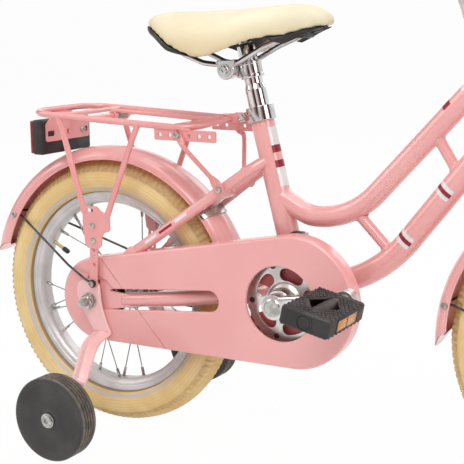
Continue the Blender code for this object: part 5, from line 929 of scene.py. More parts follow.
# painted bands on the tubes; where the real one has lettering the tube is left bare
downWay, topWay = unit(downPath[-1] - downPath[-2]), unit(topPath[-1] - topPath[-2])
topNormal = np.array([-topWay[2], 0.0, topWay[0]])
downNormal = np.array([-downWay[2], 0.0, downWay[0]])
whiteShells, crimsonShells = [], []
bandPlan = [((bracketPlace, seatUp), seatTube, -46, 46, xAxis,
             ((0.1836, 0.2058, "white"), (0.1745, 0.1835, "crimson"), (0.1563, 0.1650, "crimson"),
              (0.1330, 0.1562, "white")))]
for middle in (-0.179, -0.104):
    bandPlan.append(((downPath[-1], downWay), downTube, -48, 48, -0.82 * yAxis + 0.57 * downNormal + 0.36 * xAxis,
                     ((middle - 0.0075, middle - 0.0026, "white"), (middle - 0.0025, middle + 0.0025, "crimson"),
                      (middle + 0.0026, middle + 0.0078, "white"))))
bandPlan.append(((topPath[-1], topWay), topTube, -62, 62, topNormal,
                 ((-0.0660, -0.0550, "crimson"), (-0.0360, -0.0140, "white"))))
for line, radius, fromAngle, toAngle, middleWay, bands in bandPlan:
    for start, end, tone in bands:
        made = wrapped(line, radius, start, end, fromAngle, toAngle, middleWay)
        (whiteShells if tone == "white" else crimsonShells).append(made)
for way in (-1, 1):
    stayWay = unit(stayAt(1.0, way) - stayAt(0.5, way))
    stayRun = np.linalg.norm(stayAt(1.0, way) - stayAt(0.5, way))
    for start, end, tone in ((0.20, 0.37, "white"), (0.42, 0.605, "crimson"), (0.65, 0.82, "white")):
        made = wrapped((stayAt(0.5, way), stayWay), staySizes["seatstay"], (start - 0.12) * stayRun,
                       (end - 0.12) * stayRun, -14, 14, (0.25, way, 0.25))
        (whiteShells if tone == "white" else crimsonShells).append(made)
addPiece("bandsWhite", whiteShells, whiteBand, "frame")
addPiece("bandsCrimson", crimsonShells, crimsonBand, "frame")


# mudguards: a section that swings from edge to edge, carried round the wheel
guardSizes = {"wall": 0.0012, "bead": 0.0011, "rear": (167, 12), "front": (183, 50), "rearStay": 149, "frontStay": 168,
              "wire": 0.0015, "wireDepth": 0.0039}
rearCrown, rearEdge = (0.001, -0.009, 0.202), (0.0078, 0.002, 0.1761, 0.0255)
frontCrown, frontEdge = (0.640, -0.005, 0.193), (0.632, 0.007, 0.165, 0.0275)


def guardPoint(angle, swing, inset, crown, edge):
    # between the crown circle and the edge circle by the swing's cosine, out to the side by its sine
    angle, swing, inset = np.broadcast_arrays(angle, swing, inset)
    out = np.stack([np.cos(angle), 0 * angle, np.sin(angle)], -1)
    top = np.array([crown[0], 0, crown[1]]) + crown[2] * out
    low = np.array([edge[0], 0, edge[1]]) + edge[2] * out
    depth = np.cos(swing)[..., None]
    side = ((edge[3] - inset) * np.sin(swing))[..., None] * yAxis
    return low + (top - low) * depth - inset[..., None] * depth * out + side


def gutter(fromAngle, toAngle, crown, edge, rows=150):
    # both walls and two rolled beads; the ends round off over the last few degrees
    a = np.radians(np.linspace(fromAngle, toAngle, rows))[:, None]
    s = np.radians(np.linspace(-90, 90, 33))[None]
    outer = guardPoint(a, s, 0.0, crown, edge)
    inner = guardPoint(a, s, guardSizes["wall"], crown, edge)
    ring = np.concatenate([outer, inner[:, ::-1]], 1)
    share = np.abs(np.linspace(-1, 1, rows))
    near = np.clip((share - (1 - 12 / rows)) * rows / 12, 0, 1)
    sideways = ring[..., 1] / edge[3]
    ends = np.sign(np.linspace(-1, 1, rows))[:, None] * near[:, None] ** 2
    turn = ends * math.radians(5.0) * np.abs(sideways) ** 3
    middle = np.array([edge[0], 0, edge[1]])
    flat = ring - middle
    x = flat[..., 0] * np.cos(turn) - flat[..., 2] * np.sin(turn)
    z = flat[..., 0] * np.sin(turn) + flat[..., 2] * np.cos(turn)
    ring = np.stack([x + middle[0], ring[..., 1], z + middle[2]], -1)
    return [shell(ring)] + [tube(ring[2:-2, k], guardSizes["bead"], yAxis, 10) for k in (0, 32)]


guardShells = gutter(*guardSizes["rear"], rearCrown, rearEdge)
guardMiddle = np.array([rearCrown[0], 0, rearCrown[1]])
bridgeLean = math.atan2(bridgeAt[2] - guardMiddle[2], bridgeAt[0] - guardMiddle[0])
bridgeOut = np.array([math.cos(bridgeLean), 0, math.sin(bridgeLean)])
bridgeAcross = np.array([-math.sin(bridgeLean), 0, math.cos(bridgeLean)])
guardShells.append(plate(rounded(-0.009, 0.009, 0.0, 0.0118, 0.001, 3), [], -0.003, 0.003, 0.0005,
                         (guardMiddle + 0.2014 * bridgeOut, yAxis, bridgeOut, bridgeAcross)))
addPiece("rearGuard", guardShells, guardPaint, "frame", ["rear_mudguard"], 60)

frontShells = gutter(*guardSizes["front"], frontCrown, frontEdge)
frontShells.append(plate(rounded(-0.008, 0.008, 0.183, 0.2289, 0.002), [], -0.0010, 0.0010, 0.0004,
                         (steer(0, -0.0188), yAxis, steerUp, steerFore)))
addPiece("frontGuard", frontShells, guardPaint, "steering", ["front_mudguard"], 60)


def stayWire(eye, ways, crown, edge, angle):
    # from the right eye up inside the guard and down to the left eye, with soft bends
    a = np.radians(angle)
    s = np.radians(np.linspace(-90, 90, 17))
    fine = guardPoint(np.full(17, a), s, np.full(17, guardSizes["wireDepth"]), crown, edge)
    out = np.array([math.cos(a), 0, math.sin(a)])
    foot = fine[-1] - 0.004 * out
    leg = [np.array(eye)]
    for share, y in ways:
        place = mixed(eye, foot, share)
        leg.append(np.array([place[0], y, place[2]]))
    leg.append(foot)
    right = [p * [1, -1, 1] for p in leg]
    line = [filleted(right + [fine[0]], 0.006, 5)[:-1], fine, filleted([fine[-1]] + leg[::-1], 0.006, 5)[1:]]
    return tube(np.vstack(line), guardSizes["wire"], unit(np.cross(out, yAxis)), 12)


stayEye = np.array([0.008, 0.0, 0.024])
wire = stayWire(stayEye + 0.0666 * yAxis, [(0.07, 0.0666), (0.28, 0.0605)], rearCrown, rearEdge, guardSizes["rearStay"])
eyes = [collar(0.0021, 0.005, *sorted((way * 0.0651, way * 0.0681)), stayEye, yAxis, steps=36) for way in (-1, 1)]
addPiece("rearGuardStay", [wire] + eyes, darkSteel, "frame", ["rear_mudguard_stay"], 50)
wire = stayWire(frontHub + 0.0523 * yAxis, [(0.22, 0.0523)], frontCrown, frontEdge, guardSizes["frontStay"])
eyes = [collar(0.0048, 0.0085, *sorted((way * 0.0508, way * 0.0538)), frontHub, yAxis, steps=36) for way in (-1, 1)]
addPiece("frontGuardStay", [wire] + eyes, darkSteel, "steering", ["front_mudguard_stay"], 50)

# stay clips: a small screw through each guard edge, its washer inside
clipShells, frontClips = [], []
for way in (-1, 1):
    for crown, edge, angle, into in ((rearCrown, rearEdge, guardSizes["rearStay"], clipShells),
                                     (frontCrown, frontEdge, guardSizes["frontStay"], frontClips)):
        spot = guardPoint(math.radians(angle), math.radians(way * 74), 0.0, crown, edge)
        out = unit(spot - np.array([edge[0], 0, edge[1]])) * 0.35 + way * yAxis
        into.append(bolts([spot], [unit(out)], 0.0042, 0.0026, 24, 0.4))
fixings("rearStayScrews", clipShells, sharp=40)
fixings("frontStayScrews", frontClips, "steering", sharp=40)
print("scene: mudguards ready")

# wheels
wheelSizes = {"radius": 0.174, "section": 0.0235, "rim": 0.1335, "rimWidth": 0.025, "inner": 0.1185, "blocks": 132,
              "spokesPerSide": 10, "cross": 26, "spokeEnd": 0.1186, "valve": {"rear": 152, "front": 250}}


def tyreSkin(middle):
    # a ring's section is a circle; the tread stands off it in a centre rib and slanted shoulder blocks,
    # each a product of two smooth steps, one in the angle and one across the section
    rows, cols = 1056, 46
    section = wheelSizes["section"]
    core, rimTop = wheelSizes["radius"] - section, wheelSizes["rim"] + 0.0003
    widest = math.acos((rimTop - core) / section)
    a = (tau * np.arange(rows) / rows)[:, None]
    s = np.linspace(-widest, widest, cols)[None]
    side = np.abs(s)
    wave = np.sin(wheelSizes["blocks"] * a + np.where(s > 0, 1.0, -1.0) * 1.6 + side * 1.2)
    coarse = np.sin(wheelSizes["blocks"] / 2 * a + np.sign(s) * 0.8)
    onShoulder = np.clip((side - 0.42) / 0.10, 0, 1) * np.clip((1.02 - side + 0.06 * coarse) / 0.05, 0, 1)
    block = np.clip(wave * 3.0, -1, 1) * 0.5 + 0.5
    rib = (np.clip((0.16 - side) / 0.05, 0, 1)
           + np.clip((side - 0.22) / 0.04, 0, 1) * np.clip((0.40 - side) / 0.04, 0, 1))
    cutting = 1 - 0.8 * np.clip(np.sin(wheelSizes["blocks"] * a) * 4 - 2.2, 0, 1) * (side > 0.2)
    cap = np.clip((1.08 - side) / 0.08, 0, 1)
    lift = -0.0015 * cap + 0.0015 * np.maximum(onShoulder * block, np.clip(rib, 0, 1) * cutting)
    wallRing = 0.0004 * np.exp(-((side - 1.62) / 0.03) ** 2) + 0.0003 * np.exp(-((side - 1.28) / 0.02) ** 2)
    reach = core + (section + lift + wallRing) * np.cos(s)
    y = (section + lift + wallRing) * np.sin(s) + 0 * a
    bead = wheelSizes["rimWidth"] / 2 - 0.0023
    foot = wheelSizes["rim"] - 0.0062
    ends = np.array([(foot, -bead), (rimTop, -bead), (rimTop, bead), (foot, bead)])
    reach, y = (np.hstack([np.broadcast_to(ends[:2, k], (rows, 2)), values + 0 * a,
                           np.broadcast_to(ends[2:, k], (rows, 2))]) for k, values in enumerate((reach, y)))
    grid = np.stack([reach * np.cos(a), y, reach * np.sin(a)], -1) + middle
    return shell(grid, closeRows=True)


def flipped(profile):
    # the same profile backwards on the other side of the middle
    return [(r, -y) for r, y in profile[::-1]]


def rimSkin(middle):
    # a box section with hooked bead walls, brake tracks and two turned lines on each side
    half, top, inner = wheelSizes["rimWidth"] / 2, wheelSizes["rim"], wheelSizes["inner"]
    side = [(top, half), (top - 0.0005, half + 0.00025), (top - 0.0060, half - 0.0006), (top - 0.0066, half - 0.0012),
            (top - 0.0072, half - 0.0008), (top - 0.0108, half - 0.0020), (top - 0.0114, half - 0.0026),
            (top - 0.0120, half - 0.0023), (inner + 0.0012, half - 0.0042), (inner, half - 0.0062),
            (inner - 0.0003, 0.003), (inner - 0.0004, 0.0)]
    well = [(top - 0.0004, -half + 0.0018), (top - 0.0065, -half + 0.0020), (top - 0.0075, -0.0070),
            (top - 0.0095, -0.0050)]
    profile = side + flipped(side)[1:] + well + flipped(well)
    return turned(profile, middle, yAxis, 192, ring=True, start=-zAxis)


def spokeSkins(middle, flangeRadius):
    # spokes laid tangent-wise from each flange, a brass-coloured nipple at each rim end
    i = np.arange(wheelSizes["spokesPerSide"])
    starts, tips = [], []
    for way in (-1, 1):
        angle = tau * (i + 0.25 * way) / len(i)
        lead = np.where(i % 2 == 1, 1, -1) * math.radians(wheelSizes["cross"])
        headAt = 0.0255 + np.where(i % 2 == 1, 0.0013, -0.0013)
        for points, turn, r, y in ((starts, angle, flangeRadius - 0.0035, headAt),
                                   (tips, angle + lead, wheelSizes["spokeEnd"], np.full(len(i), 0.002))):
            points.append(np.stack([np.cos(turn) * r, way * y, np.sin(turn) * r], 1))
    starts, tips = np.vstack(starts), np.vstack(tips)
    run = unit(tips - starts)
    length = float(np.linalg.norm(tips[0] - starts[0]))
    spoke = turned([(0, 0), (0.0009, 0), (0.0009, 0.004), (0.0007, 0.008), (0.0007, length - 0.002),
                    (0, length - 0.002)], (0, 0, 0), xAxis, 10)
    nipple = turned([(0, -0.012), (0.0012, -0.012), (0.0018, -0.0112), (0.0020, -0.004), (0.0020, 0.0006),
                     (0, 0.0006)], (0, 0, 0), xAxis, 8)
    head = turned([(0, -0.0026), (0.0012, -0.0024), (0.0018, -0.0016), (0.0018, -0.0008), (0.0010, 0.0), (0, 0)],
                  (0, 0, 0), xAxis, 12)
    out = np.sign(starts[:, 1:2]) * yAxis
    return ([repeated(spoke, starts + middle, run, out + 0.01)],
            [repeated(nipple, tips + middle, run, out + 0.01),
             repeated(head, starts + middle + out * 0.0024, -out, run)])


def hubSkin(middle, half, shellRadius, flangeRadius, endRadius, bore):
    # a waisted barrel between two flanges with turned steps
    edge, inside = 0.02725, 0.02375
    side = [(bore, half), (endRadius * 0.72, half), (endRadius * 0.78, half - 0.003), (endRadius, half - 0.0034),
            (endRadius, edge + 0.004), (endRadius * 1.12, edge), (flangeRadius - 0.0006, edge),
            (flangeRadius, edge - 0.0007), (flangeRadius, inside + 0.0007), (flangeRadius - 0.0006, inside),
            (shellRadius * 1.12, inside), (shellRadius, inside - 0.005), (shellRadius * 0.97, 0.0)]
    return turned(side + flipped(side)[1:], middle, yAxis, 72, ring=True)


for wheel, middle, body, tyreMat, rimMat, sizes in (
        ("rear", np.zeros(3), "rear_wheel", rearTyreFinish, rearRimFinish, (0.0397, 0.020, 0.031, 0.0165, 0.0054)),
        ("front", frontHub, "front_wheel", frontTyreFinish, frontRimFinish, (0.0449, 0.0135, 0.022, 0.0095, 0.0049))):
    addPiece(wheel + "Tyre", [tyreSkin(middle)], tyreMat, body, [wheel + "_tyre"], 60)
    addPiece(wheel + "Rim", [rimSkin(middle)], rimMat, body, [wheel + "_rim"], 30)
    addPiece(wheel + "Hub", [hubSkin(middle, *sizes)], zincSteel, body, [wheel + "_hub"], 32)
    spokes, nipples = spokeSkins(middle, sizes[2])
    addPiece(wheel + "Spokes", spokes, spokeSteel, body)
    addPiece(wheel + "Nipples", nipples, zincSteel, body)
    # valve: a threaded brass stem through the rim and a black cap, leaning a little as a real one does
    angle = math.radians(wheelSizes["valve"][wheel])
    out = np.array([math.cos(angle), 0, math.sin(angle)])
    thread = [(0.0022 + 0.00022 * (k % 2), 0.001 + 0.0006 * k) for k in range(30)]
    stem = [(0, 0), (0.0022, 0)] + thread + [(0, 0.019)]
    addPiece(wheel + "Valve", [turned(stem, middle + out * 0.119, -out, 20)], brass, body)
    cap = [(0, 0), (0.0031, 0.0003), (0.0033, 0.001), (0.0033, 0.0078), (0.0024, 0.0098), (0, 0.0102)]
    addPiece(wheel + "ValveCap", [turned(cap, middle + out * 0.102, -out, 20)], blackPlastic, body)
print("scene: wheels ready")


# chaincase: flat face, rounded rim and wall as one open skin, parted along a slanting line
caseSizes = {"face": 0.058, "back": 0.036, "round": 0.0034, "lip": 0.0016, "wall": 0.0015, "hole": 0.0454,
             "joint": (0.0655, 0.001), "tilt": 42.0, "seam": 0.0005, "notch": (0.024, 0.080, 0.040, 0.076)}
bracketFlat = bracketPlace[[0, 2]]


def caseSkin(outline, holes):
    # each outline is followed from the flat face round an arc and back along the wall: inset is
    # radius times (1 - sin), depth is radius times (1 - cos)
    theta = np.radians([0, 15, 30, 45, 60, 75, 90])
    verts, faces, offset, flats, starts = [], [], 0, [], []
    rings = [(turnedAs(np.array(outline), True), caseSizes["round"], caseSizes["face"] - caseSizes["back"])]
    rings += [(turnedAs(np.array(h), False), caseSizes["lip"], 0.0035) for h in holes]
    for ring, radius, deep in rings:
        normals = outlineNormals(ring)
        inset = np.concatenate([[radius + 0.0014], radius * (1 - np.sin(theta)), [0, 0]])
        depth = np.concatenate([[0], radius * (1 - np.cos(theta)), [mixed(radius, deep, 0.5).item(), deep]])
        flat = ring[None] - inset[:, None, None] * normals[None]
        y = np.broadcast_to(-(caseSizes["face"] - depth)[:, None, None], flat.shape[:2] + (1,))
        verts.append(np.concatenate([flat[..., :1], y, flat[..., 1:]], -1).reshape(-1, 3))
        faces.append(gridFaces(len(inset), len(ring), False, True)[:, ::-1] + offset)
        flats.append(flat[0])
        starts.append(offset)
        offset += len(inset) * len(ring)
    return np.vstack(verts), faces + [filledBetween(flats, starts)]


def casePart(name, skin, nodeName, keep):
    # the skin is cut by the seam's plane and by the notch, thickened inwards by its wall, and its open
    # edges are sharp, so that the flat face is shaded flat
    verts, faces = skin
    mesh = bpy.data.meshes.new(name)
    mesh.from_pydata((verts + rearHub).tolist(), [], sum((f.tolist() for f in faces), []))
    work = bmesh.new()
    work.from_mesh(mesh)
    tilt = math.radians(caseSizes["tilt"])
    normal = np.array([math.cos(tilt), 0, math.sin(tilt)]) * keep
    point = rearHub + [caseSizes["joint"][0], 0, caseSizes["joint"][1]] + normal * caseSizes["seam"]
    bmesh.ops.bisect_plane(work, geom=work.verts[:] + work.edges[:] + work.faces[:], plane_co=point,
                           plane_no=tuple(normal), clear_inner=True, dist=0.00001)
    left, right, foot, top = caseSizes["notch"]
    low, high = rearHub + [left, -0.0545, foot], rearHub + [right, -0.02, top]
    gone = [f for f in work.faces if all(low[k] < f.calc_center_median()[k] < high[k] for k in range(3))]
    bmesh.ops.delete(work, geom=gone, context="FACES")
    bmesh.ops.remove_doubles(work, verts=work.verts, dist=0.000005)
    bmesh.ops.recalc_face_normals(work, faces=work.faces)
    face = max(work.faces, key=lambda f: f.calc_area())
    if face.normal.y > 0:
        bmesh.ops.reverse_faces(work, faces=work.faces)
    work.to_mesh(mesh)
    work.free()
    mesh.shade_smooth()
    mesh.set_sharp_from_angle(angle=math.radians(40))
    edgeOfLoop = np.empty(len(mesh.loops), np.int32)
    mesh.loops.foreach_get("edge_index", edgeOfLoop)
    for lone in np.flatnonzero(np.bincount(edgeOfLoop, minlength=len(mesh.edges)) == 1):
        mesh.edges[int(lone)].use_edge_sharp = True
    mesh.materials.append(casePaint)
    piece = bpy.data.objects.new(name, mesh)
    bpy.context.scene.collection.objects.link(piece)
    wall = piece.modifiers.new("wall", "SOLIDIFY")
    wall.thickness, wall.offset = caseSizes["wall"], -1.0
    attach(piece, "frame")
    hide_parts(nodeName)
    return piece


caseOutline = hull([(0.008, 0.002, 0.0535), (0.288, 0.0285, 0.0795)], 60)
slotRing = hull([(0.0, 0.0012, 0.0135), (0.1755, 0.0180, 0.0132)], 16)
windowRing = hull([(0.0, 0.0, 0.0175), (0.014, 0.012, 0.0175), (0.004, 0.024, 0.010)], 24)
mouth = starUnion([windowRing, slotRing], np.array([0.008, 0.0085]), 900)
mouth = mouth[np.linalg.norm(mouth - np.roll(mouth, 1, 0), axis=1) > 1e-6]
caseHole = ringAt(*bracketFlat, caseSizes["hole"], 96)
for name, nodeName, keep, cut in (("chaincaseCover", "chaincase_outer", 1, slotRing),
                                  ("chaincaseRear", "chaincase_rear_cap", -1, mouth)):
    casePart(name, caseSkin(caseOutline, [caseHole, cut]), nodeName, keep)

# back plate with its notch for the chainstay: in each direction the first step that meets the notch
backMiddle, backRadius = np.array([0.288, 0.0285]), 0.0775
notchFrom, notchRun, notchRadius = np.array([0.190, 0.021]), np.array([0.050, 0.004]), 0.0148
steps = np.linspace(0.016, backRadius, 180)
spots = backMiddle + steps[None, :, None] * circle(240)[:, None]
along = np.clip(((spots - notchFrom) @ notchRun) / (notchRun @ notchRun), 0, 1)
near = np.linalg.norm(spots - (notchFrom + along[..., None] * notchRun), axis=-1) < notchRadius
reach = np.where(near.any(1), steps[near.argmax(1)], backRadius)
backPlate = plate(backMiddle + reach[:, None] * circle(240), [ringAt(*bracketFlat, 0.015, 40)], 0.0343, 0.0356, 0.0003)
# the back plate's crimson is painted shade, seen through the chainring's ovals
addPiece("chaincaseBack", mirrored([backPlate]), backPlateShade, "frame", ["chaincase_inner"], 40)


def prism(outline, low, high):
    # an outline drawn straight along Y between two levels
    ring = np.asarray(outline, float)
    rows = [np.stack([ring[:, 0], np.full(len(ring), y), ring[:, 1]], 1) for y in (low, high)]
    return shell(np.stack(rows))


# chain: links set down at equal steps of the two pitch circles' band, inner and outer in turn
chainSizes = {"ring": 0.056714, "cog": 0.032549, "pitch": 0.0127, "middle": -0.0415}
bandRing = hull([(0, 0, chainSizes["cog"]), (*bracketFlat, chainSizes["ring"])], 120)
closedBand = np.vstack([bandRing, bandRing[:1]])
links = 2 * round(np.linalg.norm(np.diff(closedBand, axis=0), axis=1).sum() / chainSizes["pitch"] / 2)
pins = spaced(closedBand, links + 1)[:-1]
pinPlaces = np.insert(pins, 1, chainSizes["middle"], axis=1)
pinRuns = np.insert(np.roll(pins, -1, 0) - pins, 1, 0.0, axis=1)
linkRing = hull([(0, 0, 0.0036), (chainSizes["pitch"], 0, 0.0036)], 5)
linkRing[:, 1] *= 1 - 0.22 * np.exp(-((linkRing[:, 0] - chainSizes["pitch"] / 2) / 0.003) ** 2)
chainShells = []
for which, low, high in ((0, 0.0021, 0.0031), (0, -0.0031, -0.0021), (1, 0.0010, 0.0020), (1, -0.0020, -0.0010)):
    chainShells.append(repeated(prism(linkRing, low, high), pinPlaces[which::2], pinRuns[which::2], yAxis))
pinHalf = [(0, -0.00325), (0.0016, -0.00325), (0.0016, -0.0010), (0.0034, -0.0010)]
roller = turned(pinHalf + flipped(pinHalf), (0, 0, 0), yAxis, 10)
chainShells.append(repeated(roller, pinPlaces, pinRuns, yAxis))
addPiece("chainLinks", chainShells, darkSteel, "frame", ["chain"], 40)

# chainring: a scalloped disc with five ovals, a stepped boss and small bolts; sprocket likewise
crankSizes = {"angle": math.radians(13.3), "length": 0.102, "face": 0.0430, "teeth": 28, "cogTeeth": 16}


def scallops(count, radius, wave):
    # a circle whose radius waves once for each tooth, 12 points a tooth
    a = tau * np.arange(count * 12) / (count * 12)
    return around((radius + wave * np.cos(count * a))[:, None], a)


ovals, boltSpots = [], []
b = np.linspace(math.pi / 2, -math.pi / 2, 10)
for k in range(5):
    middle = math.radians(75) + tau * k / 5
    arc = middle + np.linspace(-0.25, 0.25, 9)
    endA = around(0.0330, arc[-1]) + around(0.0075, arc[-1] + math.pi / 2 + b)
    endB = around(0.0330, arc[0]) + around(0.0075, arc[0] - math.pi / 2 + b)
    oval = np.vstack([around(0.0405, arc), endA, around(0.0255, arc[::-1]), endB])
    oval = oval[np.argsort(np.arctan2(*(oval - around(0.0325, middle)).T[::-1]))]
    oval = oval[np.linalg.norm(oval - np.roll(oval, 1, 0), axis=1) > 2e-5]
    ovals.append(oval + bracketFlat)
    boltSpots.append(np.insert(bracketFlat + around(0.0445, middle - math.radians(36)), 1, -crankSizes["face"]))
ringPlate = plate(scallops(crankSizes["teeth"], 0.0513, 0.0007) + bracketFlat,
                  ovals + [ringAt(*bracketFlat, 0.0088, 40)], 0.0400, crankSizes["face"], 0.0005)
bossProfile = filleted([(0.0084, 0.0), (0.0190, 0.0), (0.0170, 0.0167), (0.0084, 0.0167)], 0.0012, 4, True)
dish = filleted([(0.0084, 0.0), (0.0235, 0.0), (0.0235, 0.0016), (0.0190, 0.0046), (0.0084, 0.0060)],
                [0, 0.0006, 0.0010, 0.003, 0], 4, True)
chainringShells = mirrored([ringPlate]) + [
    turned(bossProfile, bracketPlace - crankSizes["face"] * yAxis, -yAxis, 64, ring=True),
    turned(dish, bracketPlace - 0.0429 * yAxis, -yAxis, 72, ring=True)]
addPiece("chainring", chainringShells, castAlloy, "crank", ["chainring"], 34)
addPiece("chainringBolts", [bolts(boltSpots, -yAxis, 0.0034, 0.0016, 24, 0.6)], darkSteel, "crank", (), 34)
addPiece("crankAxle", [bar(bracketPlace - 0.0700 * yAxis, bracketPlace + 0.0700 * yAxis, 0.008, 40)], darkSteel,
         "crank", ["crank_axle"])
cogHoles = [ringAt(*around(0.0185, tau * k / 6), 0.0034, 20) for k in range(6)]
cog = plate(scallops(crankSizes["cogTeeth"], 0.0272, 0.0006), [ringAt(0, 0, 0.0054, 32)] + cogHoles, 0.0400, 0.0430,
            0.0004)
addPiece("sprocket", mirrored([cog]), darkSteel, "rear_wheel", ["sprocket"], 34)


def crankArm(way, turn):
    # a section like a worn rectangle with a groove down its outer face, carried to the pedal
    angle = crankSizes["angle"] + turn
    along = np.array([math.cos(angle), 0, math.sin(angle)])
    over = np.array([-math.sin(angle), 0, math.cos(angle)])
    share = np.linspace(0.0, 1.0, 24)[:, None]
    wide = 0.0122 - 0.0030 * np.clip(share * 1.5, 0, 1)
    thick = 0.0064 - 0.0006 * share
    a = (tau * np.arange(40) / 40)[None]
    across, deep = cornered(np.cos(a), 0.55), cornered(np.sin(a), 0.55)
    ends = np.clip((share - 0.16) * 9, 0, 1) * np.clip((0.86 - share) * 9, 0, 1)
    groove = 0.0014 * np.exp(-(across / 0.42) ** 4) * (deep > 0.5) * ends
    y = way * (0.067 + 0.018 * share + thick * deep - groove)
    grid = (bracketPlace + (share * crankSizes["length"])[..., None] * along + (wide * across)[..., None] * over
            + y[..., None] * yAxis)
    tip = bracketPlace + crankSizes["length"] * along
    boss = filleted([(0.0083, 0.060), (0.0150, 0.060), (0.0150, 0.0735), (0.0118, 0.0742), (0.0083, 0.0742)],
                    0.0008, 3, True)
    eye = filleted([(0, 0.0775), (0.0122, 0.0775), (0.0122, 0.0922), (0, 0.0922)], [0.0010, 0.0010], 4)
    parts = [shell(grid), turned(boss, bracketPlace, way * yAxis, 56, ring=True), turned(eye, tip, way * yAxis, 48)]
    spindle = filleted([(0, 0.090), (0.0078, 0.090), (0.0078, 0.0952), (0.0065, 0.0960), (0.0065, 0.1760), (0, 0.1760)],
                       0.0003, 2)
    cap = filleted([(0, 0.0700), (0.0112, 0.0700), (0.0112, 0.0748), (0.0090, 0.0762), (0, 0.0766)], 0.0008, 4)
    return parts, [turned(spindle, tip, way * yAxis, 32)], [turned(cap, bracketPlace, way * yAxis, 40)], tip


def pedalParts(way, tip, pitch):
    # local places are (ahead, outward, up); the block is made of rails, ends, decks with a diamond
    # window, and rows of small studs
    fore = np.array([math.cos(pitch), 0, math.sin(pitch)])
    over = np.array([-math.sin(pitch), 0, math.cos(pitch)])

    def put(piece):
        # a local piece set at the crank's tip and turned by the pitch
        verts, faces = piece
        return tip + verts[:, :1] * fore + verts[:, 1:2] * way * yAxis + verts[:, 2:] * over, faces
    origin = (0, 0, 0)
    diamond = filleted([(0, 0.114), (0.0188, 0.144), (0, 0.174), (-0.0188, 0.144)], 0.002, 3, True)
    block = []
    for side in (-1, 1):
        near, far = sorted((side * 0.0205, side * 0.0290))
        block.append(roundBox((near, 0.1005, -0.0096), (far, 0.1875, 0.0096), 0.0022))
        block.append(plate(rounded(-0.0220, 0.0220, 0.1010, 0.1870, 0.001, 2), [diamond],
                           *sorted((side * 0.0076, side * 0.0094)), 0.0003, (np.zeros(3), xAxis, yAxis, zAxis)))
    for low, high in ((0.1000, 0.1075), (0.1805, 0.1880)):
        block.append(roundBox((-0.0280, low, -0.0102), (0.0280, high, 0.0102), 0.0022))
    for y in (0.1135, 0.1745):
        block.append(roundBox((-0.0215, y - 0.0013, -0.0082), (0.0215, y + 0.0013, 0.0082), 0.0005))
    block.append(collar(0.0069, 0.0100, 0.1000, 0.1860, origin, yAxis, 0.0006, 2, 32))
    x, y = np.meshgrid(np.linspace(-0.0262, 0.0240, 11), np.linspace(0.1035, 0.1845, 19))
    x = x + 0.0025 * (np.arange(19)[:, None] % 2)
    keep = (np.abs(x) / 0.0205 + np.abs(y - 0.144) / 0.0315 > 1)
    x, y = x[keep], y[keep]
    stud = turned([(0, -0.0004), (0.0021, -0.0004), (0.0017, 0.0012), (0, 0.0013)], origin, xAxis, 8)
    for side in (-1, 1):
        spots = np.stack([x, y, np.full(len(x), side * 0.0094)], 1)
        block.append(repeated(stud, spots, (0, 0, side), (1, 0, 0)))
    block.append(collar(0.0080, 0.0095, 0.1872, 0.1889, origin, yAxis, 0.0004, 2, 48))
    dustCap = filleted([(0, 0.1870), (0.0070, 0.1870), (0.0070, 0.1888), (0, 0.1890)], 0.0004, 2)
    block.append(turned(dustCap, origin, yAxis, 40))
    lensBits = []
    for side in (-1, 1):
        low, high = sorted((side * 0.0284, side * 0.0297))
        for left, foot, right, top in ((0.1185, -0.0078, 0.1695, -0.0060), (0.1185, 0.0060, 0.1695, 0.0078),
                                       (0.1185, -0.0078, 0.1205, 0.0078), (0.1675, -0.0078, 0.1695, 0.0078),
                                       (0.1433, -0.0070, 0.1447, 0.0070)):
            block.append(roundBox((low, left, foot), (high, right, top), 0.0004))
        low, high = sorted((side * 0.0284, side * 0.0293))
        lensBits.append(roundBox((low, 0.1200, -0.0064), (high, 0.1680, 0.0064), 0.0003))
    return [put(p) for p in block], [put(p) for p in lensBits]


for way, side, turn in ((-1, "right", 0.0), (1, "left", math.pi)):
    arm, spindle, cap, tip = crankArm(way, turn)
    addPiece("crankArm" + side.title(), arm, castAlloy, "crank", ["crank_arm_" + side], 40)
    addPiece("pedalSpindle" + side.title(), spindle, zincSteel, "crank")
    addPiece("crankCap" + side.title(), cap, zincSteel, "crank")
    block, glass = pedalParts(way, tip, -math.radians(12.4) if way < 0 else 0.0)
    addPiece("pedal" + side.title(), block, blackPlastic, "pedal_" + side[0], ["pedal_" + side], 30)
    addPiece("pedalLens" + side.title(), glass, amberLens, "pedal_" + side[0], (), 30)
print("scene: drive ready")

# rear axle, its nuts and spacers, and the coaster hub's arm
axleShells = []
threads = np.arange(-0.0800, 0.0801, 0.0006)
core = np.where(np.abs(threads) > 0.0600, 0.00475 + 0.00022 * (np.arange(len(threads)) % 2), 0.0049)
axleShells.append(turned([(0, -0.0805)] + list(zip(core, threads)) + [(0, 0.0805)], (0, 0, 0), yAxis, 24))
nut = filleted([(0.0045, 0.0628), (0.0108, 0.0628), (0.0104, 0.0642), (0.0045, 0.0642)], 0.0003, 2, True)
for way in (-1, 1):
    axleShells += [collar(0.0052, 0.0100, 0.0543, 0.0582, (0, 0, 0), way * yAxis),
                   turned(nut, (0, 0, 0), way * yAxis, 48, ring=True),
                   bolts([(0, way * 0.0636, 0)], way * yAxis, 0.0095, 0.0090, 6, 0.55)]
addPiece("rearAxle", axleShells, zincSteel, "frame", ["rear_axle"], 34)
armRing = filleted([(-.0125, -.0035), (-.0125, .0035), (-.0080, .0103), (0, .0130), (.0080, .0103), (.0330, -.0105),
                    (.1180, -.0120), (.1240, -.0150), (.1240, -.0215), (.1180, -.0245), (.0300, -.0230),
                    (-.0070, -.0108)], 0.003, 4, True)
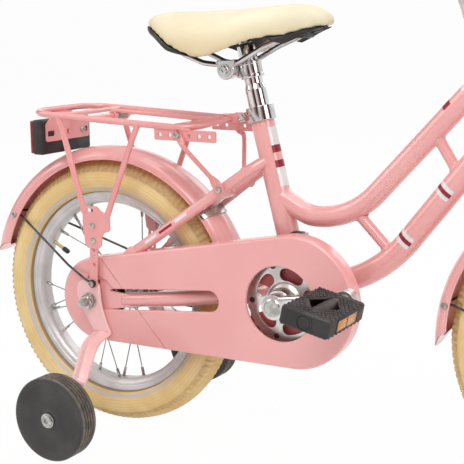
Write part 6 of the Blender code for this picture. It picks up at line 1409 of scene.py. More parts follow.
coaster = plate(armRing, [ringAt(0, 0, 0.0054, 28), ringAt(0.116, -0.018, 0.0022, 18)], 0.0430, 0.0455, 0.0004)
addPiece("coasterArm", [coaster], darkSteel, "frame", ["coaster_arm"], 34)

# stabiliser brackets: a pressed strip with a raised rib and rounded ends, carried down and out
bracketSizes = {"wall": 0.004, "rib": 0.0016, "foot": 0.1485, "top": 0.0605, "boltEnd": 0.153 + 0.027 + 0.0008}
strip = np.array([(-.0025, .0350, .028, 0), (-.0015, .0370, 0, 0), (.0080, .0300, -.022, 0), (.0180, .0260, -.040, 0),
                  (.0210, .0250, -.049, .35), (.0440, .0230, -.073, .93), (.0440, .0220, -.080, 1),
                  (.0245, .0220, -.1275, 1)])


def bracketSkin(way):
    # rows follow the strip; across each row the skin rises in a soft rib, both faces together
    rows = np.vstack([curveThrough(strip[:4], 8)[:-1], curveThrough(strip[3:6], 8)[:-1], curveThrough(strip[5:], 8)])
    x, wide, z, out = rows.T
    y = bracketSizes["top"] + (bracketSizes["foot"] - bracketSizes["top"]) * out
    spots = np.stack([x, y, z], 1)
    run = np.gradient(spots, axis=0)
    run = unit(run * [0, 1, 1])
    face = np.stack([0 * x, -run[:, 2], run[:, 1]], 1)
    half = wide / 2
    fromTop, fromFoot = z[0] - z, z - z[-1]
    half = half * np.sqrt(np.clip(1 - (1 - np.clip(fromTop / 0.009, 0.02, 1)) ** 2, 0.05, 1))
    half = half * np.sqrt(np.clip(1 - (1 - np.clip(fromFoot / 0.0105, 0.02, 1)) ** 2, 0.03, 1))
    u = np.linspace(-1, 1, 21)
    edge = bracketSizes["wall"] / 2
    flatten = np.sqrt(np.clip(1 - np.clip((np.abs(u) - 0.93) / 0.07, 0, 1) ** 2, 0, 1))
    ribShare = np.clip((fromTop - 0.030) / 0.012, 0, 1) * np.clip((fromFoot - 0.022) / 0.012, 0, 1)
    rib = 1.5 * bracketSizes["rib"] * ribShare[:, None] * np.clip(1 - np.abs(u[None]) / 0.62, 0, 1)
    rows = []
    for sign, order in ((1, 1), (-1, -1)):
        shift = (rib + sign * edge * np.maximum(flatten, 0.25))[:, ::order]
        sideways = (half[:, None] * u[None])[:, ::order, None] * xAxis
        rows.append(spots[:, None] + sideways + shift[..., None] * face[:, None])
    grid = np.concatenate(rows, 1) * [1, way, 1]
    return shell(grid)


for way, side in ((-1, "Right"), (1, "Left")):
    # the brackets' paler pink is painted light
    addPiece("bracket" + side, [bracketSkin(way)], litBracketPaint, "frame", ["stabiliser_bracket_" + side.lower()], 50)
    end = bracketSizes["boltEnd"]
    fixings("bracketBolt" + side, [
        bar(trainerSpot + way * 0.1440 * yAxis, trainerSpot + way * (end + 0.001) * yAxis, 0.004, 24),
        bolts([trainerSpot + way * end * yAxis], way * yAxis, 0.0080, 0.0030, 6, 0.42),
        collar(0.0042, 0.0092, end - 0.0001, end + 0.0009, trainerSpot, way * yAxis, 0.0003, 2, 40),
        bolts([trainerSpot + way * 0.1466 * yAxis], -way * yAxis, 0.0075, 0.0050, 6, 0.4)])

# stabiliser wheels: dished faces, a raised hub and five ribs round the tread
trainerSizes = {"radius": 0.0516, "groove": 0.0487, "tread": 0.0224, "ribs": 5, "middle": 0.1665}
crown = []
for k in range(trainerSizes["ribs"]):
    top, low = (trainerSizes["tread"] * (0.5 - step / trainerSizes["ribs"]) for step in (k, k + 1))
    crown += [(trainerSizes["radius"], top - 0.0002), (trainerSizes["radius"], low + 0.0017)]
    if k < trainerSizes["ribs"] - 1:
        crown += [(trainerSizes["groove"], low + 0.0013), (trainerSizes["groove"], low + 0.0002)]
sideFace = [(0.0044, 0.0132), (0.0105, 0.0132), (0.0118, 0.0120), (0.0150, 0.0104), (0.0330, 0.0100), (0.0395, 0.0112),
            (0.0425, 0.0128), (0.0465, 0.0134), (0.0492, 0.0130), (0.0506, 0.0122)]
trainerProfile = filleted(sideFace + crown + flipped(sideFace), 0.0004, 2, True)
for way, side in ((-1, "right"), (1, "left")):
    middle = trainerSpot + way * trainerSizes["middle"] * yAxis
    addPiece("trainerWheel" + side.title(), [turned(trainerProfile, middle, way * yAxis, 128, ring=True)],
             trainerRubber, "stabiliser_" + side[0], ["stabiliser_wheel_" + side], 32)
print("scene: stabilisers ready")


# steel strap over the rear guard by the bridge: two guard surfaces 2 mm apart, closed into one band
strapAngles = np.radians(np.linspace(42.4, 38.2, 4))[:, None]
strapSwings = np.radians(np.linspace(-84, 84, 48))[None]
strapOuter, strapInner = (guardPoint(strapAngles, strapSwings, np.array(inset), rearCrown, rearEdge)
                          for inset in (-0.0022, -0.0002))
fixings("guardStrap", [shell(np.concatenate([strapOuter, strapInner[:, ::-1]], 1))], sharp=40)
stopPlace = bracketPlace + 0.0755 * seatUp + 0.0145 * xAxis
addPiece("caseStop", [roundBox(stopPlace - [0.004, 0.0150, 0.0050], stopPlace + [0.0105, -0.0010, 0.0050], 0.0015)],
         blackPlastic, "frame", (), 40)
fixings("caseStopTip", [roundBox(stopPlace + [0.0104, -0.0140, -0.0045], stopPlace + [0.0150, -0.0020, 0.0045],
                                 0.0015)], sharp=40)
fixings("stayBolts", [bolts([stayEye + way * 0.0681 * yAxis], way * yAxis, 0.0040, 0.0022, 6, 0.5) for way in (-1, 1)])


# rack: the tube loop, cross bars, flattened ears, side plates with holes, and the reflector's plate
def rail(x):
    # height of the rack's tube, falling forward
    return 0.2338 - 0.04 * x


rackHalf, rackTube, legTube, zincHead = 0.0656, 0.004, 0.0037, (0.0022, 24, 0.5)
plateTop, rearTop = 0.22598, rail(-0.086)
plateMid = plateTop - 0.00675
loop = [(0.1790, -0.0086, 0.23615), (0.158, -rackHalf, rail(0.158)), (-0.086, -rackHalf, rearTop),
        (-0.086, rackHalf, rearTop), (0.158, rackHalf, rail(0.158)), (0.1790, 0.0086, 0.23615)]
loopPath = spaced(filleted(loop, [0.035] * 4, 14), 420)
flat = np.exp(-(np.minimum(np.arange(420), 419 - np.arange(420)) / 9.0) ** 2)
rackShells = [shell(carried(loopPath, squashed(rackTube, 24, 1 + 0.20 * flat, 1 - 0.55 * flat), zAxis))]
for x in (-0.035, 0.009, 0.130):
    rackShells.append(bar((x, -rackHalf, rail(x)), (x, rackHalf, rail(x)), 0.003, 20))
    for way in (-1, 1):
        spot = (x, way * rackHalf, rail(x))
        rackShells.append(weld(spot, (0, -way, 0), 0.003, spot, (1, 0, -0.04), rackTube, 0.0016))
sideRing = rounded(0.108, 0.194, plateTop - 0.0135, plateTop, 0.0022)
sideHoles = [ringAt(x, plateMid, 0.0023, 24) for x in (0.1160, 0.1300, 0.1570, 0.1710, 0.1850)]
earRing = hull([(0.19612, 0.23739, 0.0053), (0.17962, 0.23619, 0.0058)], 24)
earPlate = plate(earRing, [ringAt(0.19612, 0.23739, 0.0033, 24)], 0.0058, 0.0088, 0.0006)
sidePlate = plate(sideRing, sideHoles, rackHalf - 0.00125, rackHalf + 0.00125, 0.0004)
rackShells += [earPlate, sidePlate] + mirrored([earPlate, sidePlate])
for way in (-1, 1):
    for x in (0.112, 0.1475, 0.1545):
        rackShells.append(bar((x - 0.004, way * rackHalf, plateTop + 0.0002),
                              (x + 0.004, way * rackHalf, plateTop + 0.0001), 0.0022, 12, 0.0009))
slots = [rounded(left, right, rearTop - 0.0330, rearTop - 0.0262, edge)
         for left, right, edge in ((-0.0408, -0.0272, 0.0016), (0.0272, 0.0408, 0.0016), (-0.0015, 0.0015, 0.0014))]
mountRing = filleted([(-0.0440, rearTop - 0.0400), (0.0440, rearTop - 0.0400), (0.0440, rearTop - 0.0170),
                      (0.0330, rearTop - 0.0080), (-0.0330, rearTop - 0.0080), (-0.0440, rearTop - 0.0170)],
                     0.0030, 5, True)
rackShells.append(plate(mountRing, slots, 0.0, 0.002, 0.0005, (np.array([-0.0767, 0, 0]), yAxis, zAxis, xAxis)))
hookPath = filleted([(-0.0765, 0, rearTop - 0.0180), (-0.0765, 0, rearTop - 0.0062), (-0.0840, 0, rearTop - 0.0036)],
                    0.004, 6)
rackShells.append(shell(carried(spaced(hookPath, 24), rounded(-0.001, 0.001, -0.016, 0.016, 0.0007, 2), yAxis)))
for y in (-0.0105, 0.0105):
    rackShells.append(tube([(-0.0758, y, rearTop - 0.0200), (-0.0758, y, rearTop - 0.0085)], 0.0016, yAxis, 12,
                           dome=0.0012))
addPiece("rackDeck", rackShells, rackPaint, "frame", ["rack_deck"], 40)
fixings("rackBolts", [bolts([(0.142, way * 0.0697, plateMid + 0.0012) for way in (-1, 1)],
                            np.array([(0, way, 0) for way in (-1, 1)]), 0.0042, *zincHead),
                      bolts([(-0.0747, 0.0300, rearTop - 0.0296)], xAxis, 0.0042, *zincHead)])

# rack legs: bent tubes flattened on to a cut plate
legRing = filleted([(-.003, .124), (.019, .124), (.024, .119), (.038, .113), (.038, .094), (.027, .090), (.024, .074),
                    (.020, .070), (.004, .070), (0, .074), (-.003, .098)],
                   [.003, .003, .004, .004, .004, .006, .003, .003, .003, .003, .006], 4, True)
legPlate = plate(legRing, [rounded(0.004, 0.015, 0.1165, 0.1205, 0.0018)], 0.0651, 0.0676, 0.0005)
legShells, legWelds = [legPlate], []
for top, path, bend, steps, count in ((-0.037, [(-0.0315, rackHalf, 0.2190), (0.0, 0.0668, 0.1150)], 0.02, 8, 60),
                                      (0.0835, [(0.076, rackHalf, rail(0.0835) - 0.017), (0.0335, 0.0668, 0.1100)],
                                       0.022, 10, 70)):
    leg = spaced(filleted([(top, rackHalf, rail(top) - 0.0015)] + path, bend, steps), count)
    share = np.exp(-((count - 1 - np.arange(count)) / 7.0) ** 2)
    legShells.append(shell(carried(leg, squashed(legTube, 20, 1 + 0.25 * share, 1 - 0.45 * share), yAxis)))
    spot = (top, rackHalf, rail(top))
    legWelds.append(weld(spot, unit(leg[1] - leg[0]), legTube, spot, (1, 0, -0.04), rackTube, 0.0018))
legShells += legWelds
strapPlate = plate(hull([(0.013, 0.103, 0.006), (0.008, 0.024, 0.0062)], 30),
                   [ringAt(x, z, 0.0021, 20) for x, z in ((0.0105, 0.0675), (0.0106, 0.059), (0.0106, 0.0487))],
                   0.0628, 0.0648, 0.0004)
upperEnd = plate(hull([(0.142, plateMid + 0.0005, 0.0048), (0.1475, plateMid - 0.0070, 0.0044)], 24), (),
                 0.06715, 0.06955, 0.0005)
lowerEnd = plate(hull([(0.1800, 0.15229, 0.0070), (0.1752, 0.1590, 0.0064), (0.1695, 0.1655, 0.0036)], 24), (),
                 0.03599, 0.03839, 0.0005)
strutPath = spaced(curveThrough([(0.1455, 0.0694, plateMid - 0.0040), (0.1485, 0.0700, plateMid - 0.0085),
                                 (0.1535, 0.0690, plateMid - 0.0160), (0.1690, 0.0415, 0.1690),
                                 (0.1735, 0.0376, 0.1612), (0.1765, 0.0374, 0.1570)], 8), 60)
share = np.exp(-(np.minimum(np.arange(60), 59 - np.arange(60)) / 6.5) ** 2)
strutShank = shell(carried(strutPath, squashed(0.0028, 20, 1 + 0.65 * share, 1 - 0.45 * share), yAxis))
for way, side in ((-1, "Right"), (1, "Left")):
    for name, nodeName, parts in (("rackLeg", "rack_leg_", legShells), ("rackStrap", "rack_strap_", [strapPlate]),
                                  ("rackStrut", "rack_strut_", [upperEnd, lowerEnd, strutShank])):
        addPiece(name + side, parts if way > 0 else mirrored(parts), rackPaint, "frame", [nodeName + side.lower()], 40)
    fixings("legBolts" + side, [
        bolts([(0.0126, way * 0.0676, 0.0994), (0.0134, way * 0.0676, 0.0802)], way * yAxis, 0.0036, *zincHead),
        bolts([(0.1800, way * 0.0384, 0.1523)], way * yAxis, 0.0040, *zincHead)])

# reflector: black housing with a rim and a slightly crowned lens
housing, rearPad, glass = (
    roundBox((left, -half, rearTop - down), (right, half, rearTop - up), edge, per)
    for left, right, half, down, up, edge, per in ((-0.0940, -0.0770, 0.0500, 0.0565, 0.0115, 0.0032, 4),
                                                   (-0.0820, -0.07675, 0.0470, 0.0530, 0.0150, 0.0022, 3),
                                                   (-0.0980, -0.0938, 0.0488, 0.0553, 0.0127, 0.0019, 4)))
addPiece("reflectorHousing", [housing, rearPad], blackPlastic, "frame", ["rear_reflector_housing"], 40)
addPiece("reflectorLens", [glass], redLens, "frame", ["rear_reflector_lens"], 40)

# rack clip: one wire with an eye at each end, and its coiled spring
clipSizes = {"wire": 0.0025, "eye": (0.009, 0.23344), "half": 0.013, "coil": 0.0055, "turns": 6}
clipHalf = [(x, -clipSizes["half"], z)
            for x, z in ((0.009, 0.23994), (0.130, 0.2344), (0.150, 0.2344), (0.168, 0.2384))]
clipLine = np.vstack([clipHalf, np.array(clipHalf)[::-1] * [1, -1, 1]])
clipPath = spaced(filleted(clipLine, [0.05, 0.03, 0.010, 0.010, 0.03, 0.05], 10), 260)
eyeX, eyeZ = clipSizes["eye"]
clipEyes = [collar(0.0033, 0.0063, 0.0025, -0.0025, (eyeX, way * clipSizes["half"], eyeZ), yAxis, 0.0007, 3, 32)
            for way in (-1, 1)]
addPiece("clipWire", [tube(clipPath, clipSizes["wire"], zAxis, 16, dome=0.002)] + clipEyes, rackPaint, "rack_clip",
         ["clip_wire"], 40)
a = tau * np.linspace(0, clipSizes["turns"], clipSizes["turns"] * 22 + 1)
coil = np.stack([eyeX + clipSizes["coil"] * np.cos(a), -0.0096 + 0.0032 * a / tau,
                 eyeZ - clipSizes["coil"] * np.sin(a)], 1)
tails = np.array([(0, 0, 0.006), (0, 0, 0.003)])
coil = np.vstack([coil[0] + tails, coil, coil[-1] - tails[::-1]])
addPiece("clipSpring", [tube(coil, 0.0008, yAxis, 10)], zincSteel, "rack_clip", ["clip_spring"], 60)
print("scene: rack ready")

# seat clamp collar with its two ears and bolt, the post and the saddle's clamp
seatSizes = {"post": 0.0127, "collar": 0.2149, "bolt": 0.2239, "boltBack": 0.0220, "clamp": 0.2778, "pivotBack": 0.0222}
earOutline = hull([(0.0000, 0.0158, 0.0062), (0.0000, seatSizes["boltBack"] + 0.0002, 0.0056)], 20)
earFrame = (seat(seatSizes["bolt"]), seatUp, seatBack, yAxis)
boltEnd = [seat(seatSizes["bolt"], seatSizes["boltBack"], y) for y in (-0.0090, 0.0090, -0.0089, 0.0089)]
addPiece("seatCollar", [collar(0.01455, 0.0172, 0.0, 0.018, seat(seatSizes["collar"]), seatUp, 0.0007, 4, 96),
                        bar(boltEnd[0], boltEnd[1], 0.003, 20),
                        bolts([boltEnd[2]], -yAxis, 0.0048, 0.0034, 24, 0.5),
                        bolts([boltEnd[3]], yAxis, 0.0048, 0.0034, 6, 0.4)], railSteel, "frame", ["seat_clamp"], 36)
addPiece("seatEars", [plate(earOutline, [ringAt(0.0, seatSizes["boltBack"], 0.0031, 20)], low, low + 0.0048, 0.0008,
                            earFrame) for low in (-0.0055, 0.0007)], rackPaint, "frame", (), 40)
postProfile = filleted([(0.0, 0.3107), (0.0070, 0.3105), (0.0110, 0.3075), (0.0110, 0.2600),
                        (seatSizes["post"], 0.2535), (seatSizes["post"], 0.1470), (0.0, 0.1468)],
                       [0.001, 0.002, 0.004, 0.006, 0.001, 0.0004], 6)
postDome = filleted([(0, 0.3100), (0.0078, 0.3100), (0.0078, 0.3140), (0.0050, 0.3185), (0, 0.3195)],
                    [0.0004, 0.004, 0.004], 6)
addPiece("seatPost", [turned(postProfile, bracketPlace, seatUp, 72), turned(postDome, bracketPlace, seatUp, 48)],
         chrome, "post", ["seat_post"], 40)
clampPlace = seat(seatSizes["clamp"])
saddlePivot = clampPlace - seatSizes["pivotBack"] * xAxis
pivotFlat = saddlePivot[[0, 2]]
ringHalf = [(0.0113, -0.010), (0.0143, -0.010), (0.0143, -0.0065), (0.0138, -0.0058)]
clampShells = [turned(filleted(ringHalf + flipped(ringHalf), 0.0005, 3, True), clampPlace, seatUp, 72, ring=True),
               collar(0.0041, 0.0095, -0.0090, 0.0090, saddlePivot, yAxis, 0.0006, 3, 48)]
cheek = hull([(*pivotFlat, 0.0088), (pivotFlat[0] + 0.0125, pivotFlat[1] - 0.0010, 0.0078)], 20)
for way in (-1, 1):
    clampShells.append(slab(cheek, [ringAt(*pivotFlat, 0.0043, 20)], way, 0.0045, 0.0083, 0.0006))
addPiece("saddleClamp", clampShells, railSteel, "post", ["saddle_clamp"], 36)

# rails: one bent wire, the toothed discs that grip it, and the bolt through them
railHalf = np.array([(-.075, .030, .0426), (-.056, .0275, .018), (-.030, .0245, .008), (-.012, .020, .006),
                     (.012, .020, .007), (.050, .020, .028), (.083, .015, .0408)])
railLine = np.vstack([railHalf, [(.094, 0, .0423)], railHalf[::-1] * [1, -1, 1]])
railBends = [0.02, 0.03, 0.04, 0.03, 0.03, 0.02]
railPath = spaced(filleted(railLine, railBends + [0.008] + railBends[::-1], 8), 300) + saddlePivot
railShells = [tube(railPath, 0.0033, zAxis, 18, dome=0.003)]
disc = filleted([(0.0041, 0.0093), (0.0105, 0.0093), (0.0116, 0.0110), (0.0116, 0.0228), (0.0108, 0.0240),
                 (0.0041, 0.0240)], 0.0008, 3, True)
nut = filleted([(0.0041, 0.0240), (0.0078, 0.0240), (0.0074, 0.0252), (0.0041, 0.0252)], 0.0003, 2, True)
grip = hull([(*(pivotFlat + [-0.010, 0.0068]), 0.0042), (*(pivotFlat + [0.010, 0.0076]), 0.0042)], 14)
flag = filleted(np.array([(-0.0100, 0.0040), (0.0128, 0.0040), (0.0136, 0.0150), (0.0106, 0.0118), (-0.0100, 0.0106)])
                + pivotFlat, 0.0010, 3, True)
for way in (-1, 1):
    railShells += [turned(disc, saddlePivot, way * yAxis, 72, ring=True),
                   turned(nut, saddlePivot, way * yAxis, 40, ring=True),
                   slab(grip, (), way, 0.0105, 0.0235, 0.0007), slab(flag, (), way, 0.0236, 0.0246, 0.0002)]
railShells.append(bar(saddlePivot - 0.0262 * yAxis, saddlePivot + 0.0262 * yAxis, 0.004, 20))
for way in (-1, 1):
    railShells.append(bolts([saddlePivot + way * 0.0250 * yAxis], way * yAxis, 0.0058, 0.0040, 6, 0.45))
addPiece("saddleRails", railShells, railSteel, "saddle", ["saddle_rails"], 36)

# saddle: stations give place along, half width, crown height and skirt height over the pivot
stations = np.array([
    (-.1240, .0040, .0555, .0480), (-.1190, .0270, .0620, .0510), (-.1050, .0450, .0680, .0508),
    (-.0830, .0610, .0698, .0450), (-.0560, .0710, .0690, .0312), (-.0270, .0760, .0690, .0205),
    (-.0080, .0755, .0700, .0155), (.0120, .0700, .0715, .0215), (.0300, .0580, .0735, .0300),
    (.0500, .0410, .0760, .0380), (.0760, .0285, .0790, .0410), (.1050, .0225, .0785, .0490),
    (.1270, .0155, .0700, .0528), (.1350, .0040, .0610, .0555)])
padSizes = {"thick": 0.020, "edge": 0.011, "swell": 0.0016, "cap": 0.005, "voxel": 0.004}


def saddleRow(rows, angles, inset, rise, drop=0.0):
    # an arch over each station: height is skirt plus (crown - skirt) times cos^.72 of the angle,
    # width is half the station's times sin^.86
    along, half, crown, skirt = (rows[:, k, None] for k in range(4))
    wide = cornered(np.sin(angles), 0.86) * np.maximum(half - inset, half * 0.35)
    high = skirt + drop + np.maximum(crown - skirt - rise, 0.0015) * np.abs(np.cos(angles)) ** 0.72
    return saddlePivot + np.stack([np.broadcast_to(along, high.shape), wide, high], -1)


fine = curveThrough(stations, 8)
fine[:, 0] = np.where(fine[:, 0] < -0.05, -0.05 + (fine[:, 0] + 0.05) * 0.845, fine[:, 0])
fine[:, 1] = np.maximum(fine[:, 1], 0.003)
arch = np.linspace(-math.pi / 2, math.pi / 2, 41)[None]
small = fine.copy()
small[:, 0] = small[:, 0] * (1 - padSizes["swell"] / 0.13)
top = saddleRow(small, arch, padSizes["swell"], padSizes["swell"])
under = saddleRow(small, arch, padSizes["edge"], padSizes["thick"])
padSkin = shell(np.concatenate([top, under[:, ::-1]], 1))


def cushion(name, skin, material, body, nodeName):
    # voxel remesh, then a cloth blown up by pressure with its underside pinned; no point may move
    # farther than the cap, and the rest is one level of subdivision
    plain = bpy.data.meshes.new(name + "Plain")
    plain.from_pydata((skin[0] + rearHub).tolist(), [], sum((f.tolist() for f in skin[1]), []))
    source = bpy.data.objects.new(name + "Plain", plain)
    bpy.context.scene.collection.objects.link(source)
    remesh = source.modifiers.new("remesh", "REMESH")
    remesh.mode, remesh.voxel_size = "VOXEL", padSizes["voxel"]
    mesh = bpy.data.meshes.new_from_object(source.evaluated_get(bpy.context.evaluated_depsgraph_get()))
    bpy.data.objects.remove(source)
    mesh.name = name
    start = np.empty(len(mesh.vertices) * 3, np.float32)
    mesh.vertices.foreach_get("co", start)
    start = start.reshape(-1, 3).astype(float)
    pairs = np.empty(len(mesh.edges) * 2, np.int32)
    mesh.edges.foreach_get("vertices", pairs)
    pairs = pairs.reshape(-1, 2)
    degree = np.bincount(pairs.ravel(), minlength=len(start))[:, None]
    for share in (0.6, -0.62) * 4 + (0.5, 0.5):
        nearby = np.stack([np.bincount(pairs[:, 0], start[pairs[:, 1], k], len(start))
                           + np.bincount(pairs[:, 1], start[pairs[:, 0], k], len(start)) for k in range(3)], 1)
        start = start + share * (nearby / degree - start)
    mesh.vertices.foreach_set("co", start.astype(np.float32).ravel())
    mesh.update()
    piece = bpy.data.objects.new(name, mesh)
    bpy.context.scene.collection.objects.link(piece)
    normals = np.empty(len(start) * 3, np.float32)
    mesh.vertices.foreach_get("normal", normals)
    under = normals.reshape(-1, 3)[:, 2] < 0.05
    pin = piece.vertex_groups.new(name="pin")
    pin.add([int(k) for k in np.flatnonzero(under)], 1.0, "REPLACE")
    cloth = piece.modifiers.new("cloth", "CLOTH")
    cloth.settings.use_pressure, cloth.settings.uniform_pressure_force = True, 4.0
    cloth.settings.effector_weights.gravity = 0.0
    cloth.settings.vertex_group_mass = "pin"
    cloth.settings.tension_stiffness = cloth.settings.compression_stiffness = 25.0
    cloth.settings.bending_stiffness = 2.0
    for frameNumber in range(1, 21):
        bpy.context.scene.frame_set(frameNumber)
    blown = piece.evaluated_get(bpy.context.evaluated_depsgraph_get())
    moved = np.empty(len(start) * 3, np.float32)
    blown.data.vertices.foreach_get("co", moved)
    shift = moved.reshape(-1, 3) - start
    far = np.linalg.norm(shift, axis=1, keepdims=True)
    moved = start + shift * np.minimum(1, padSizes["cap"] / np.maximum(far, 1e-9))
    piece.modifiers.remove(cloth)
    piece.vertex_groups.remove(pin)
    bpy.context.scene.frame_set(1)
    mesh.vertices.foreach_set("co", moved.astype(np.float32).ravel())
    mesh.update()
    print("scene: cushion swelled by", round(1000 * float(far.max()), 1), "mm at most")
    mesh.shade_smooth()
    mesh.materials.clear()
    mesh.materials.append(material)
    rounder = piece.modifiers.new("rounder", "SUBSURF")
    rounder.levels = rounder.render_levels = 1
    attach(piece, body)
    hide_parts(nodeName)


cushion("saddlePad", padSkin, saddleVinyl, "saddle", "saddle_pad")

# base shell under the pad, with its turned down rim, sockets for the rails and stiffening ribs
inner = fine[9:-10].copy()
lift = np.interp(inner[:, 0], [-0.022, 0.000, 0.046, 0.064], [0.0, 1.0, 1.0, 0.0])
inner[:, 1] -= 0.015 * lift
inner[:, 3] += 0.010 * lift
baseTop = saddleRow(inner, arch, padSizes["edge"] + 0.0012, padSizes["thick"] + 0.0010, -0.0006)
baseUnder = saddleRow(inner, arch, padSizes["edge"] + 0.0032, padSizes["thick"] + 0.0010, -0.0031)
along, half, crown, skirt = (inner[:, k] for k in range(4))


def brim(way, inward, down):
    # the rim's points beside each station
    wide = way * np.maximum(half - inward, half * 0.3)
    return saddlePivot + np.stack([along, wide, skirt - down * rimDrop - 0.0002], -1)[:, None]


rimDrop = np.interp(along, [-0.110, -0.090, -0.055, -0.022, 0.046, 0.064, 0.079, 0.097, 0.122],
                    [0.0040, 0.0070, 0.0066, 0.0010, 0.0008, 0.0040, 0.0092, 0.0066, 0.0012])
rimIn = [(0.0036, -0.05), (0.0030, 0.10), (0.0030, 0.85), (0.0038, 1.0), (0.0056, 1.0), (0.0064, 0.85)]
baseGrid = np.concatenate([baseTop] + [brim(1, *p) for p in rimIn] + [baseUnder[:, ::-1]]
                          + [brim(-1, *p) for p in rimIn[::-1]], 1)
baseShells = [shell(baseGrid)]
for way in (-1, 1):
    spot = saddlePivot + [-0.0735, way * 0.0298, 0.0445]
    baseShells.append(roundBox(spot - [0.010, 0.0085, 0.0060], spot + [0.009, 0.0085, 0.0085], 0.0022))
    ribPath = saddlePivot + np.array([(-0.070, way * 0.045, 0.0380), (-0.040, way * 0.048, 0.0330),
                                      (-0.005, way * 0.045, 0.0360), (0.030, way * 0.030, 0.0430)])
    baseShells.append(tube(spaced(curveThrough(ribPath, 8), 30), 0.0032, zAxis, 12, dome=0.003))
noseSpot = saddlePivot + [0.0900, 0, 0.0438]
baseShells.append(roundBox(noseSpot - [0.0120, 0.0175, 0.0052], noseSpot + [0.0100, 0.0175, 0.0090], 0.0026))
addPiece("saddleBase", baseShells, basePlastic, "saddle", ["saddle_base"], 40)
print("scene: saddle ready")


# steering: fork with its welded crown and curved blades, stem, bar, grips, lever, brake and cable
def inSteer(piece):
    # local (ahead, sideways, along the steering axis) turned to the bike's places
    verts, faces = piece
    return steerFoot + verts[:, :1] * steerFore + verts[:, 1:2] * yAxis + verts[:, 2:] * steerUp, faces


crownAt, steererTop, stemAt = 0.2259, 0.3641, 0.4301
crownLow, cupLow = crownAt - 0.012, 0.2379
crownProfile = filleted([(0, crownLow), (0.0150, crownLow), (0.0175, crownLow + 0.005), (0.0175, cupLow - 0.0005),
                         (0.0125, cupLow), (0.0125, 0.3262), (0, 0.3262)], [0.002, 0.003, 0.0012, 0.0004, 0.0004], 4)
forkShells = [turned(crownProfile, steerFoot, steerUp, 72),
              collar(0.0113, 0.0125, 0.3260, steererTop + 0.003, steerFoot, steerUp, 0.0003, 2, 64),
              collar(0.0127, 0.0165, steererTop, steererTop + 0.005, steerFoot, steerUp, 0.0008, 3, 72)]
tip = steer(0.030, 0.0155)
dropHull = hull([(0.640, 0.0, 0.0112), (tip[0], tip[2], 0.0085)], 24)
s = np.linspace(0, 1, 120)
taper = 1 - 0.22 * np.clip((s - 0.55) / 0.45, 0, 1) ** 1.3
thin = 1 - 0.50 * np.clip((s - 0.93) / 0.07, 0, 1)
for way in (-1, 1):
    line = [steer(crownAt), steer(crownAt, 0, way * 0.026), steer(crownAt - 0.026, 0, way * 0.043),
            steer(0.075, 0.001, way * 0.045), steer(0.016, 0.019, way * 0.0475)]
    bladePath = spaced(filleted(line, [0.018, 0.030, 0.060], 12), 120)
    forkShells += [shell(carried(bladePath, squashed(0.009, 28, taper * thin, taper), steerFore)),
                   slab(dropHull, [ringAt(0.640, 0.0, 0.0049, 24)], way, 0.0465, 0.0505, 0.0006),
                   weld(steer(crownAt), way * yAxis, 0.009, steer(crownAt), steerUp, 0.0172, 0.0026)]
addPiece("forkTubes", forkShells, framePaint, "steering", ["fork"], 36)
brakeAt = crownAt - 0.001
fixings("brakeBolt", [bar(steer(brakeAt, 0.010), steer(brakeAt, 0.0316), 0.003, 16),
                      bolts([steer(brakeAt, 0.0277)], steerFore, 0.0055, 0.0040, 6, 0.45)], "steering")
nuts = [bolts([frontHub + way * 0.0545 * yAxis], way * yAxis, 0.0080, 0.0056, 6, 0.58) for way in (-1, 1)]
addPiece("frontAxle", [bar(frontHub - 0.0605 * yAxis, frontHub + 0.0605 * yAxis, 0.0045, 20)] + nuts, zincSteel,
         "steering", ["front_axle"], 34)

barPlace = np.array([0.50229, 0.0, 0.40758])
quillProfile = filleted([(0, 0.3263), (0.0110, 0.3263), (0.0110, 0.4330), (0.0104, 0.4401), (0, 0.4410)],
                        [0.0004, 0.002, 0.003], 5)
stemPath = spaced(curveThrough([steer(stemAt - 0.010, 0.000), steer(stemAt - 0.004, 0.012),
                                steer(stemAt - 0.001, 0.024), barPlace], 10), 40)
addPiece("stemBody", [turned(quillProfile, steerFoot, steerUp, 64), tube(stemPath[:-4], 0.0105, yAxis, 28),
                      collar(0.01115, 0.0158, -0.0200, 0.0200, barPlace, yAxis, 0.0010, 3, 72)],
         castAlloy, "steering", ["stem"], 36)
fixings("stemBolts", [bolts([steer(0.4402)], steerUp, 0.0062, 0.0040, 24, 0.5),
                      bolts([barPlace + 0.0155 * steerFore - 0.002 * steerUp], steerFore, 0.0045, 0.0034, 24, 0.5)],
        "steering")
barSide = [barPlace + [-0.092, 0.230, 0.100], barPlace + [-0.014, 0.108, 0.104], barPlace + [0, 0.045, 0]]
barLine = np.vstack([np.array(barSide) * [1, -1, 1], np.array(barSide)[::-1]])
barPath = spaced(filleted(barLine, [0.045, 0.032, 0.032, 0.045], 16), 260)
addPiece("handlebarTube", [tube(barPath, 0.011, xAxis, 36)], chrome, "steering", ["handlebar"], 50)

# grips: a flanged sleeve with finger waves and fine rings, its end domed
barEnd, outward = barPlace + [-0.092, -0.230, 0.100], unit(np.array([-0.5385, -0.8422, -0.0276]))
s = np.linspace(0.0, 0.0800, 200)
waves = 0.0146 + 0.0007 * np.cos(tau * s / 0.0200) - 0.00022 * (np.cos(tau * s / 0.0020) > 0.2)
gripLine = [(0.0, 0.0032), (0.0090, 0.0030), (0.0135, 0.0016), (0.0152, -0.0010)]
gripLine += [(r, -0.0020 - back) for r, back in zip(waves, s)]
gripLine += [(0.0150, -0.0835), (0.0163, -0.0855), (0.0170, -0.0875), (0.0170, -0.0900), (0.0160, -0.0916),
             (0.01125, -0.0920), (0.01125, 0.0002), (0.0, 0.0002)]
gripSkin = turned(gripLine, barEnd, outward, 64)
addPiece("gripRight", [gripSkin], creamRubber, "steering", ["grip_right"], 40)
addPiece("gripLeft", mirrored([gripSkin]), creamRubber, "steering", ["grip_left"], 40)

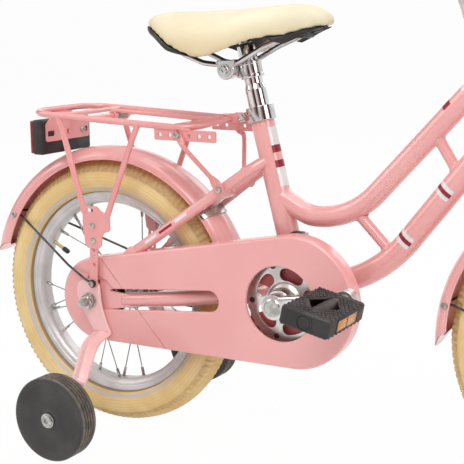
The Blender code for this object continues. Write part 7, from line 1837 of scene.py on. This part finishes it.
ringMid = barEnd - 0.1015 * outward
leverFore = unit(xAxis - outward[0] * outward)
leverUp = np.cross(outward, leverFore)
leverFrame = (ringMid, outward, leverFore, leverUp)
mountLug = filleted([(-0.007, 0.0135), (0.007, 0.0135), (0.0075, 0.026), (0.005, 0.031), (-0.005, 0.031),
                     (-0.0075, 0.026)], 0.002, 4, True)
addPiece("leverMount", [collar(0.01115, 0.0150, -0.007, 0.007, ringMid, outward, 0.0012, 4, 64),
                        plate(mountLug, (), -0.006, 0.006, 0.0012, leverFrame)],
         blackPlastic, "steering", ["brake_lever_mount"], 40)
leverPlace = ringMid + 0.025 * leverFore
fixings("leverPin", [bar(leverPlace, leverPlace + 0.0135 * leverUp, 0.0025, 16),
                     bolts([leverPlace + 0.0128 * leverUp], leverUp, 0.0046, 0.0014, 24, 0.5)], "steering")
leverRing = curveThrough([(-.006, .019), (.012, .0205), (.035, .035), (.078, .039), (.082, .043), (.078, .047),
                          (.035, .0435), (.010, .0325), (-.006, .031), (-.0085, .025), (-.006, .019)], 6)[:-1]
leverSkin = plate(leverRing, [ringAt(0, 0.025, 0.0029, 24)], 0.0063, 0.0123, 0.0016, leverFrame)
addPiece("brakeLever", [leverSkin], castAlloy, "lever", ["brake_lever"], 40)

# brake arms: a flat bar bowed round the mudguard, its pad beside the rim
line = curveThrough([(brakeAt, 0.0, 0.0085), (crownAt - 0.009, 0.020, 0.0060), (crownAt - 0.027, 0.036, 0.0050),
                     (crownAt - 0.056, 0.038, 0.0045), (0.139, 0.035, 0.0045), (0.121, 0.030, 0.0045)], 10)
shareAlong = np.clip(np.linspace(-0.25, 1.0, len(line)), 0, 1)
a = (tau * np.arange(28) / 28)[None]
squareX, squareY = cornered(np.cos(a), 0.45), cornered(np.sin(a), 0.45)
run = unit(np.gradient(line[:, [1, 0]], axis=0))
y = line[:, 1:2] - run[:, 1:] * line[:, 2:] * squareX
t = line[:, 0:1] + run[:, :1] * line[:, 2:] * squareX
for way, side, layer in ((-1, "right", 0.0180), (1, "left", 0.0223)):
    fore = layer + (0.023 - layer) * shareAlong ** 1.5
    deep = fore[:, None] + 0.002 + 0.002 * squareY + 0 * y
    beam = inSteer(shell(np.stack([deep, way * y, t], -1)))
    eye = collar(0.0031, 0.0095, 0.0, 0.004, steer(brakeAt, layer), steerFore, 0.0006, 3, 48)
    addPiece("brakeArm" + side.title(), [beam, eye], castAlloy, "arm_" + side[0], ["brake_arm_" + side], 36)
    pads = []
    for near, far, reach, deep, edge in ((0.0225, 0.0320, 0.015, 0.0032, 0.0012),
                                         (0.0146, 0.0228, 0.016, 0.0035, 0.0014)):
        low, high = sorted((way * near, way * far))
        pads.append(inSteer(roundBox((0.025 - reach, low, 0.127 - deep), (0.025 + reach, high, 0.127 + deep), edge)))
    addPiece("brakePad" + side.title(), pads, blackPlastic, "arm_" + side[0], (), 36)

# brake cable: its middle line in millimetres from the lever's clamp to the stop over the brake
cableLine = np.array([(486.57, -149.67, 510.22), (502.73, -124.4, 511.04), (538.88, -99.14, 505.87),
                      (550.97, -10, 478.51), (562.96, 12, 387.1), (565.67, 12, 306.56), (558.84, 4, 266.83),
                      (557.18, 0, 242.18), (554.92, 0, 226.46)]) / 1000
cablePath = spaced(curveThrough(cableLine, 20), 240)
cableEnd = cablePath[0] + 0.012 * unit(cablePath[1] - cablePath[0])
addPiece("brakeCable", [tube(cablePath, 0.0025, yAxis, 16, dome=0.0006), bar(cablePath[0], cableEnd, 0.0033, 20)],
         blackPlastic, "steering", ["brake_cable"], 60)
print("scene: steering ready")

# the paint, rubber and metal slots of the pieces
slots = {"pink_paint": (framePaint, casePaint, guardPaint, rackPaint), "tan_rubber": (rearTyreFinish, frontTyreFinish),
         "rim_alloy": (rearRimFinish, frontRimFinish), "steel": (zincSteel, railSteel, spokeSteel), "chrome": (chrome,),
         "crank_alloy": (castAlloy,), "dark_steel": (darkSteel,), "black_plastic": (blackPlastic, basePlastic),
         "cream_vinyl": (saddleVinyl,), "cream_rubber": (creamRubber,), "red_lens": (redLens,),
         "black_rubber": (trainerRubber,)}
bpy.context.view_layer.update()
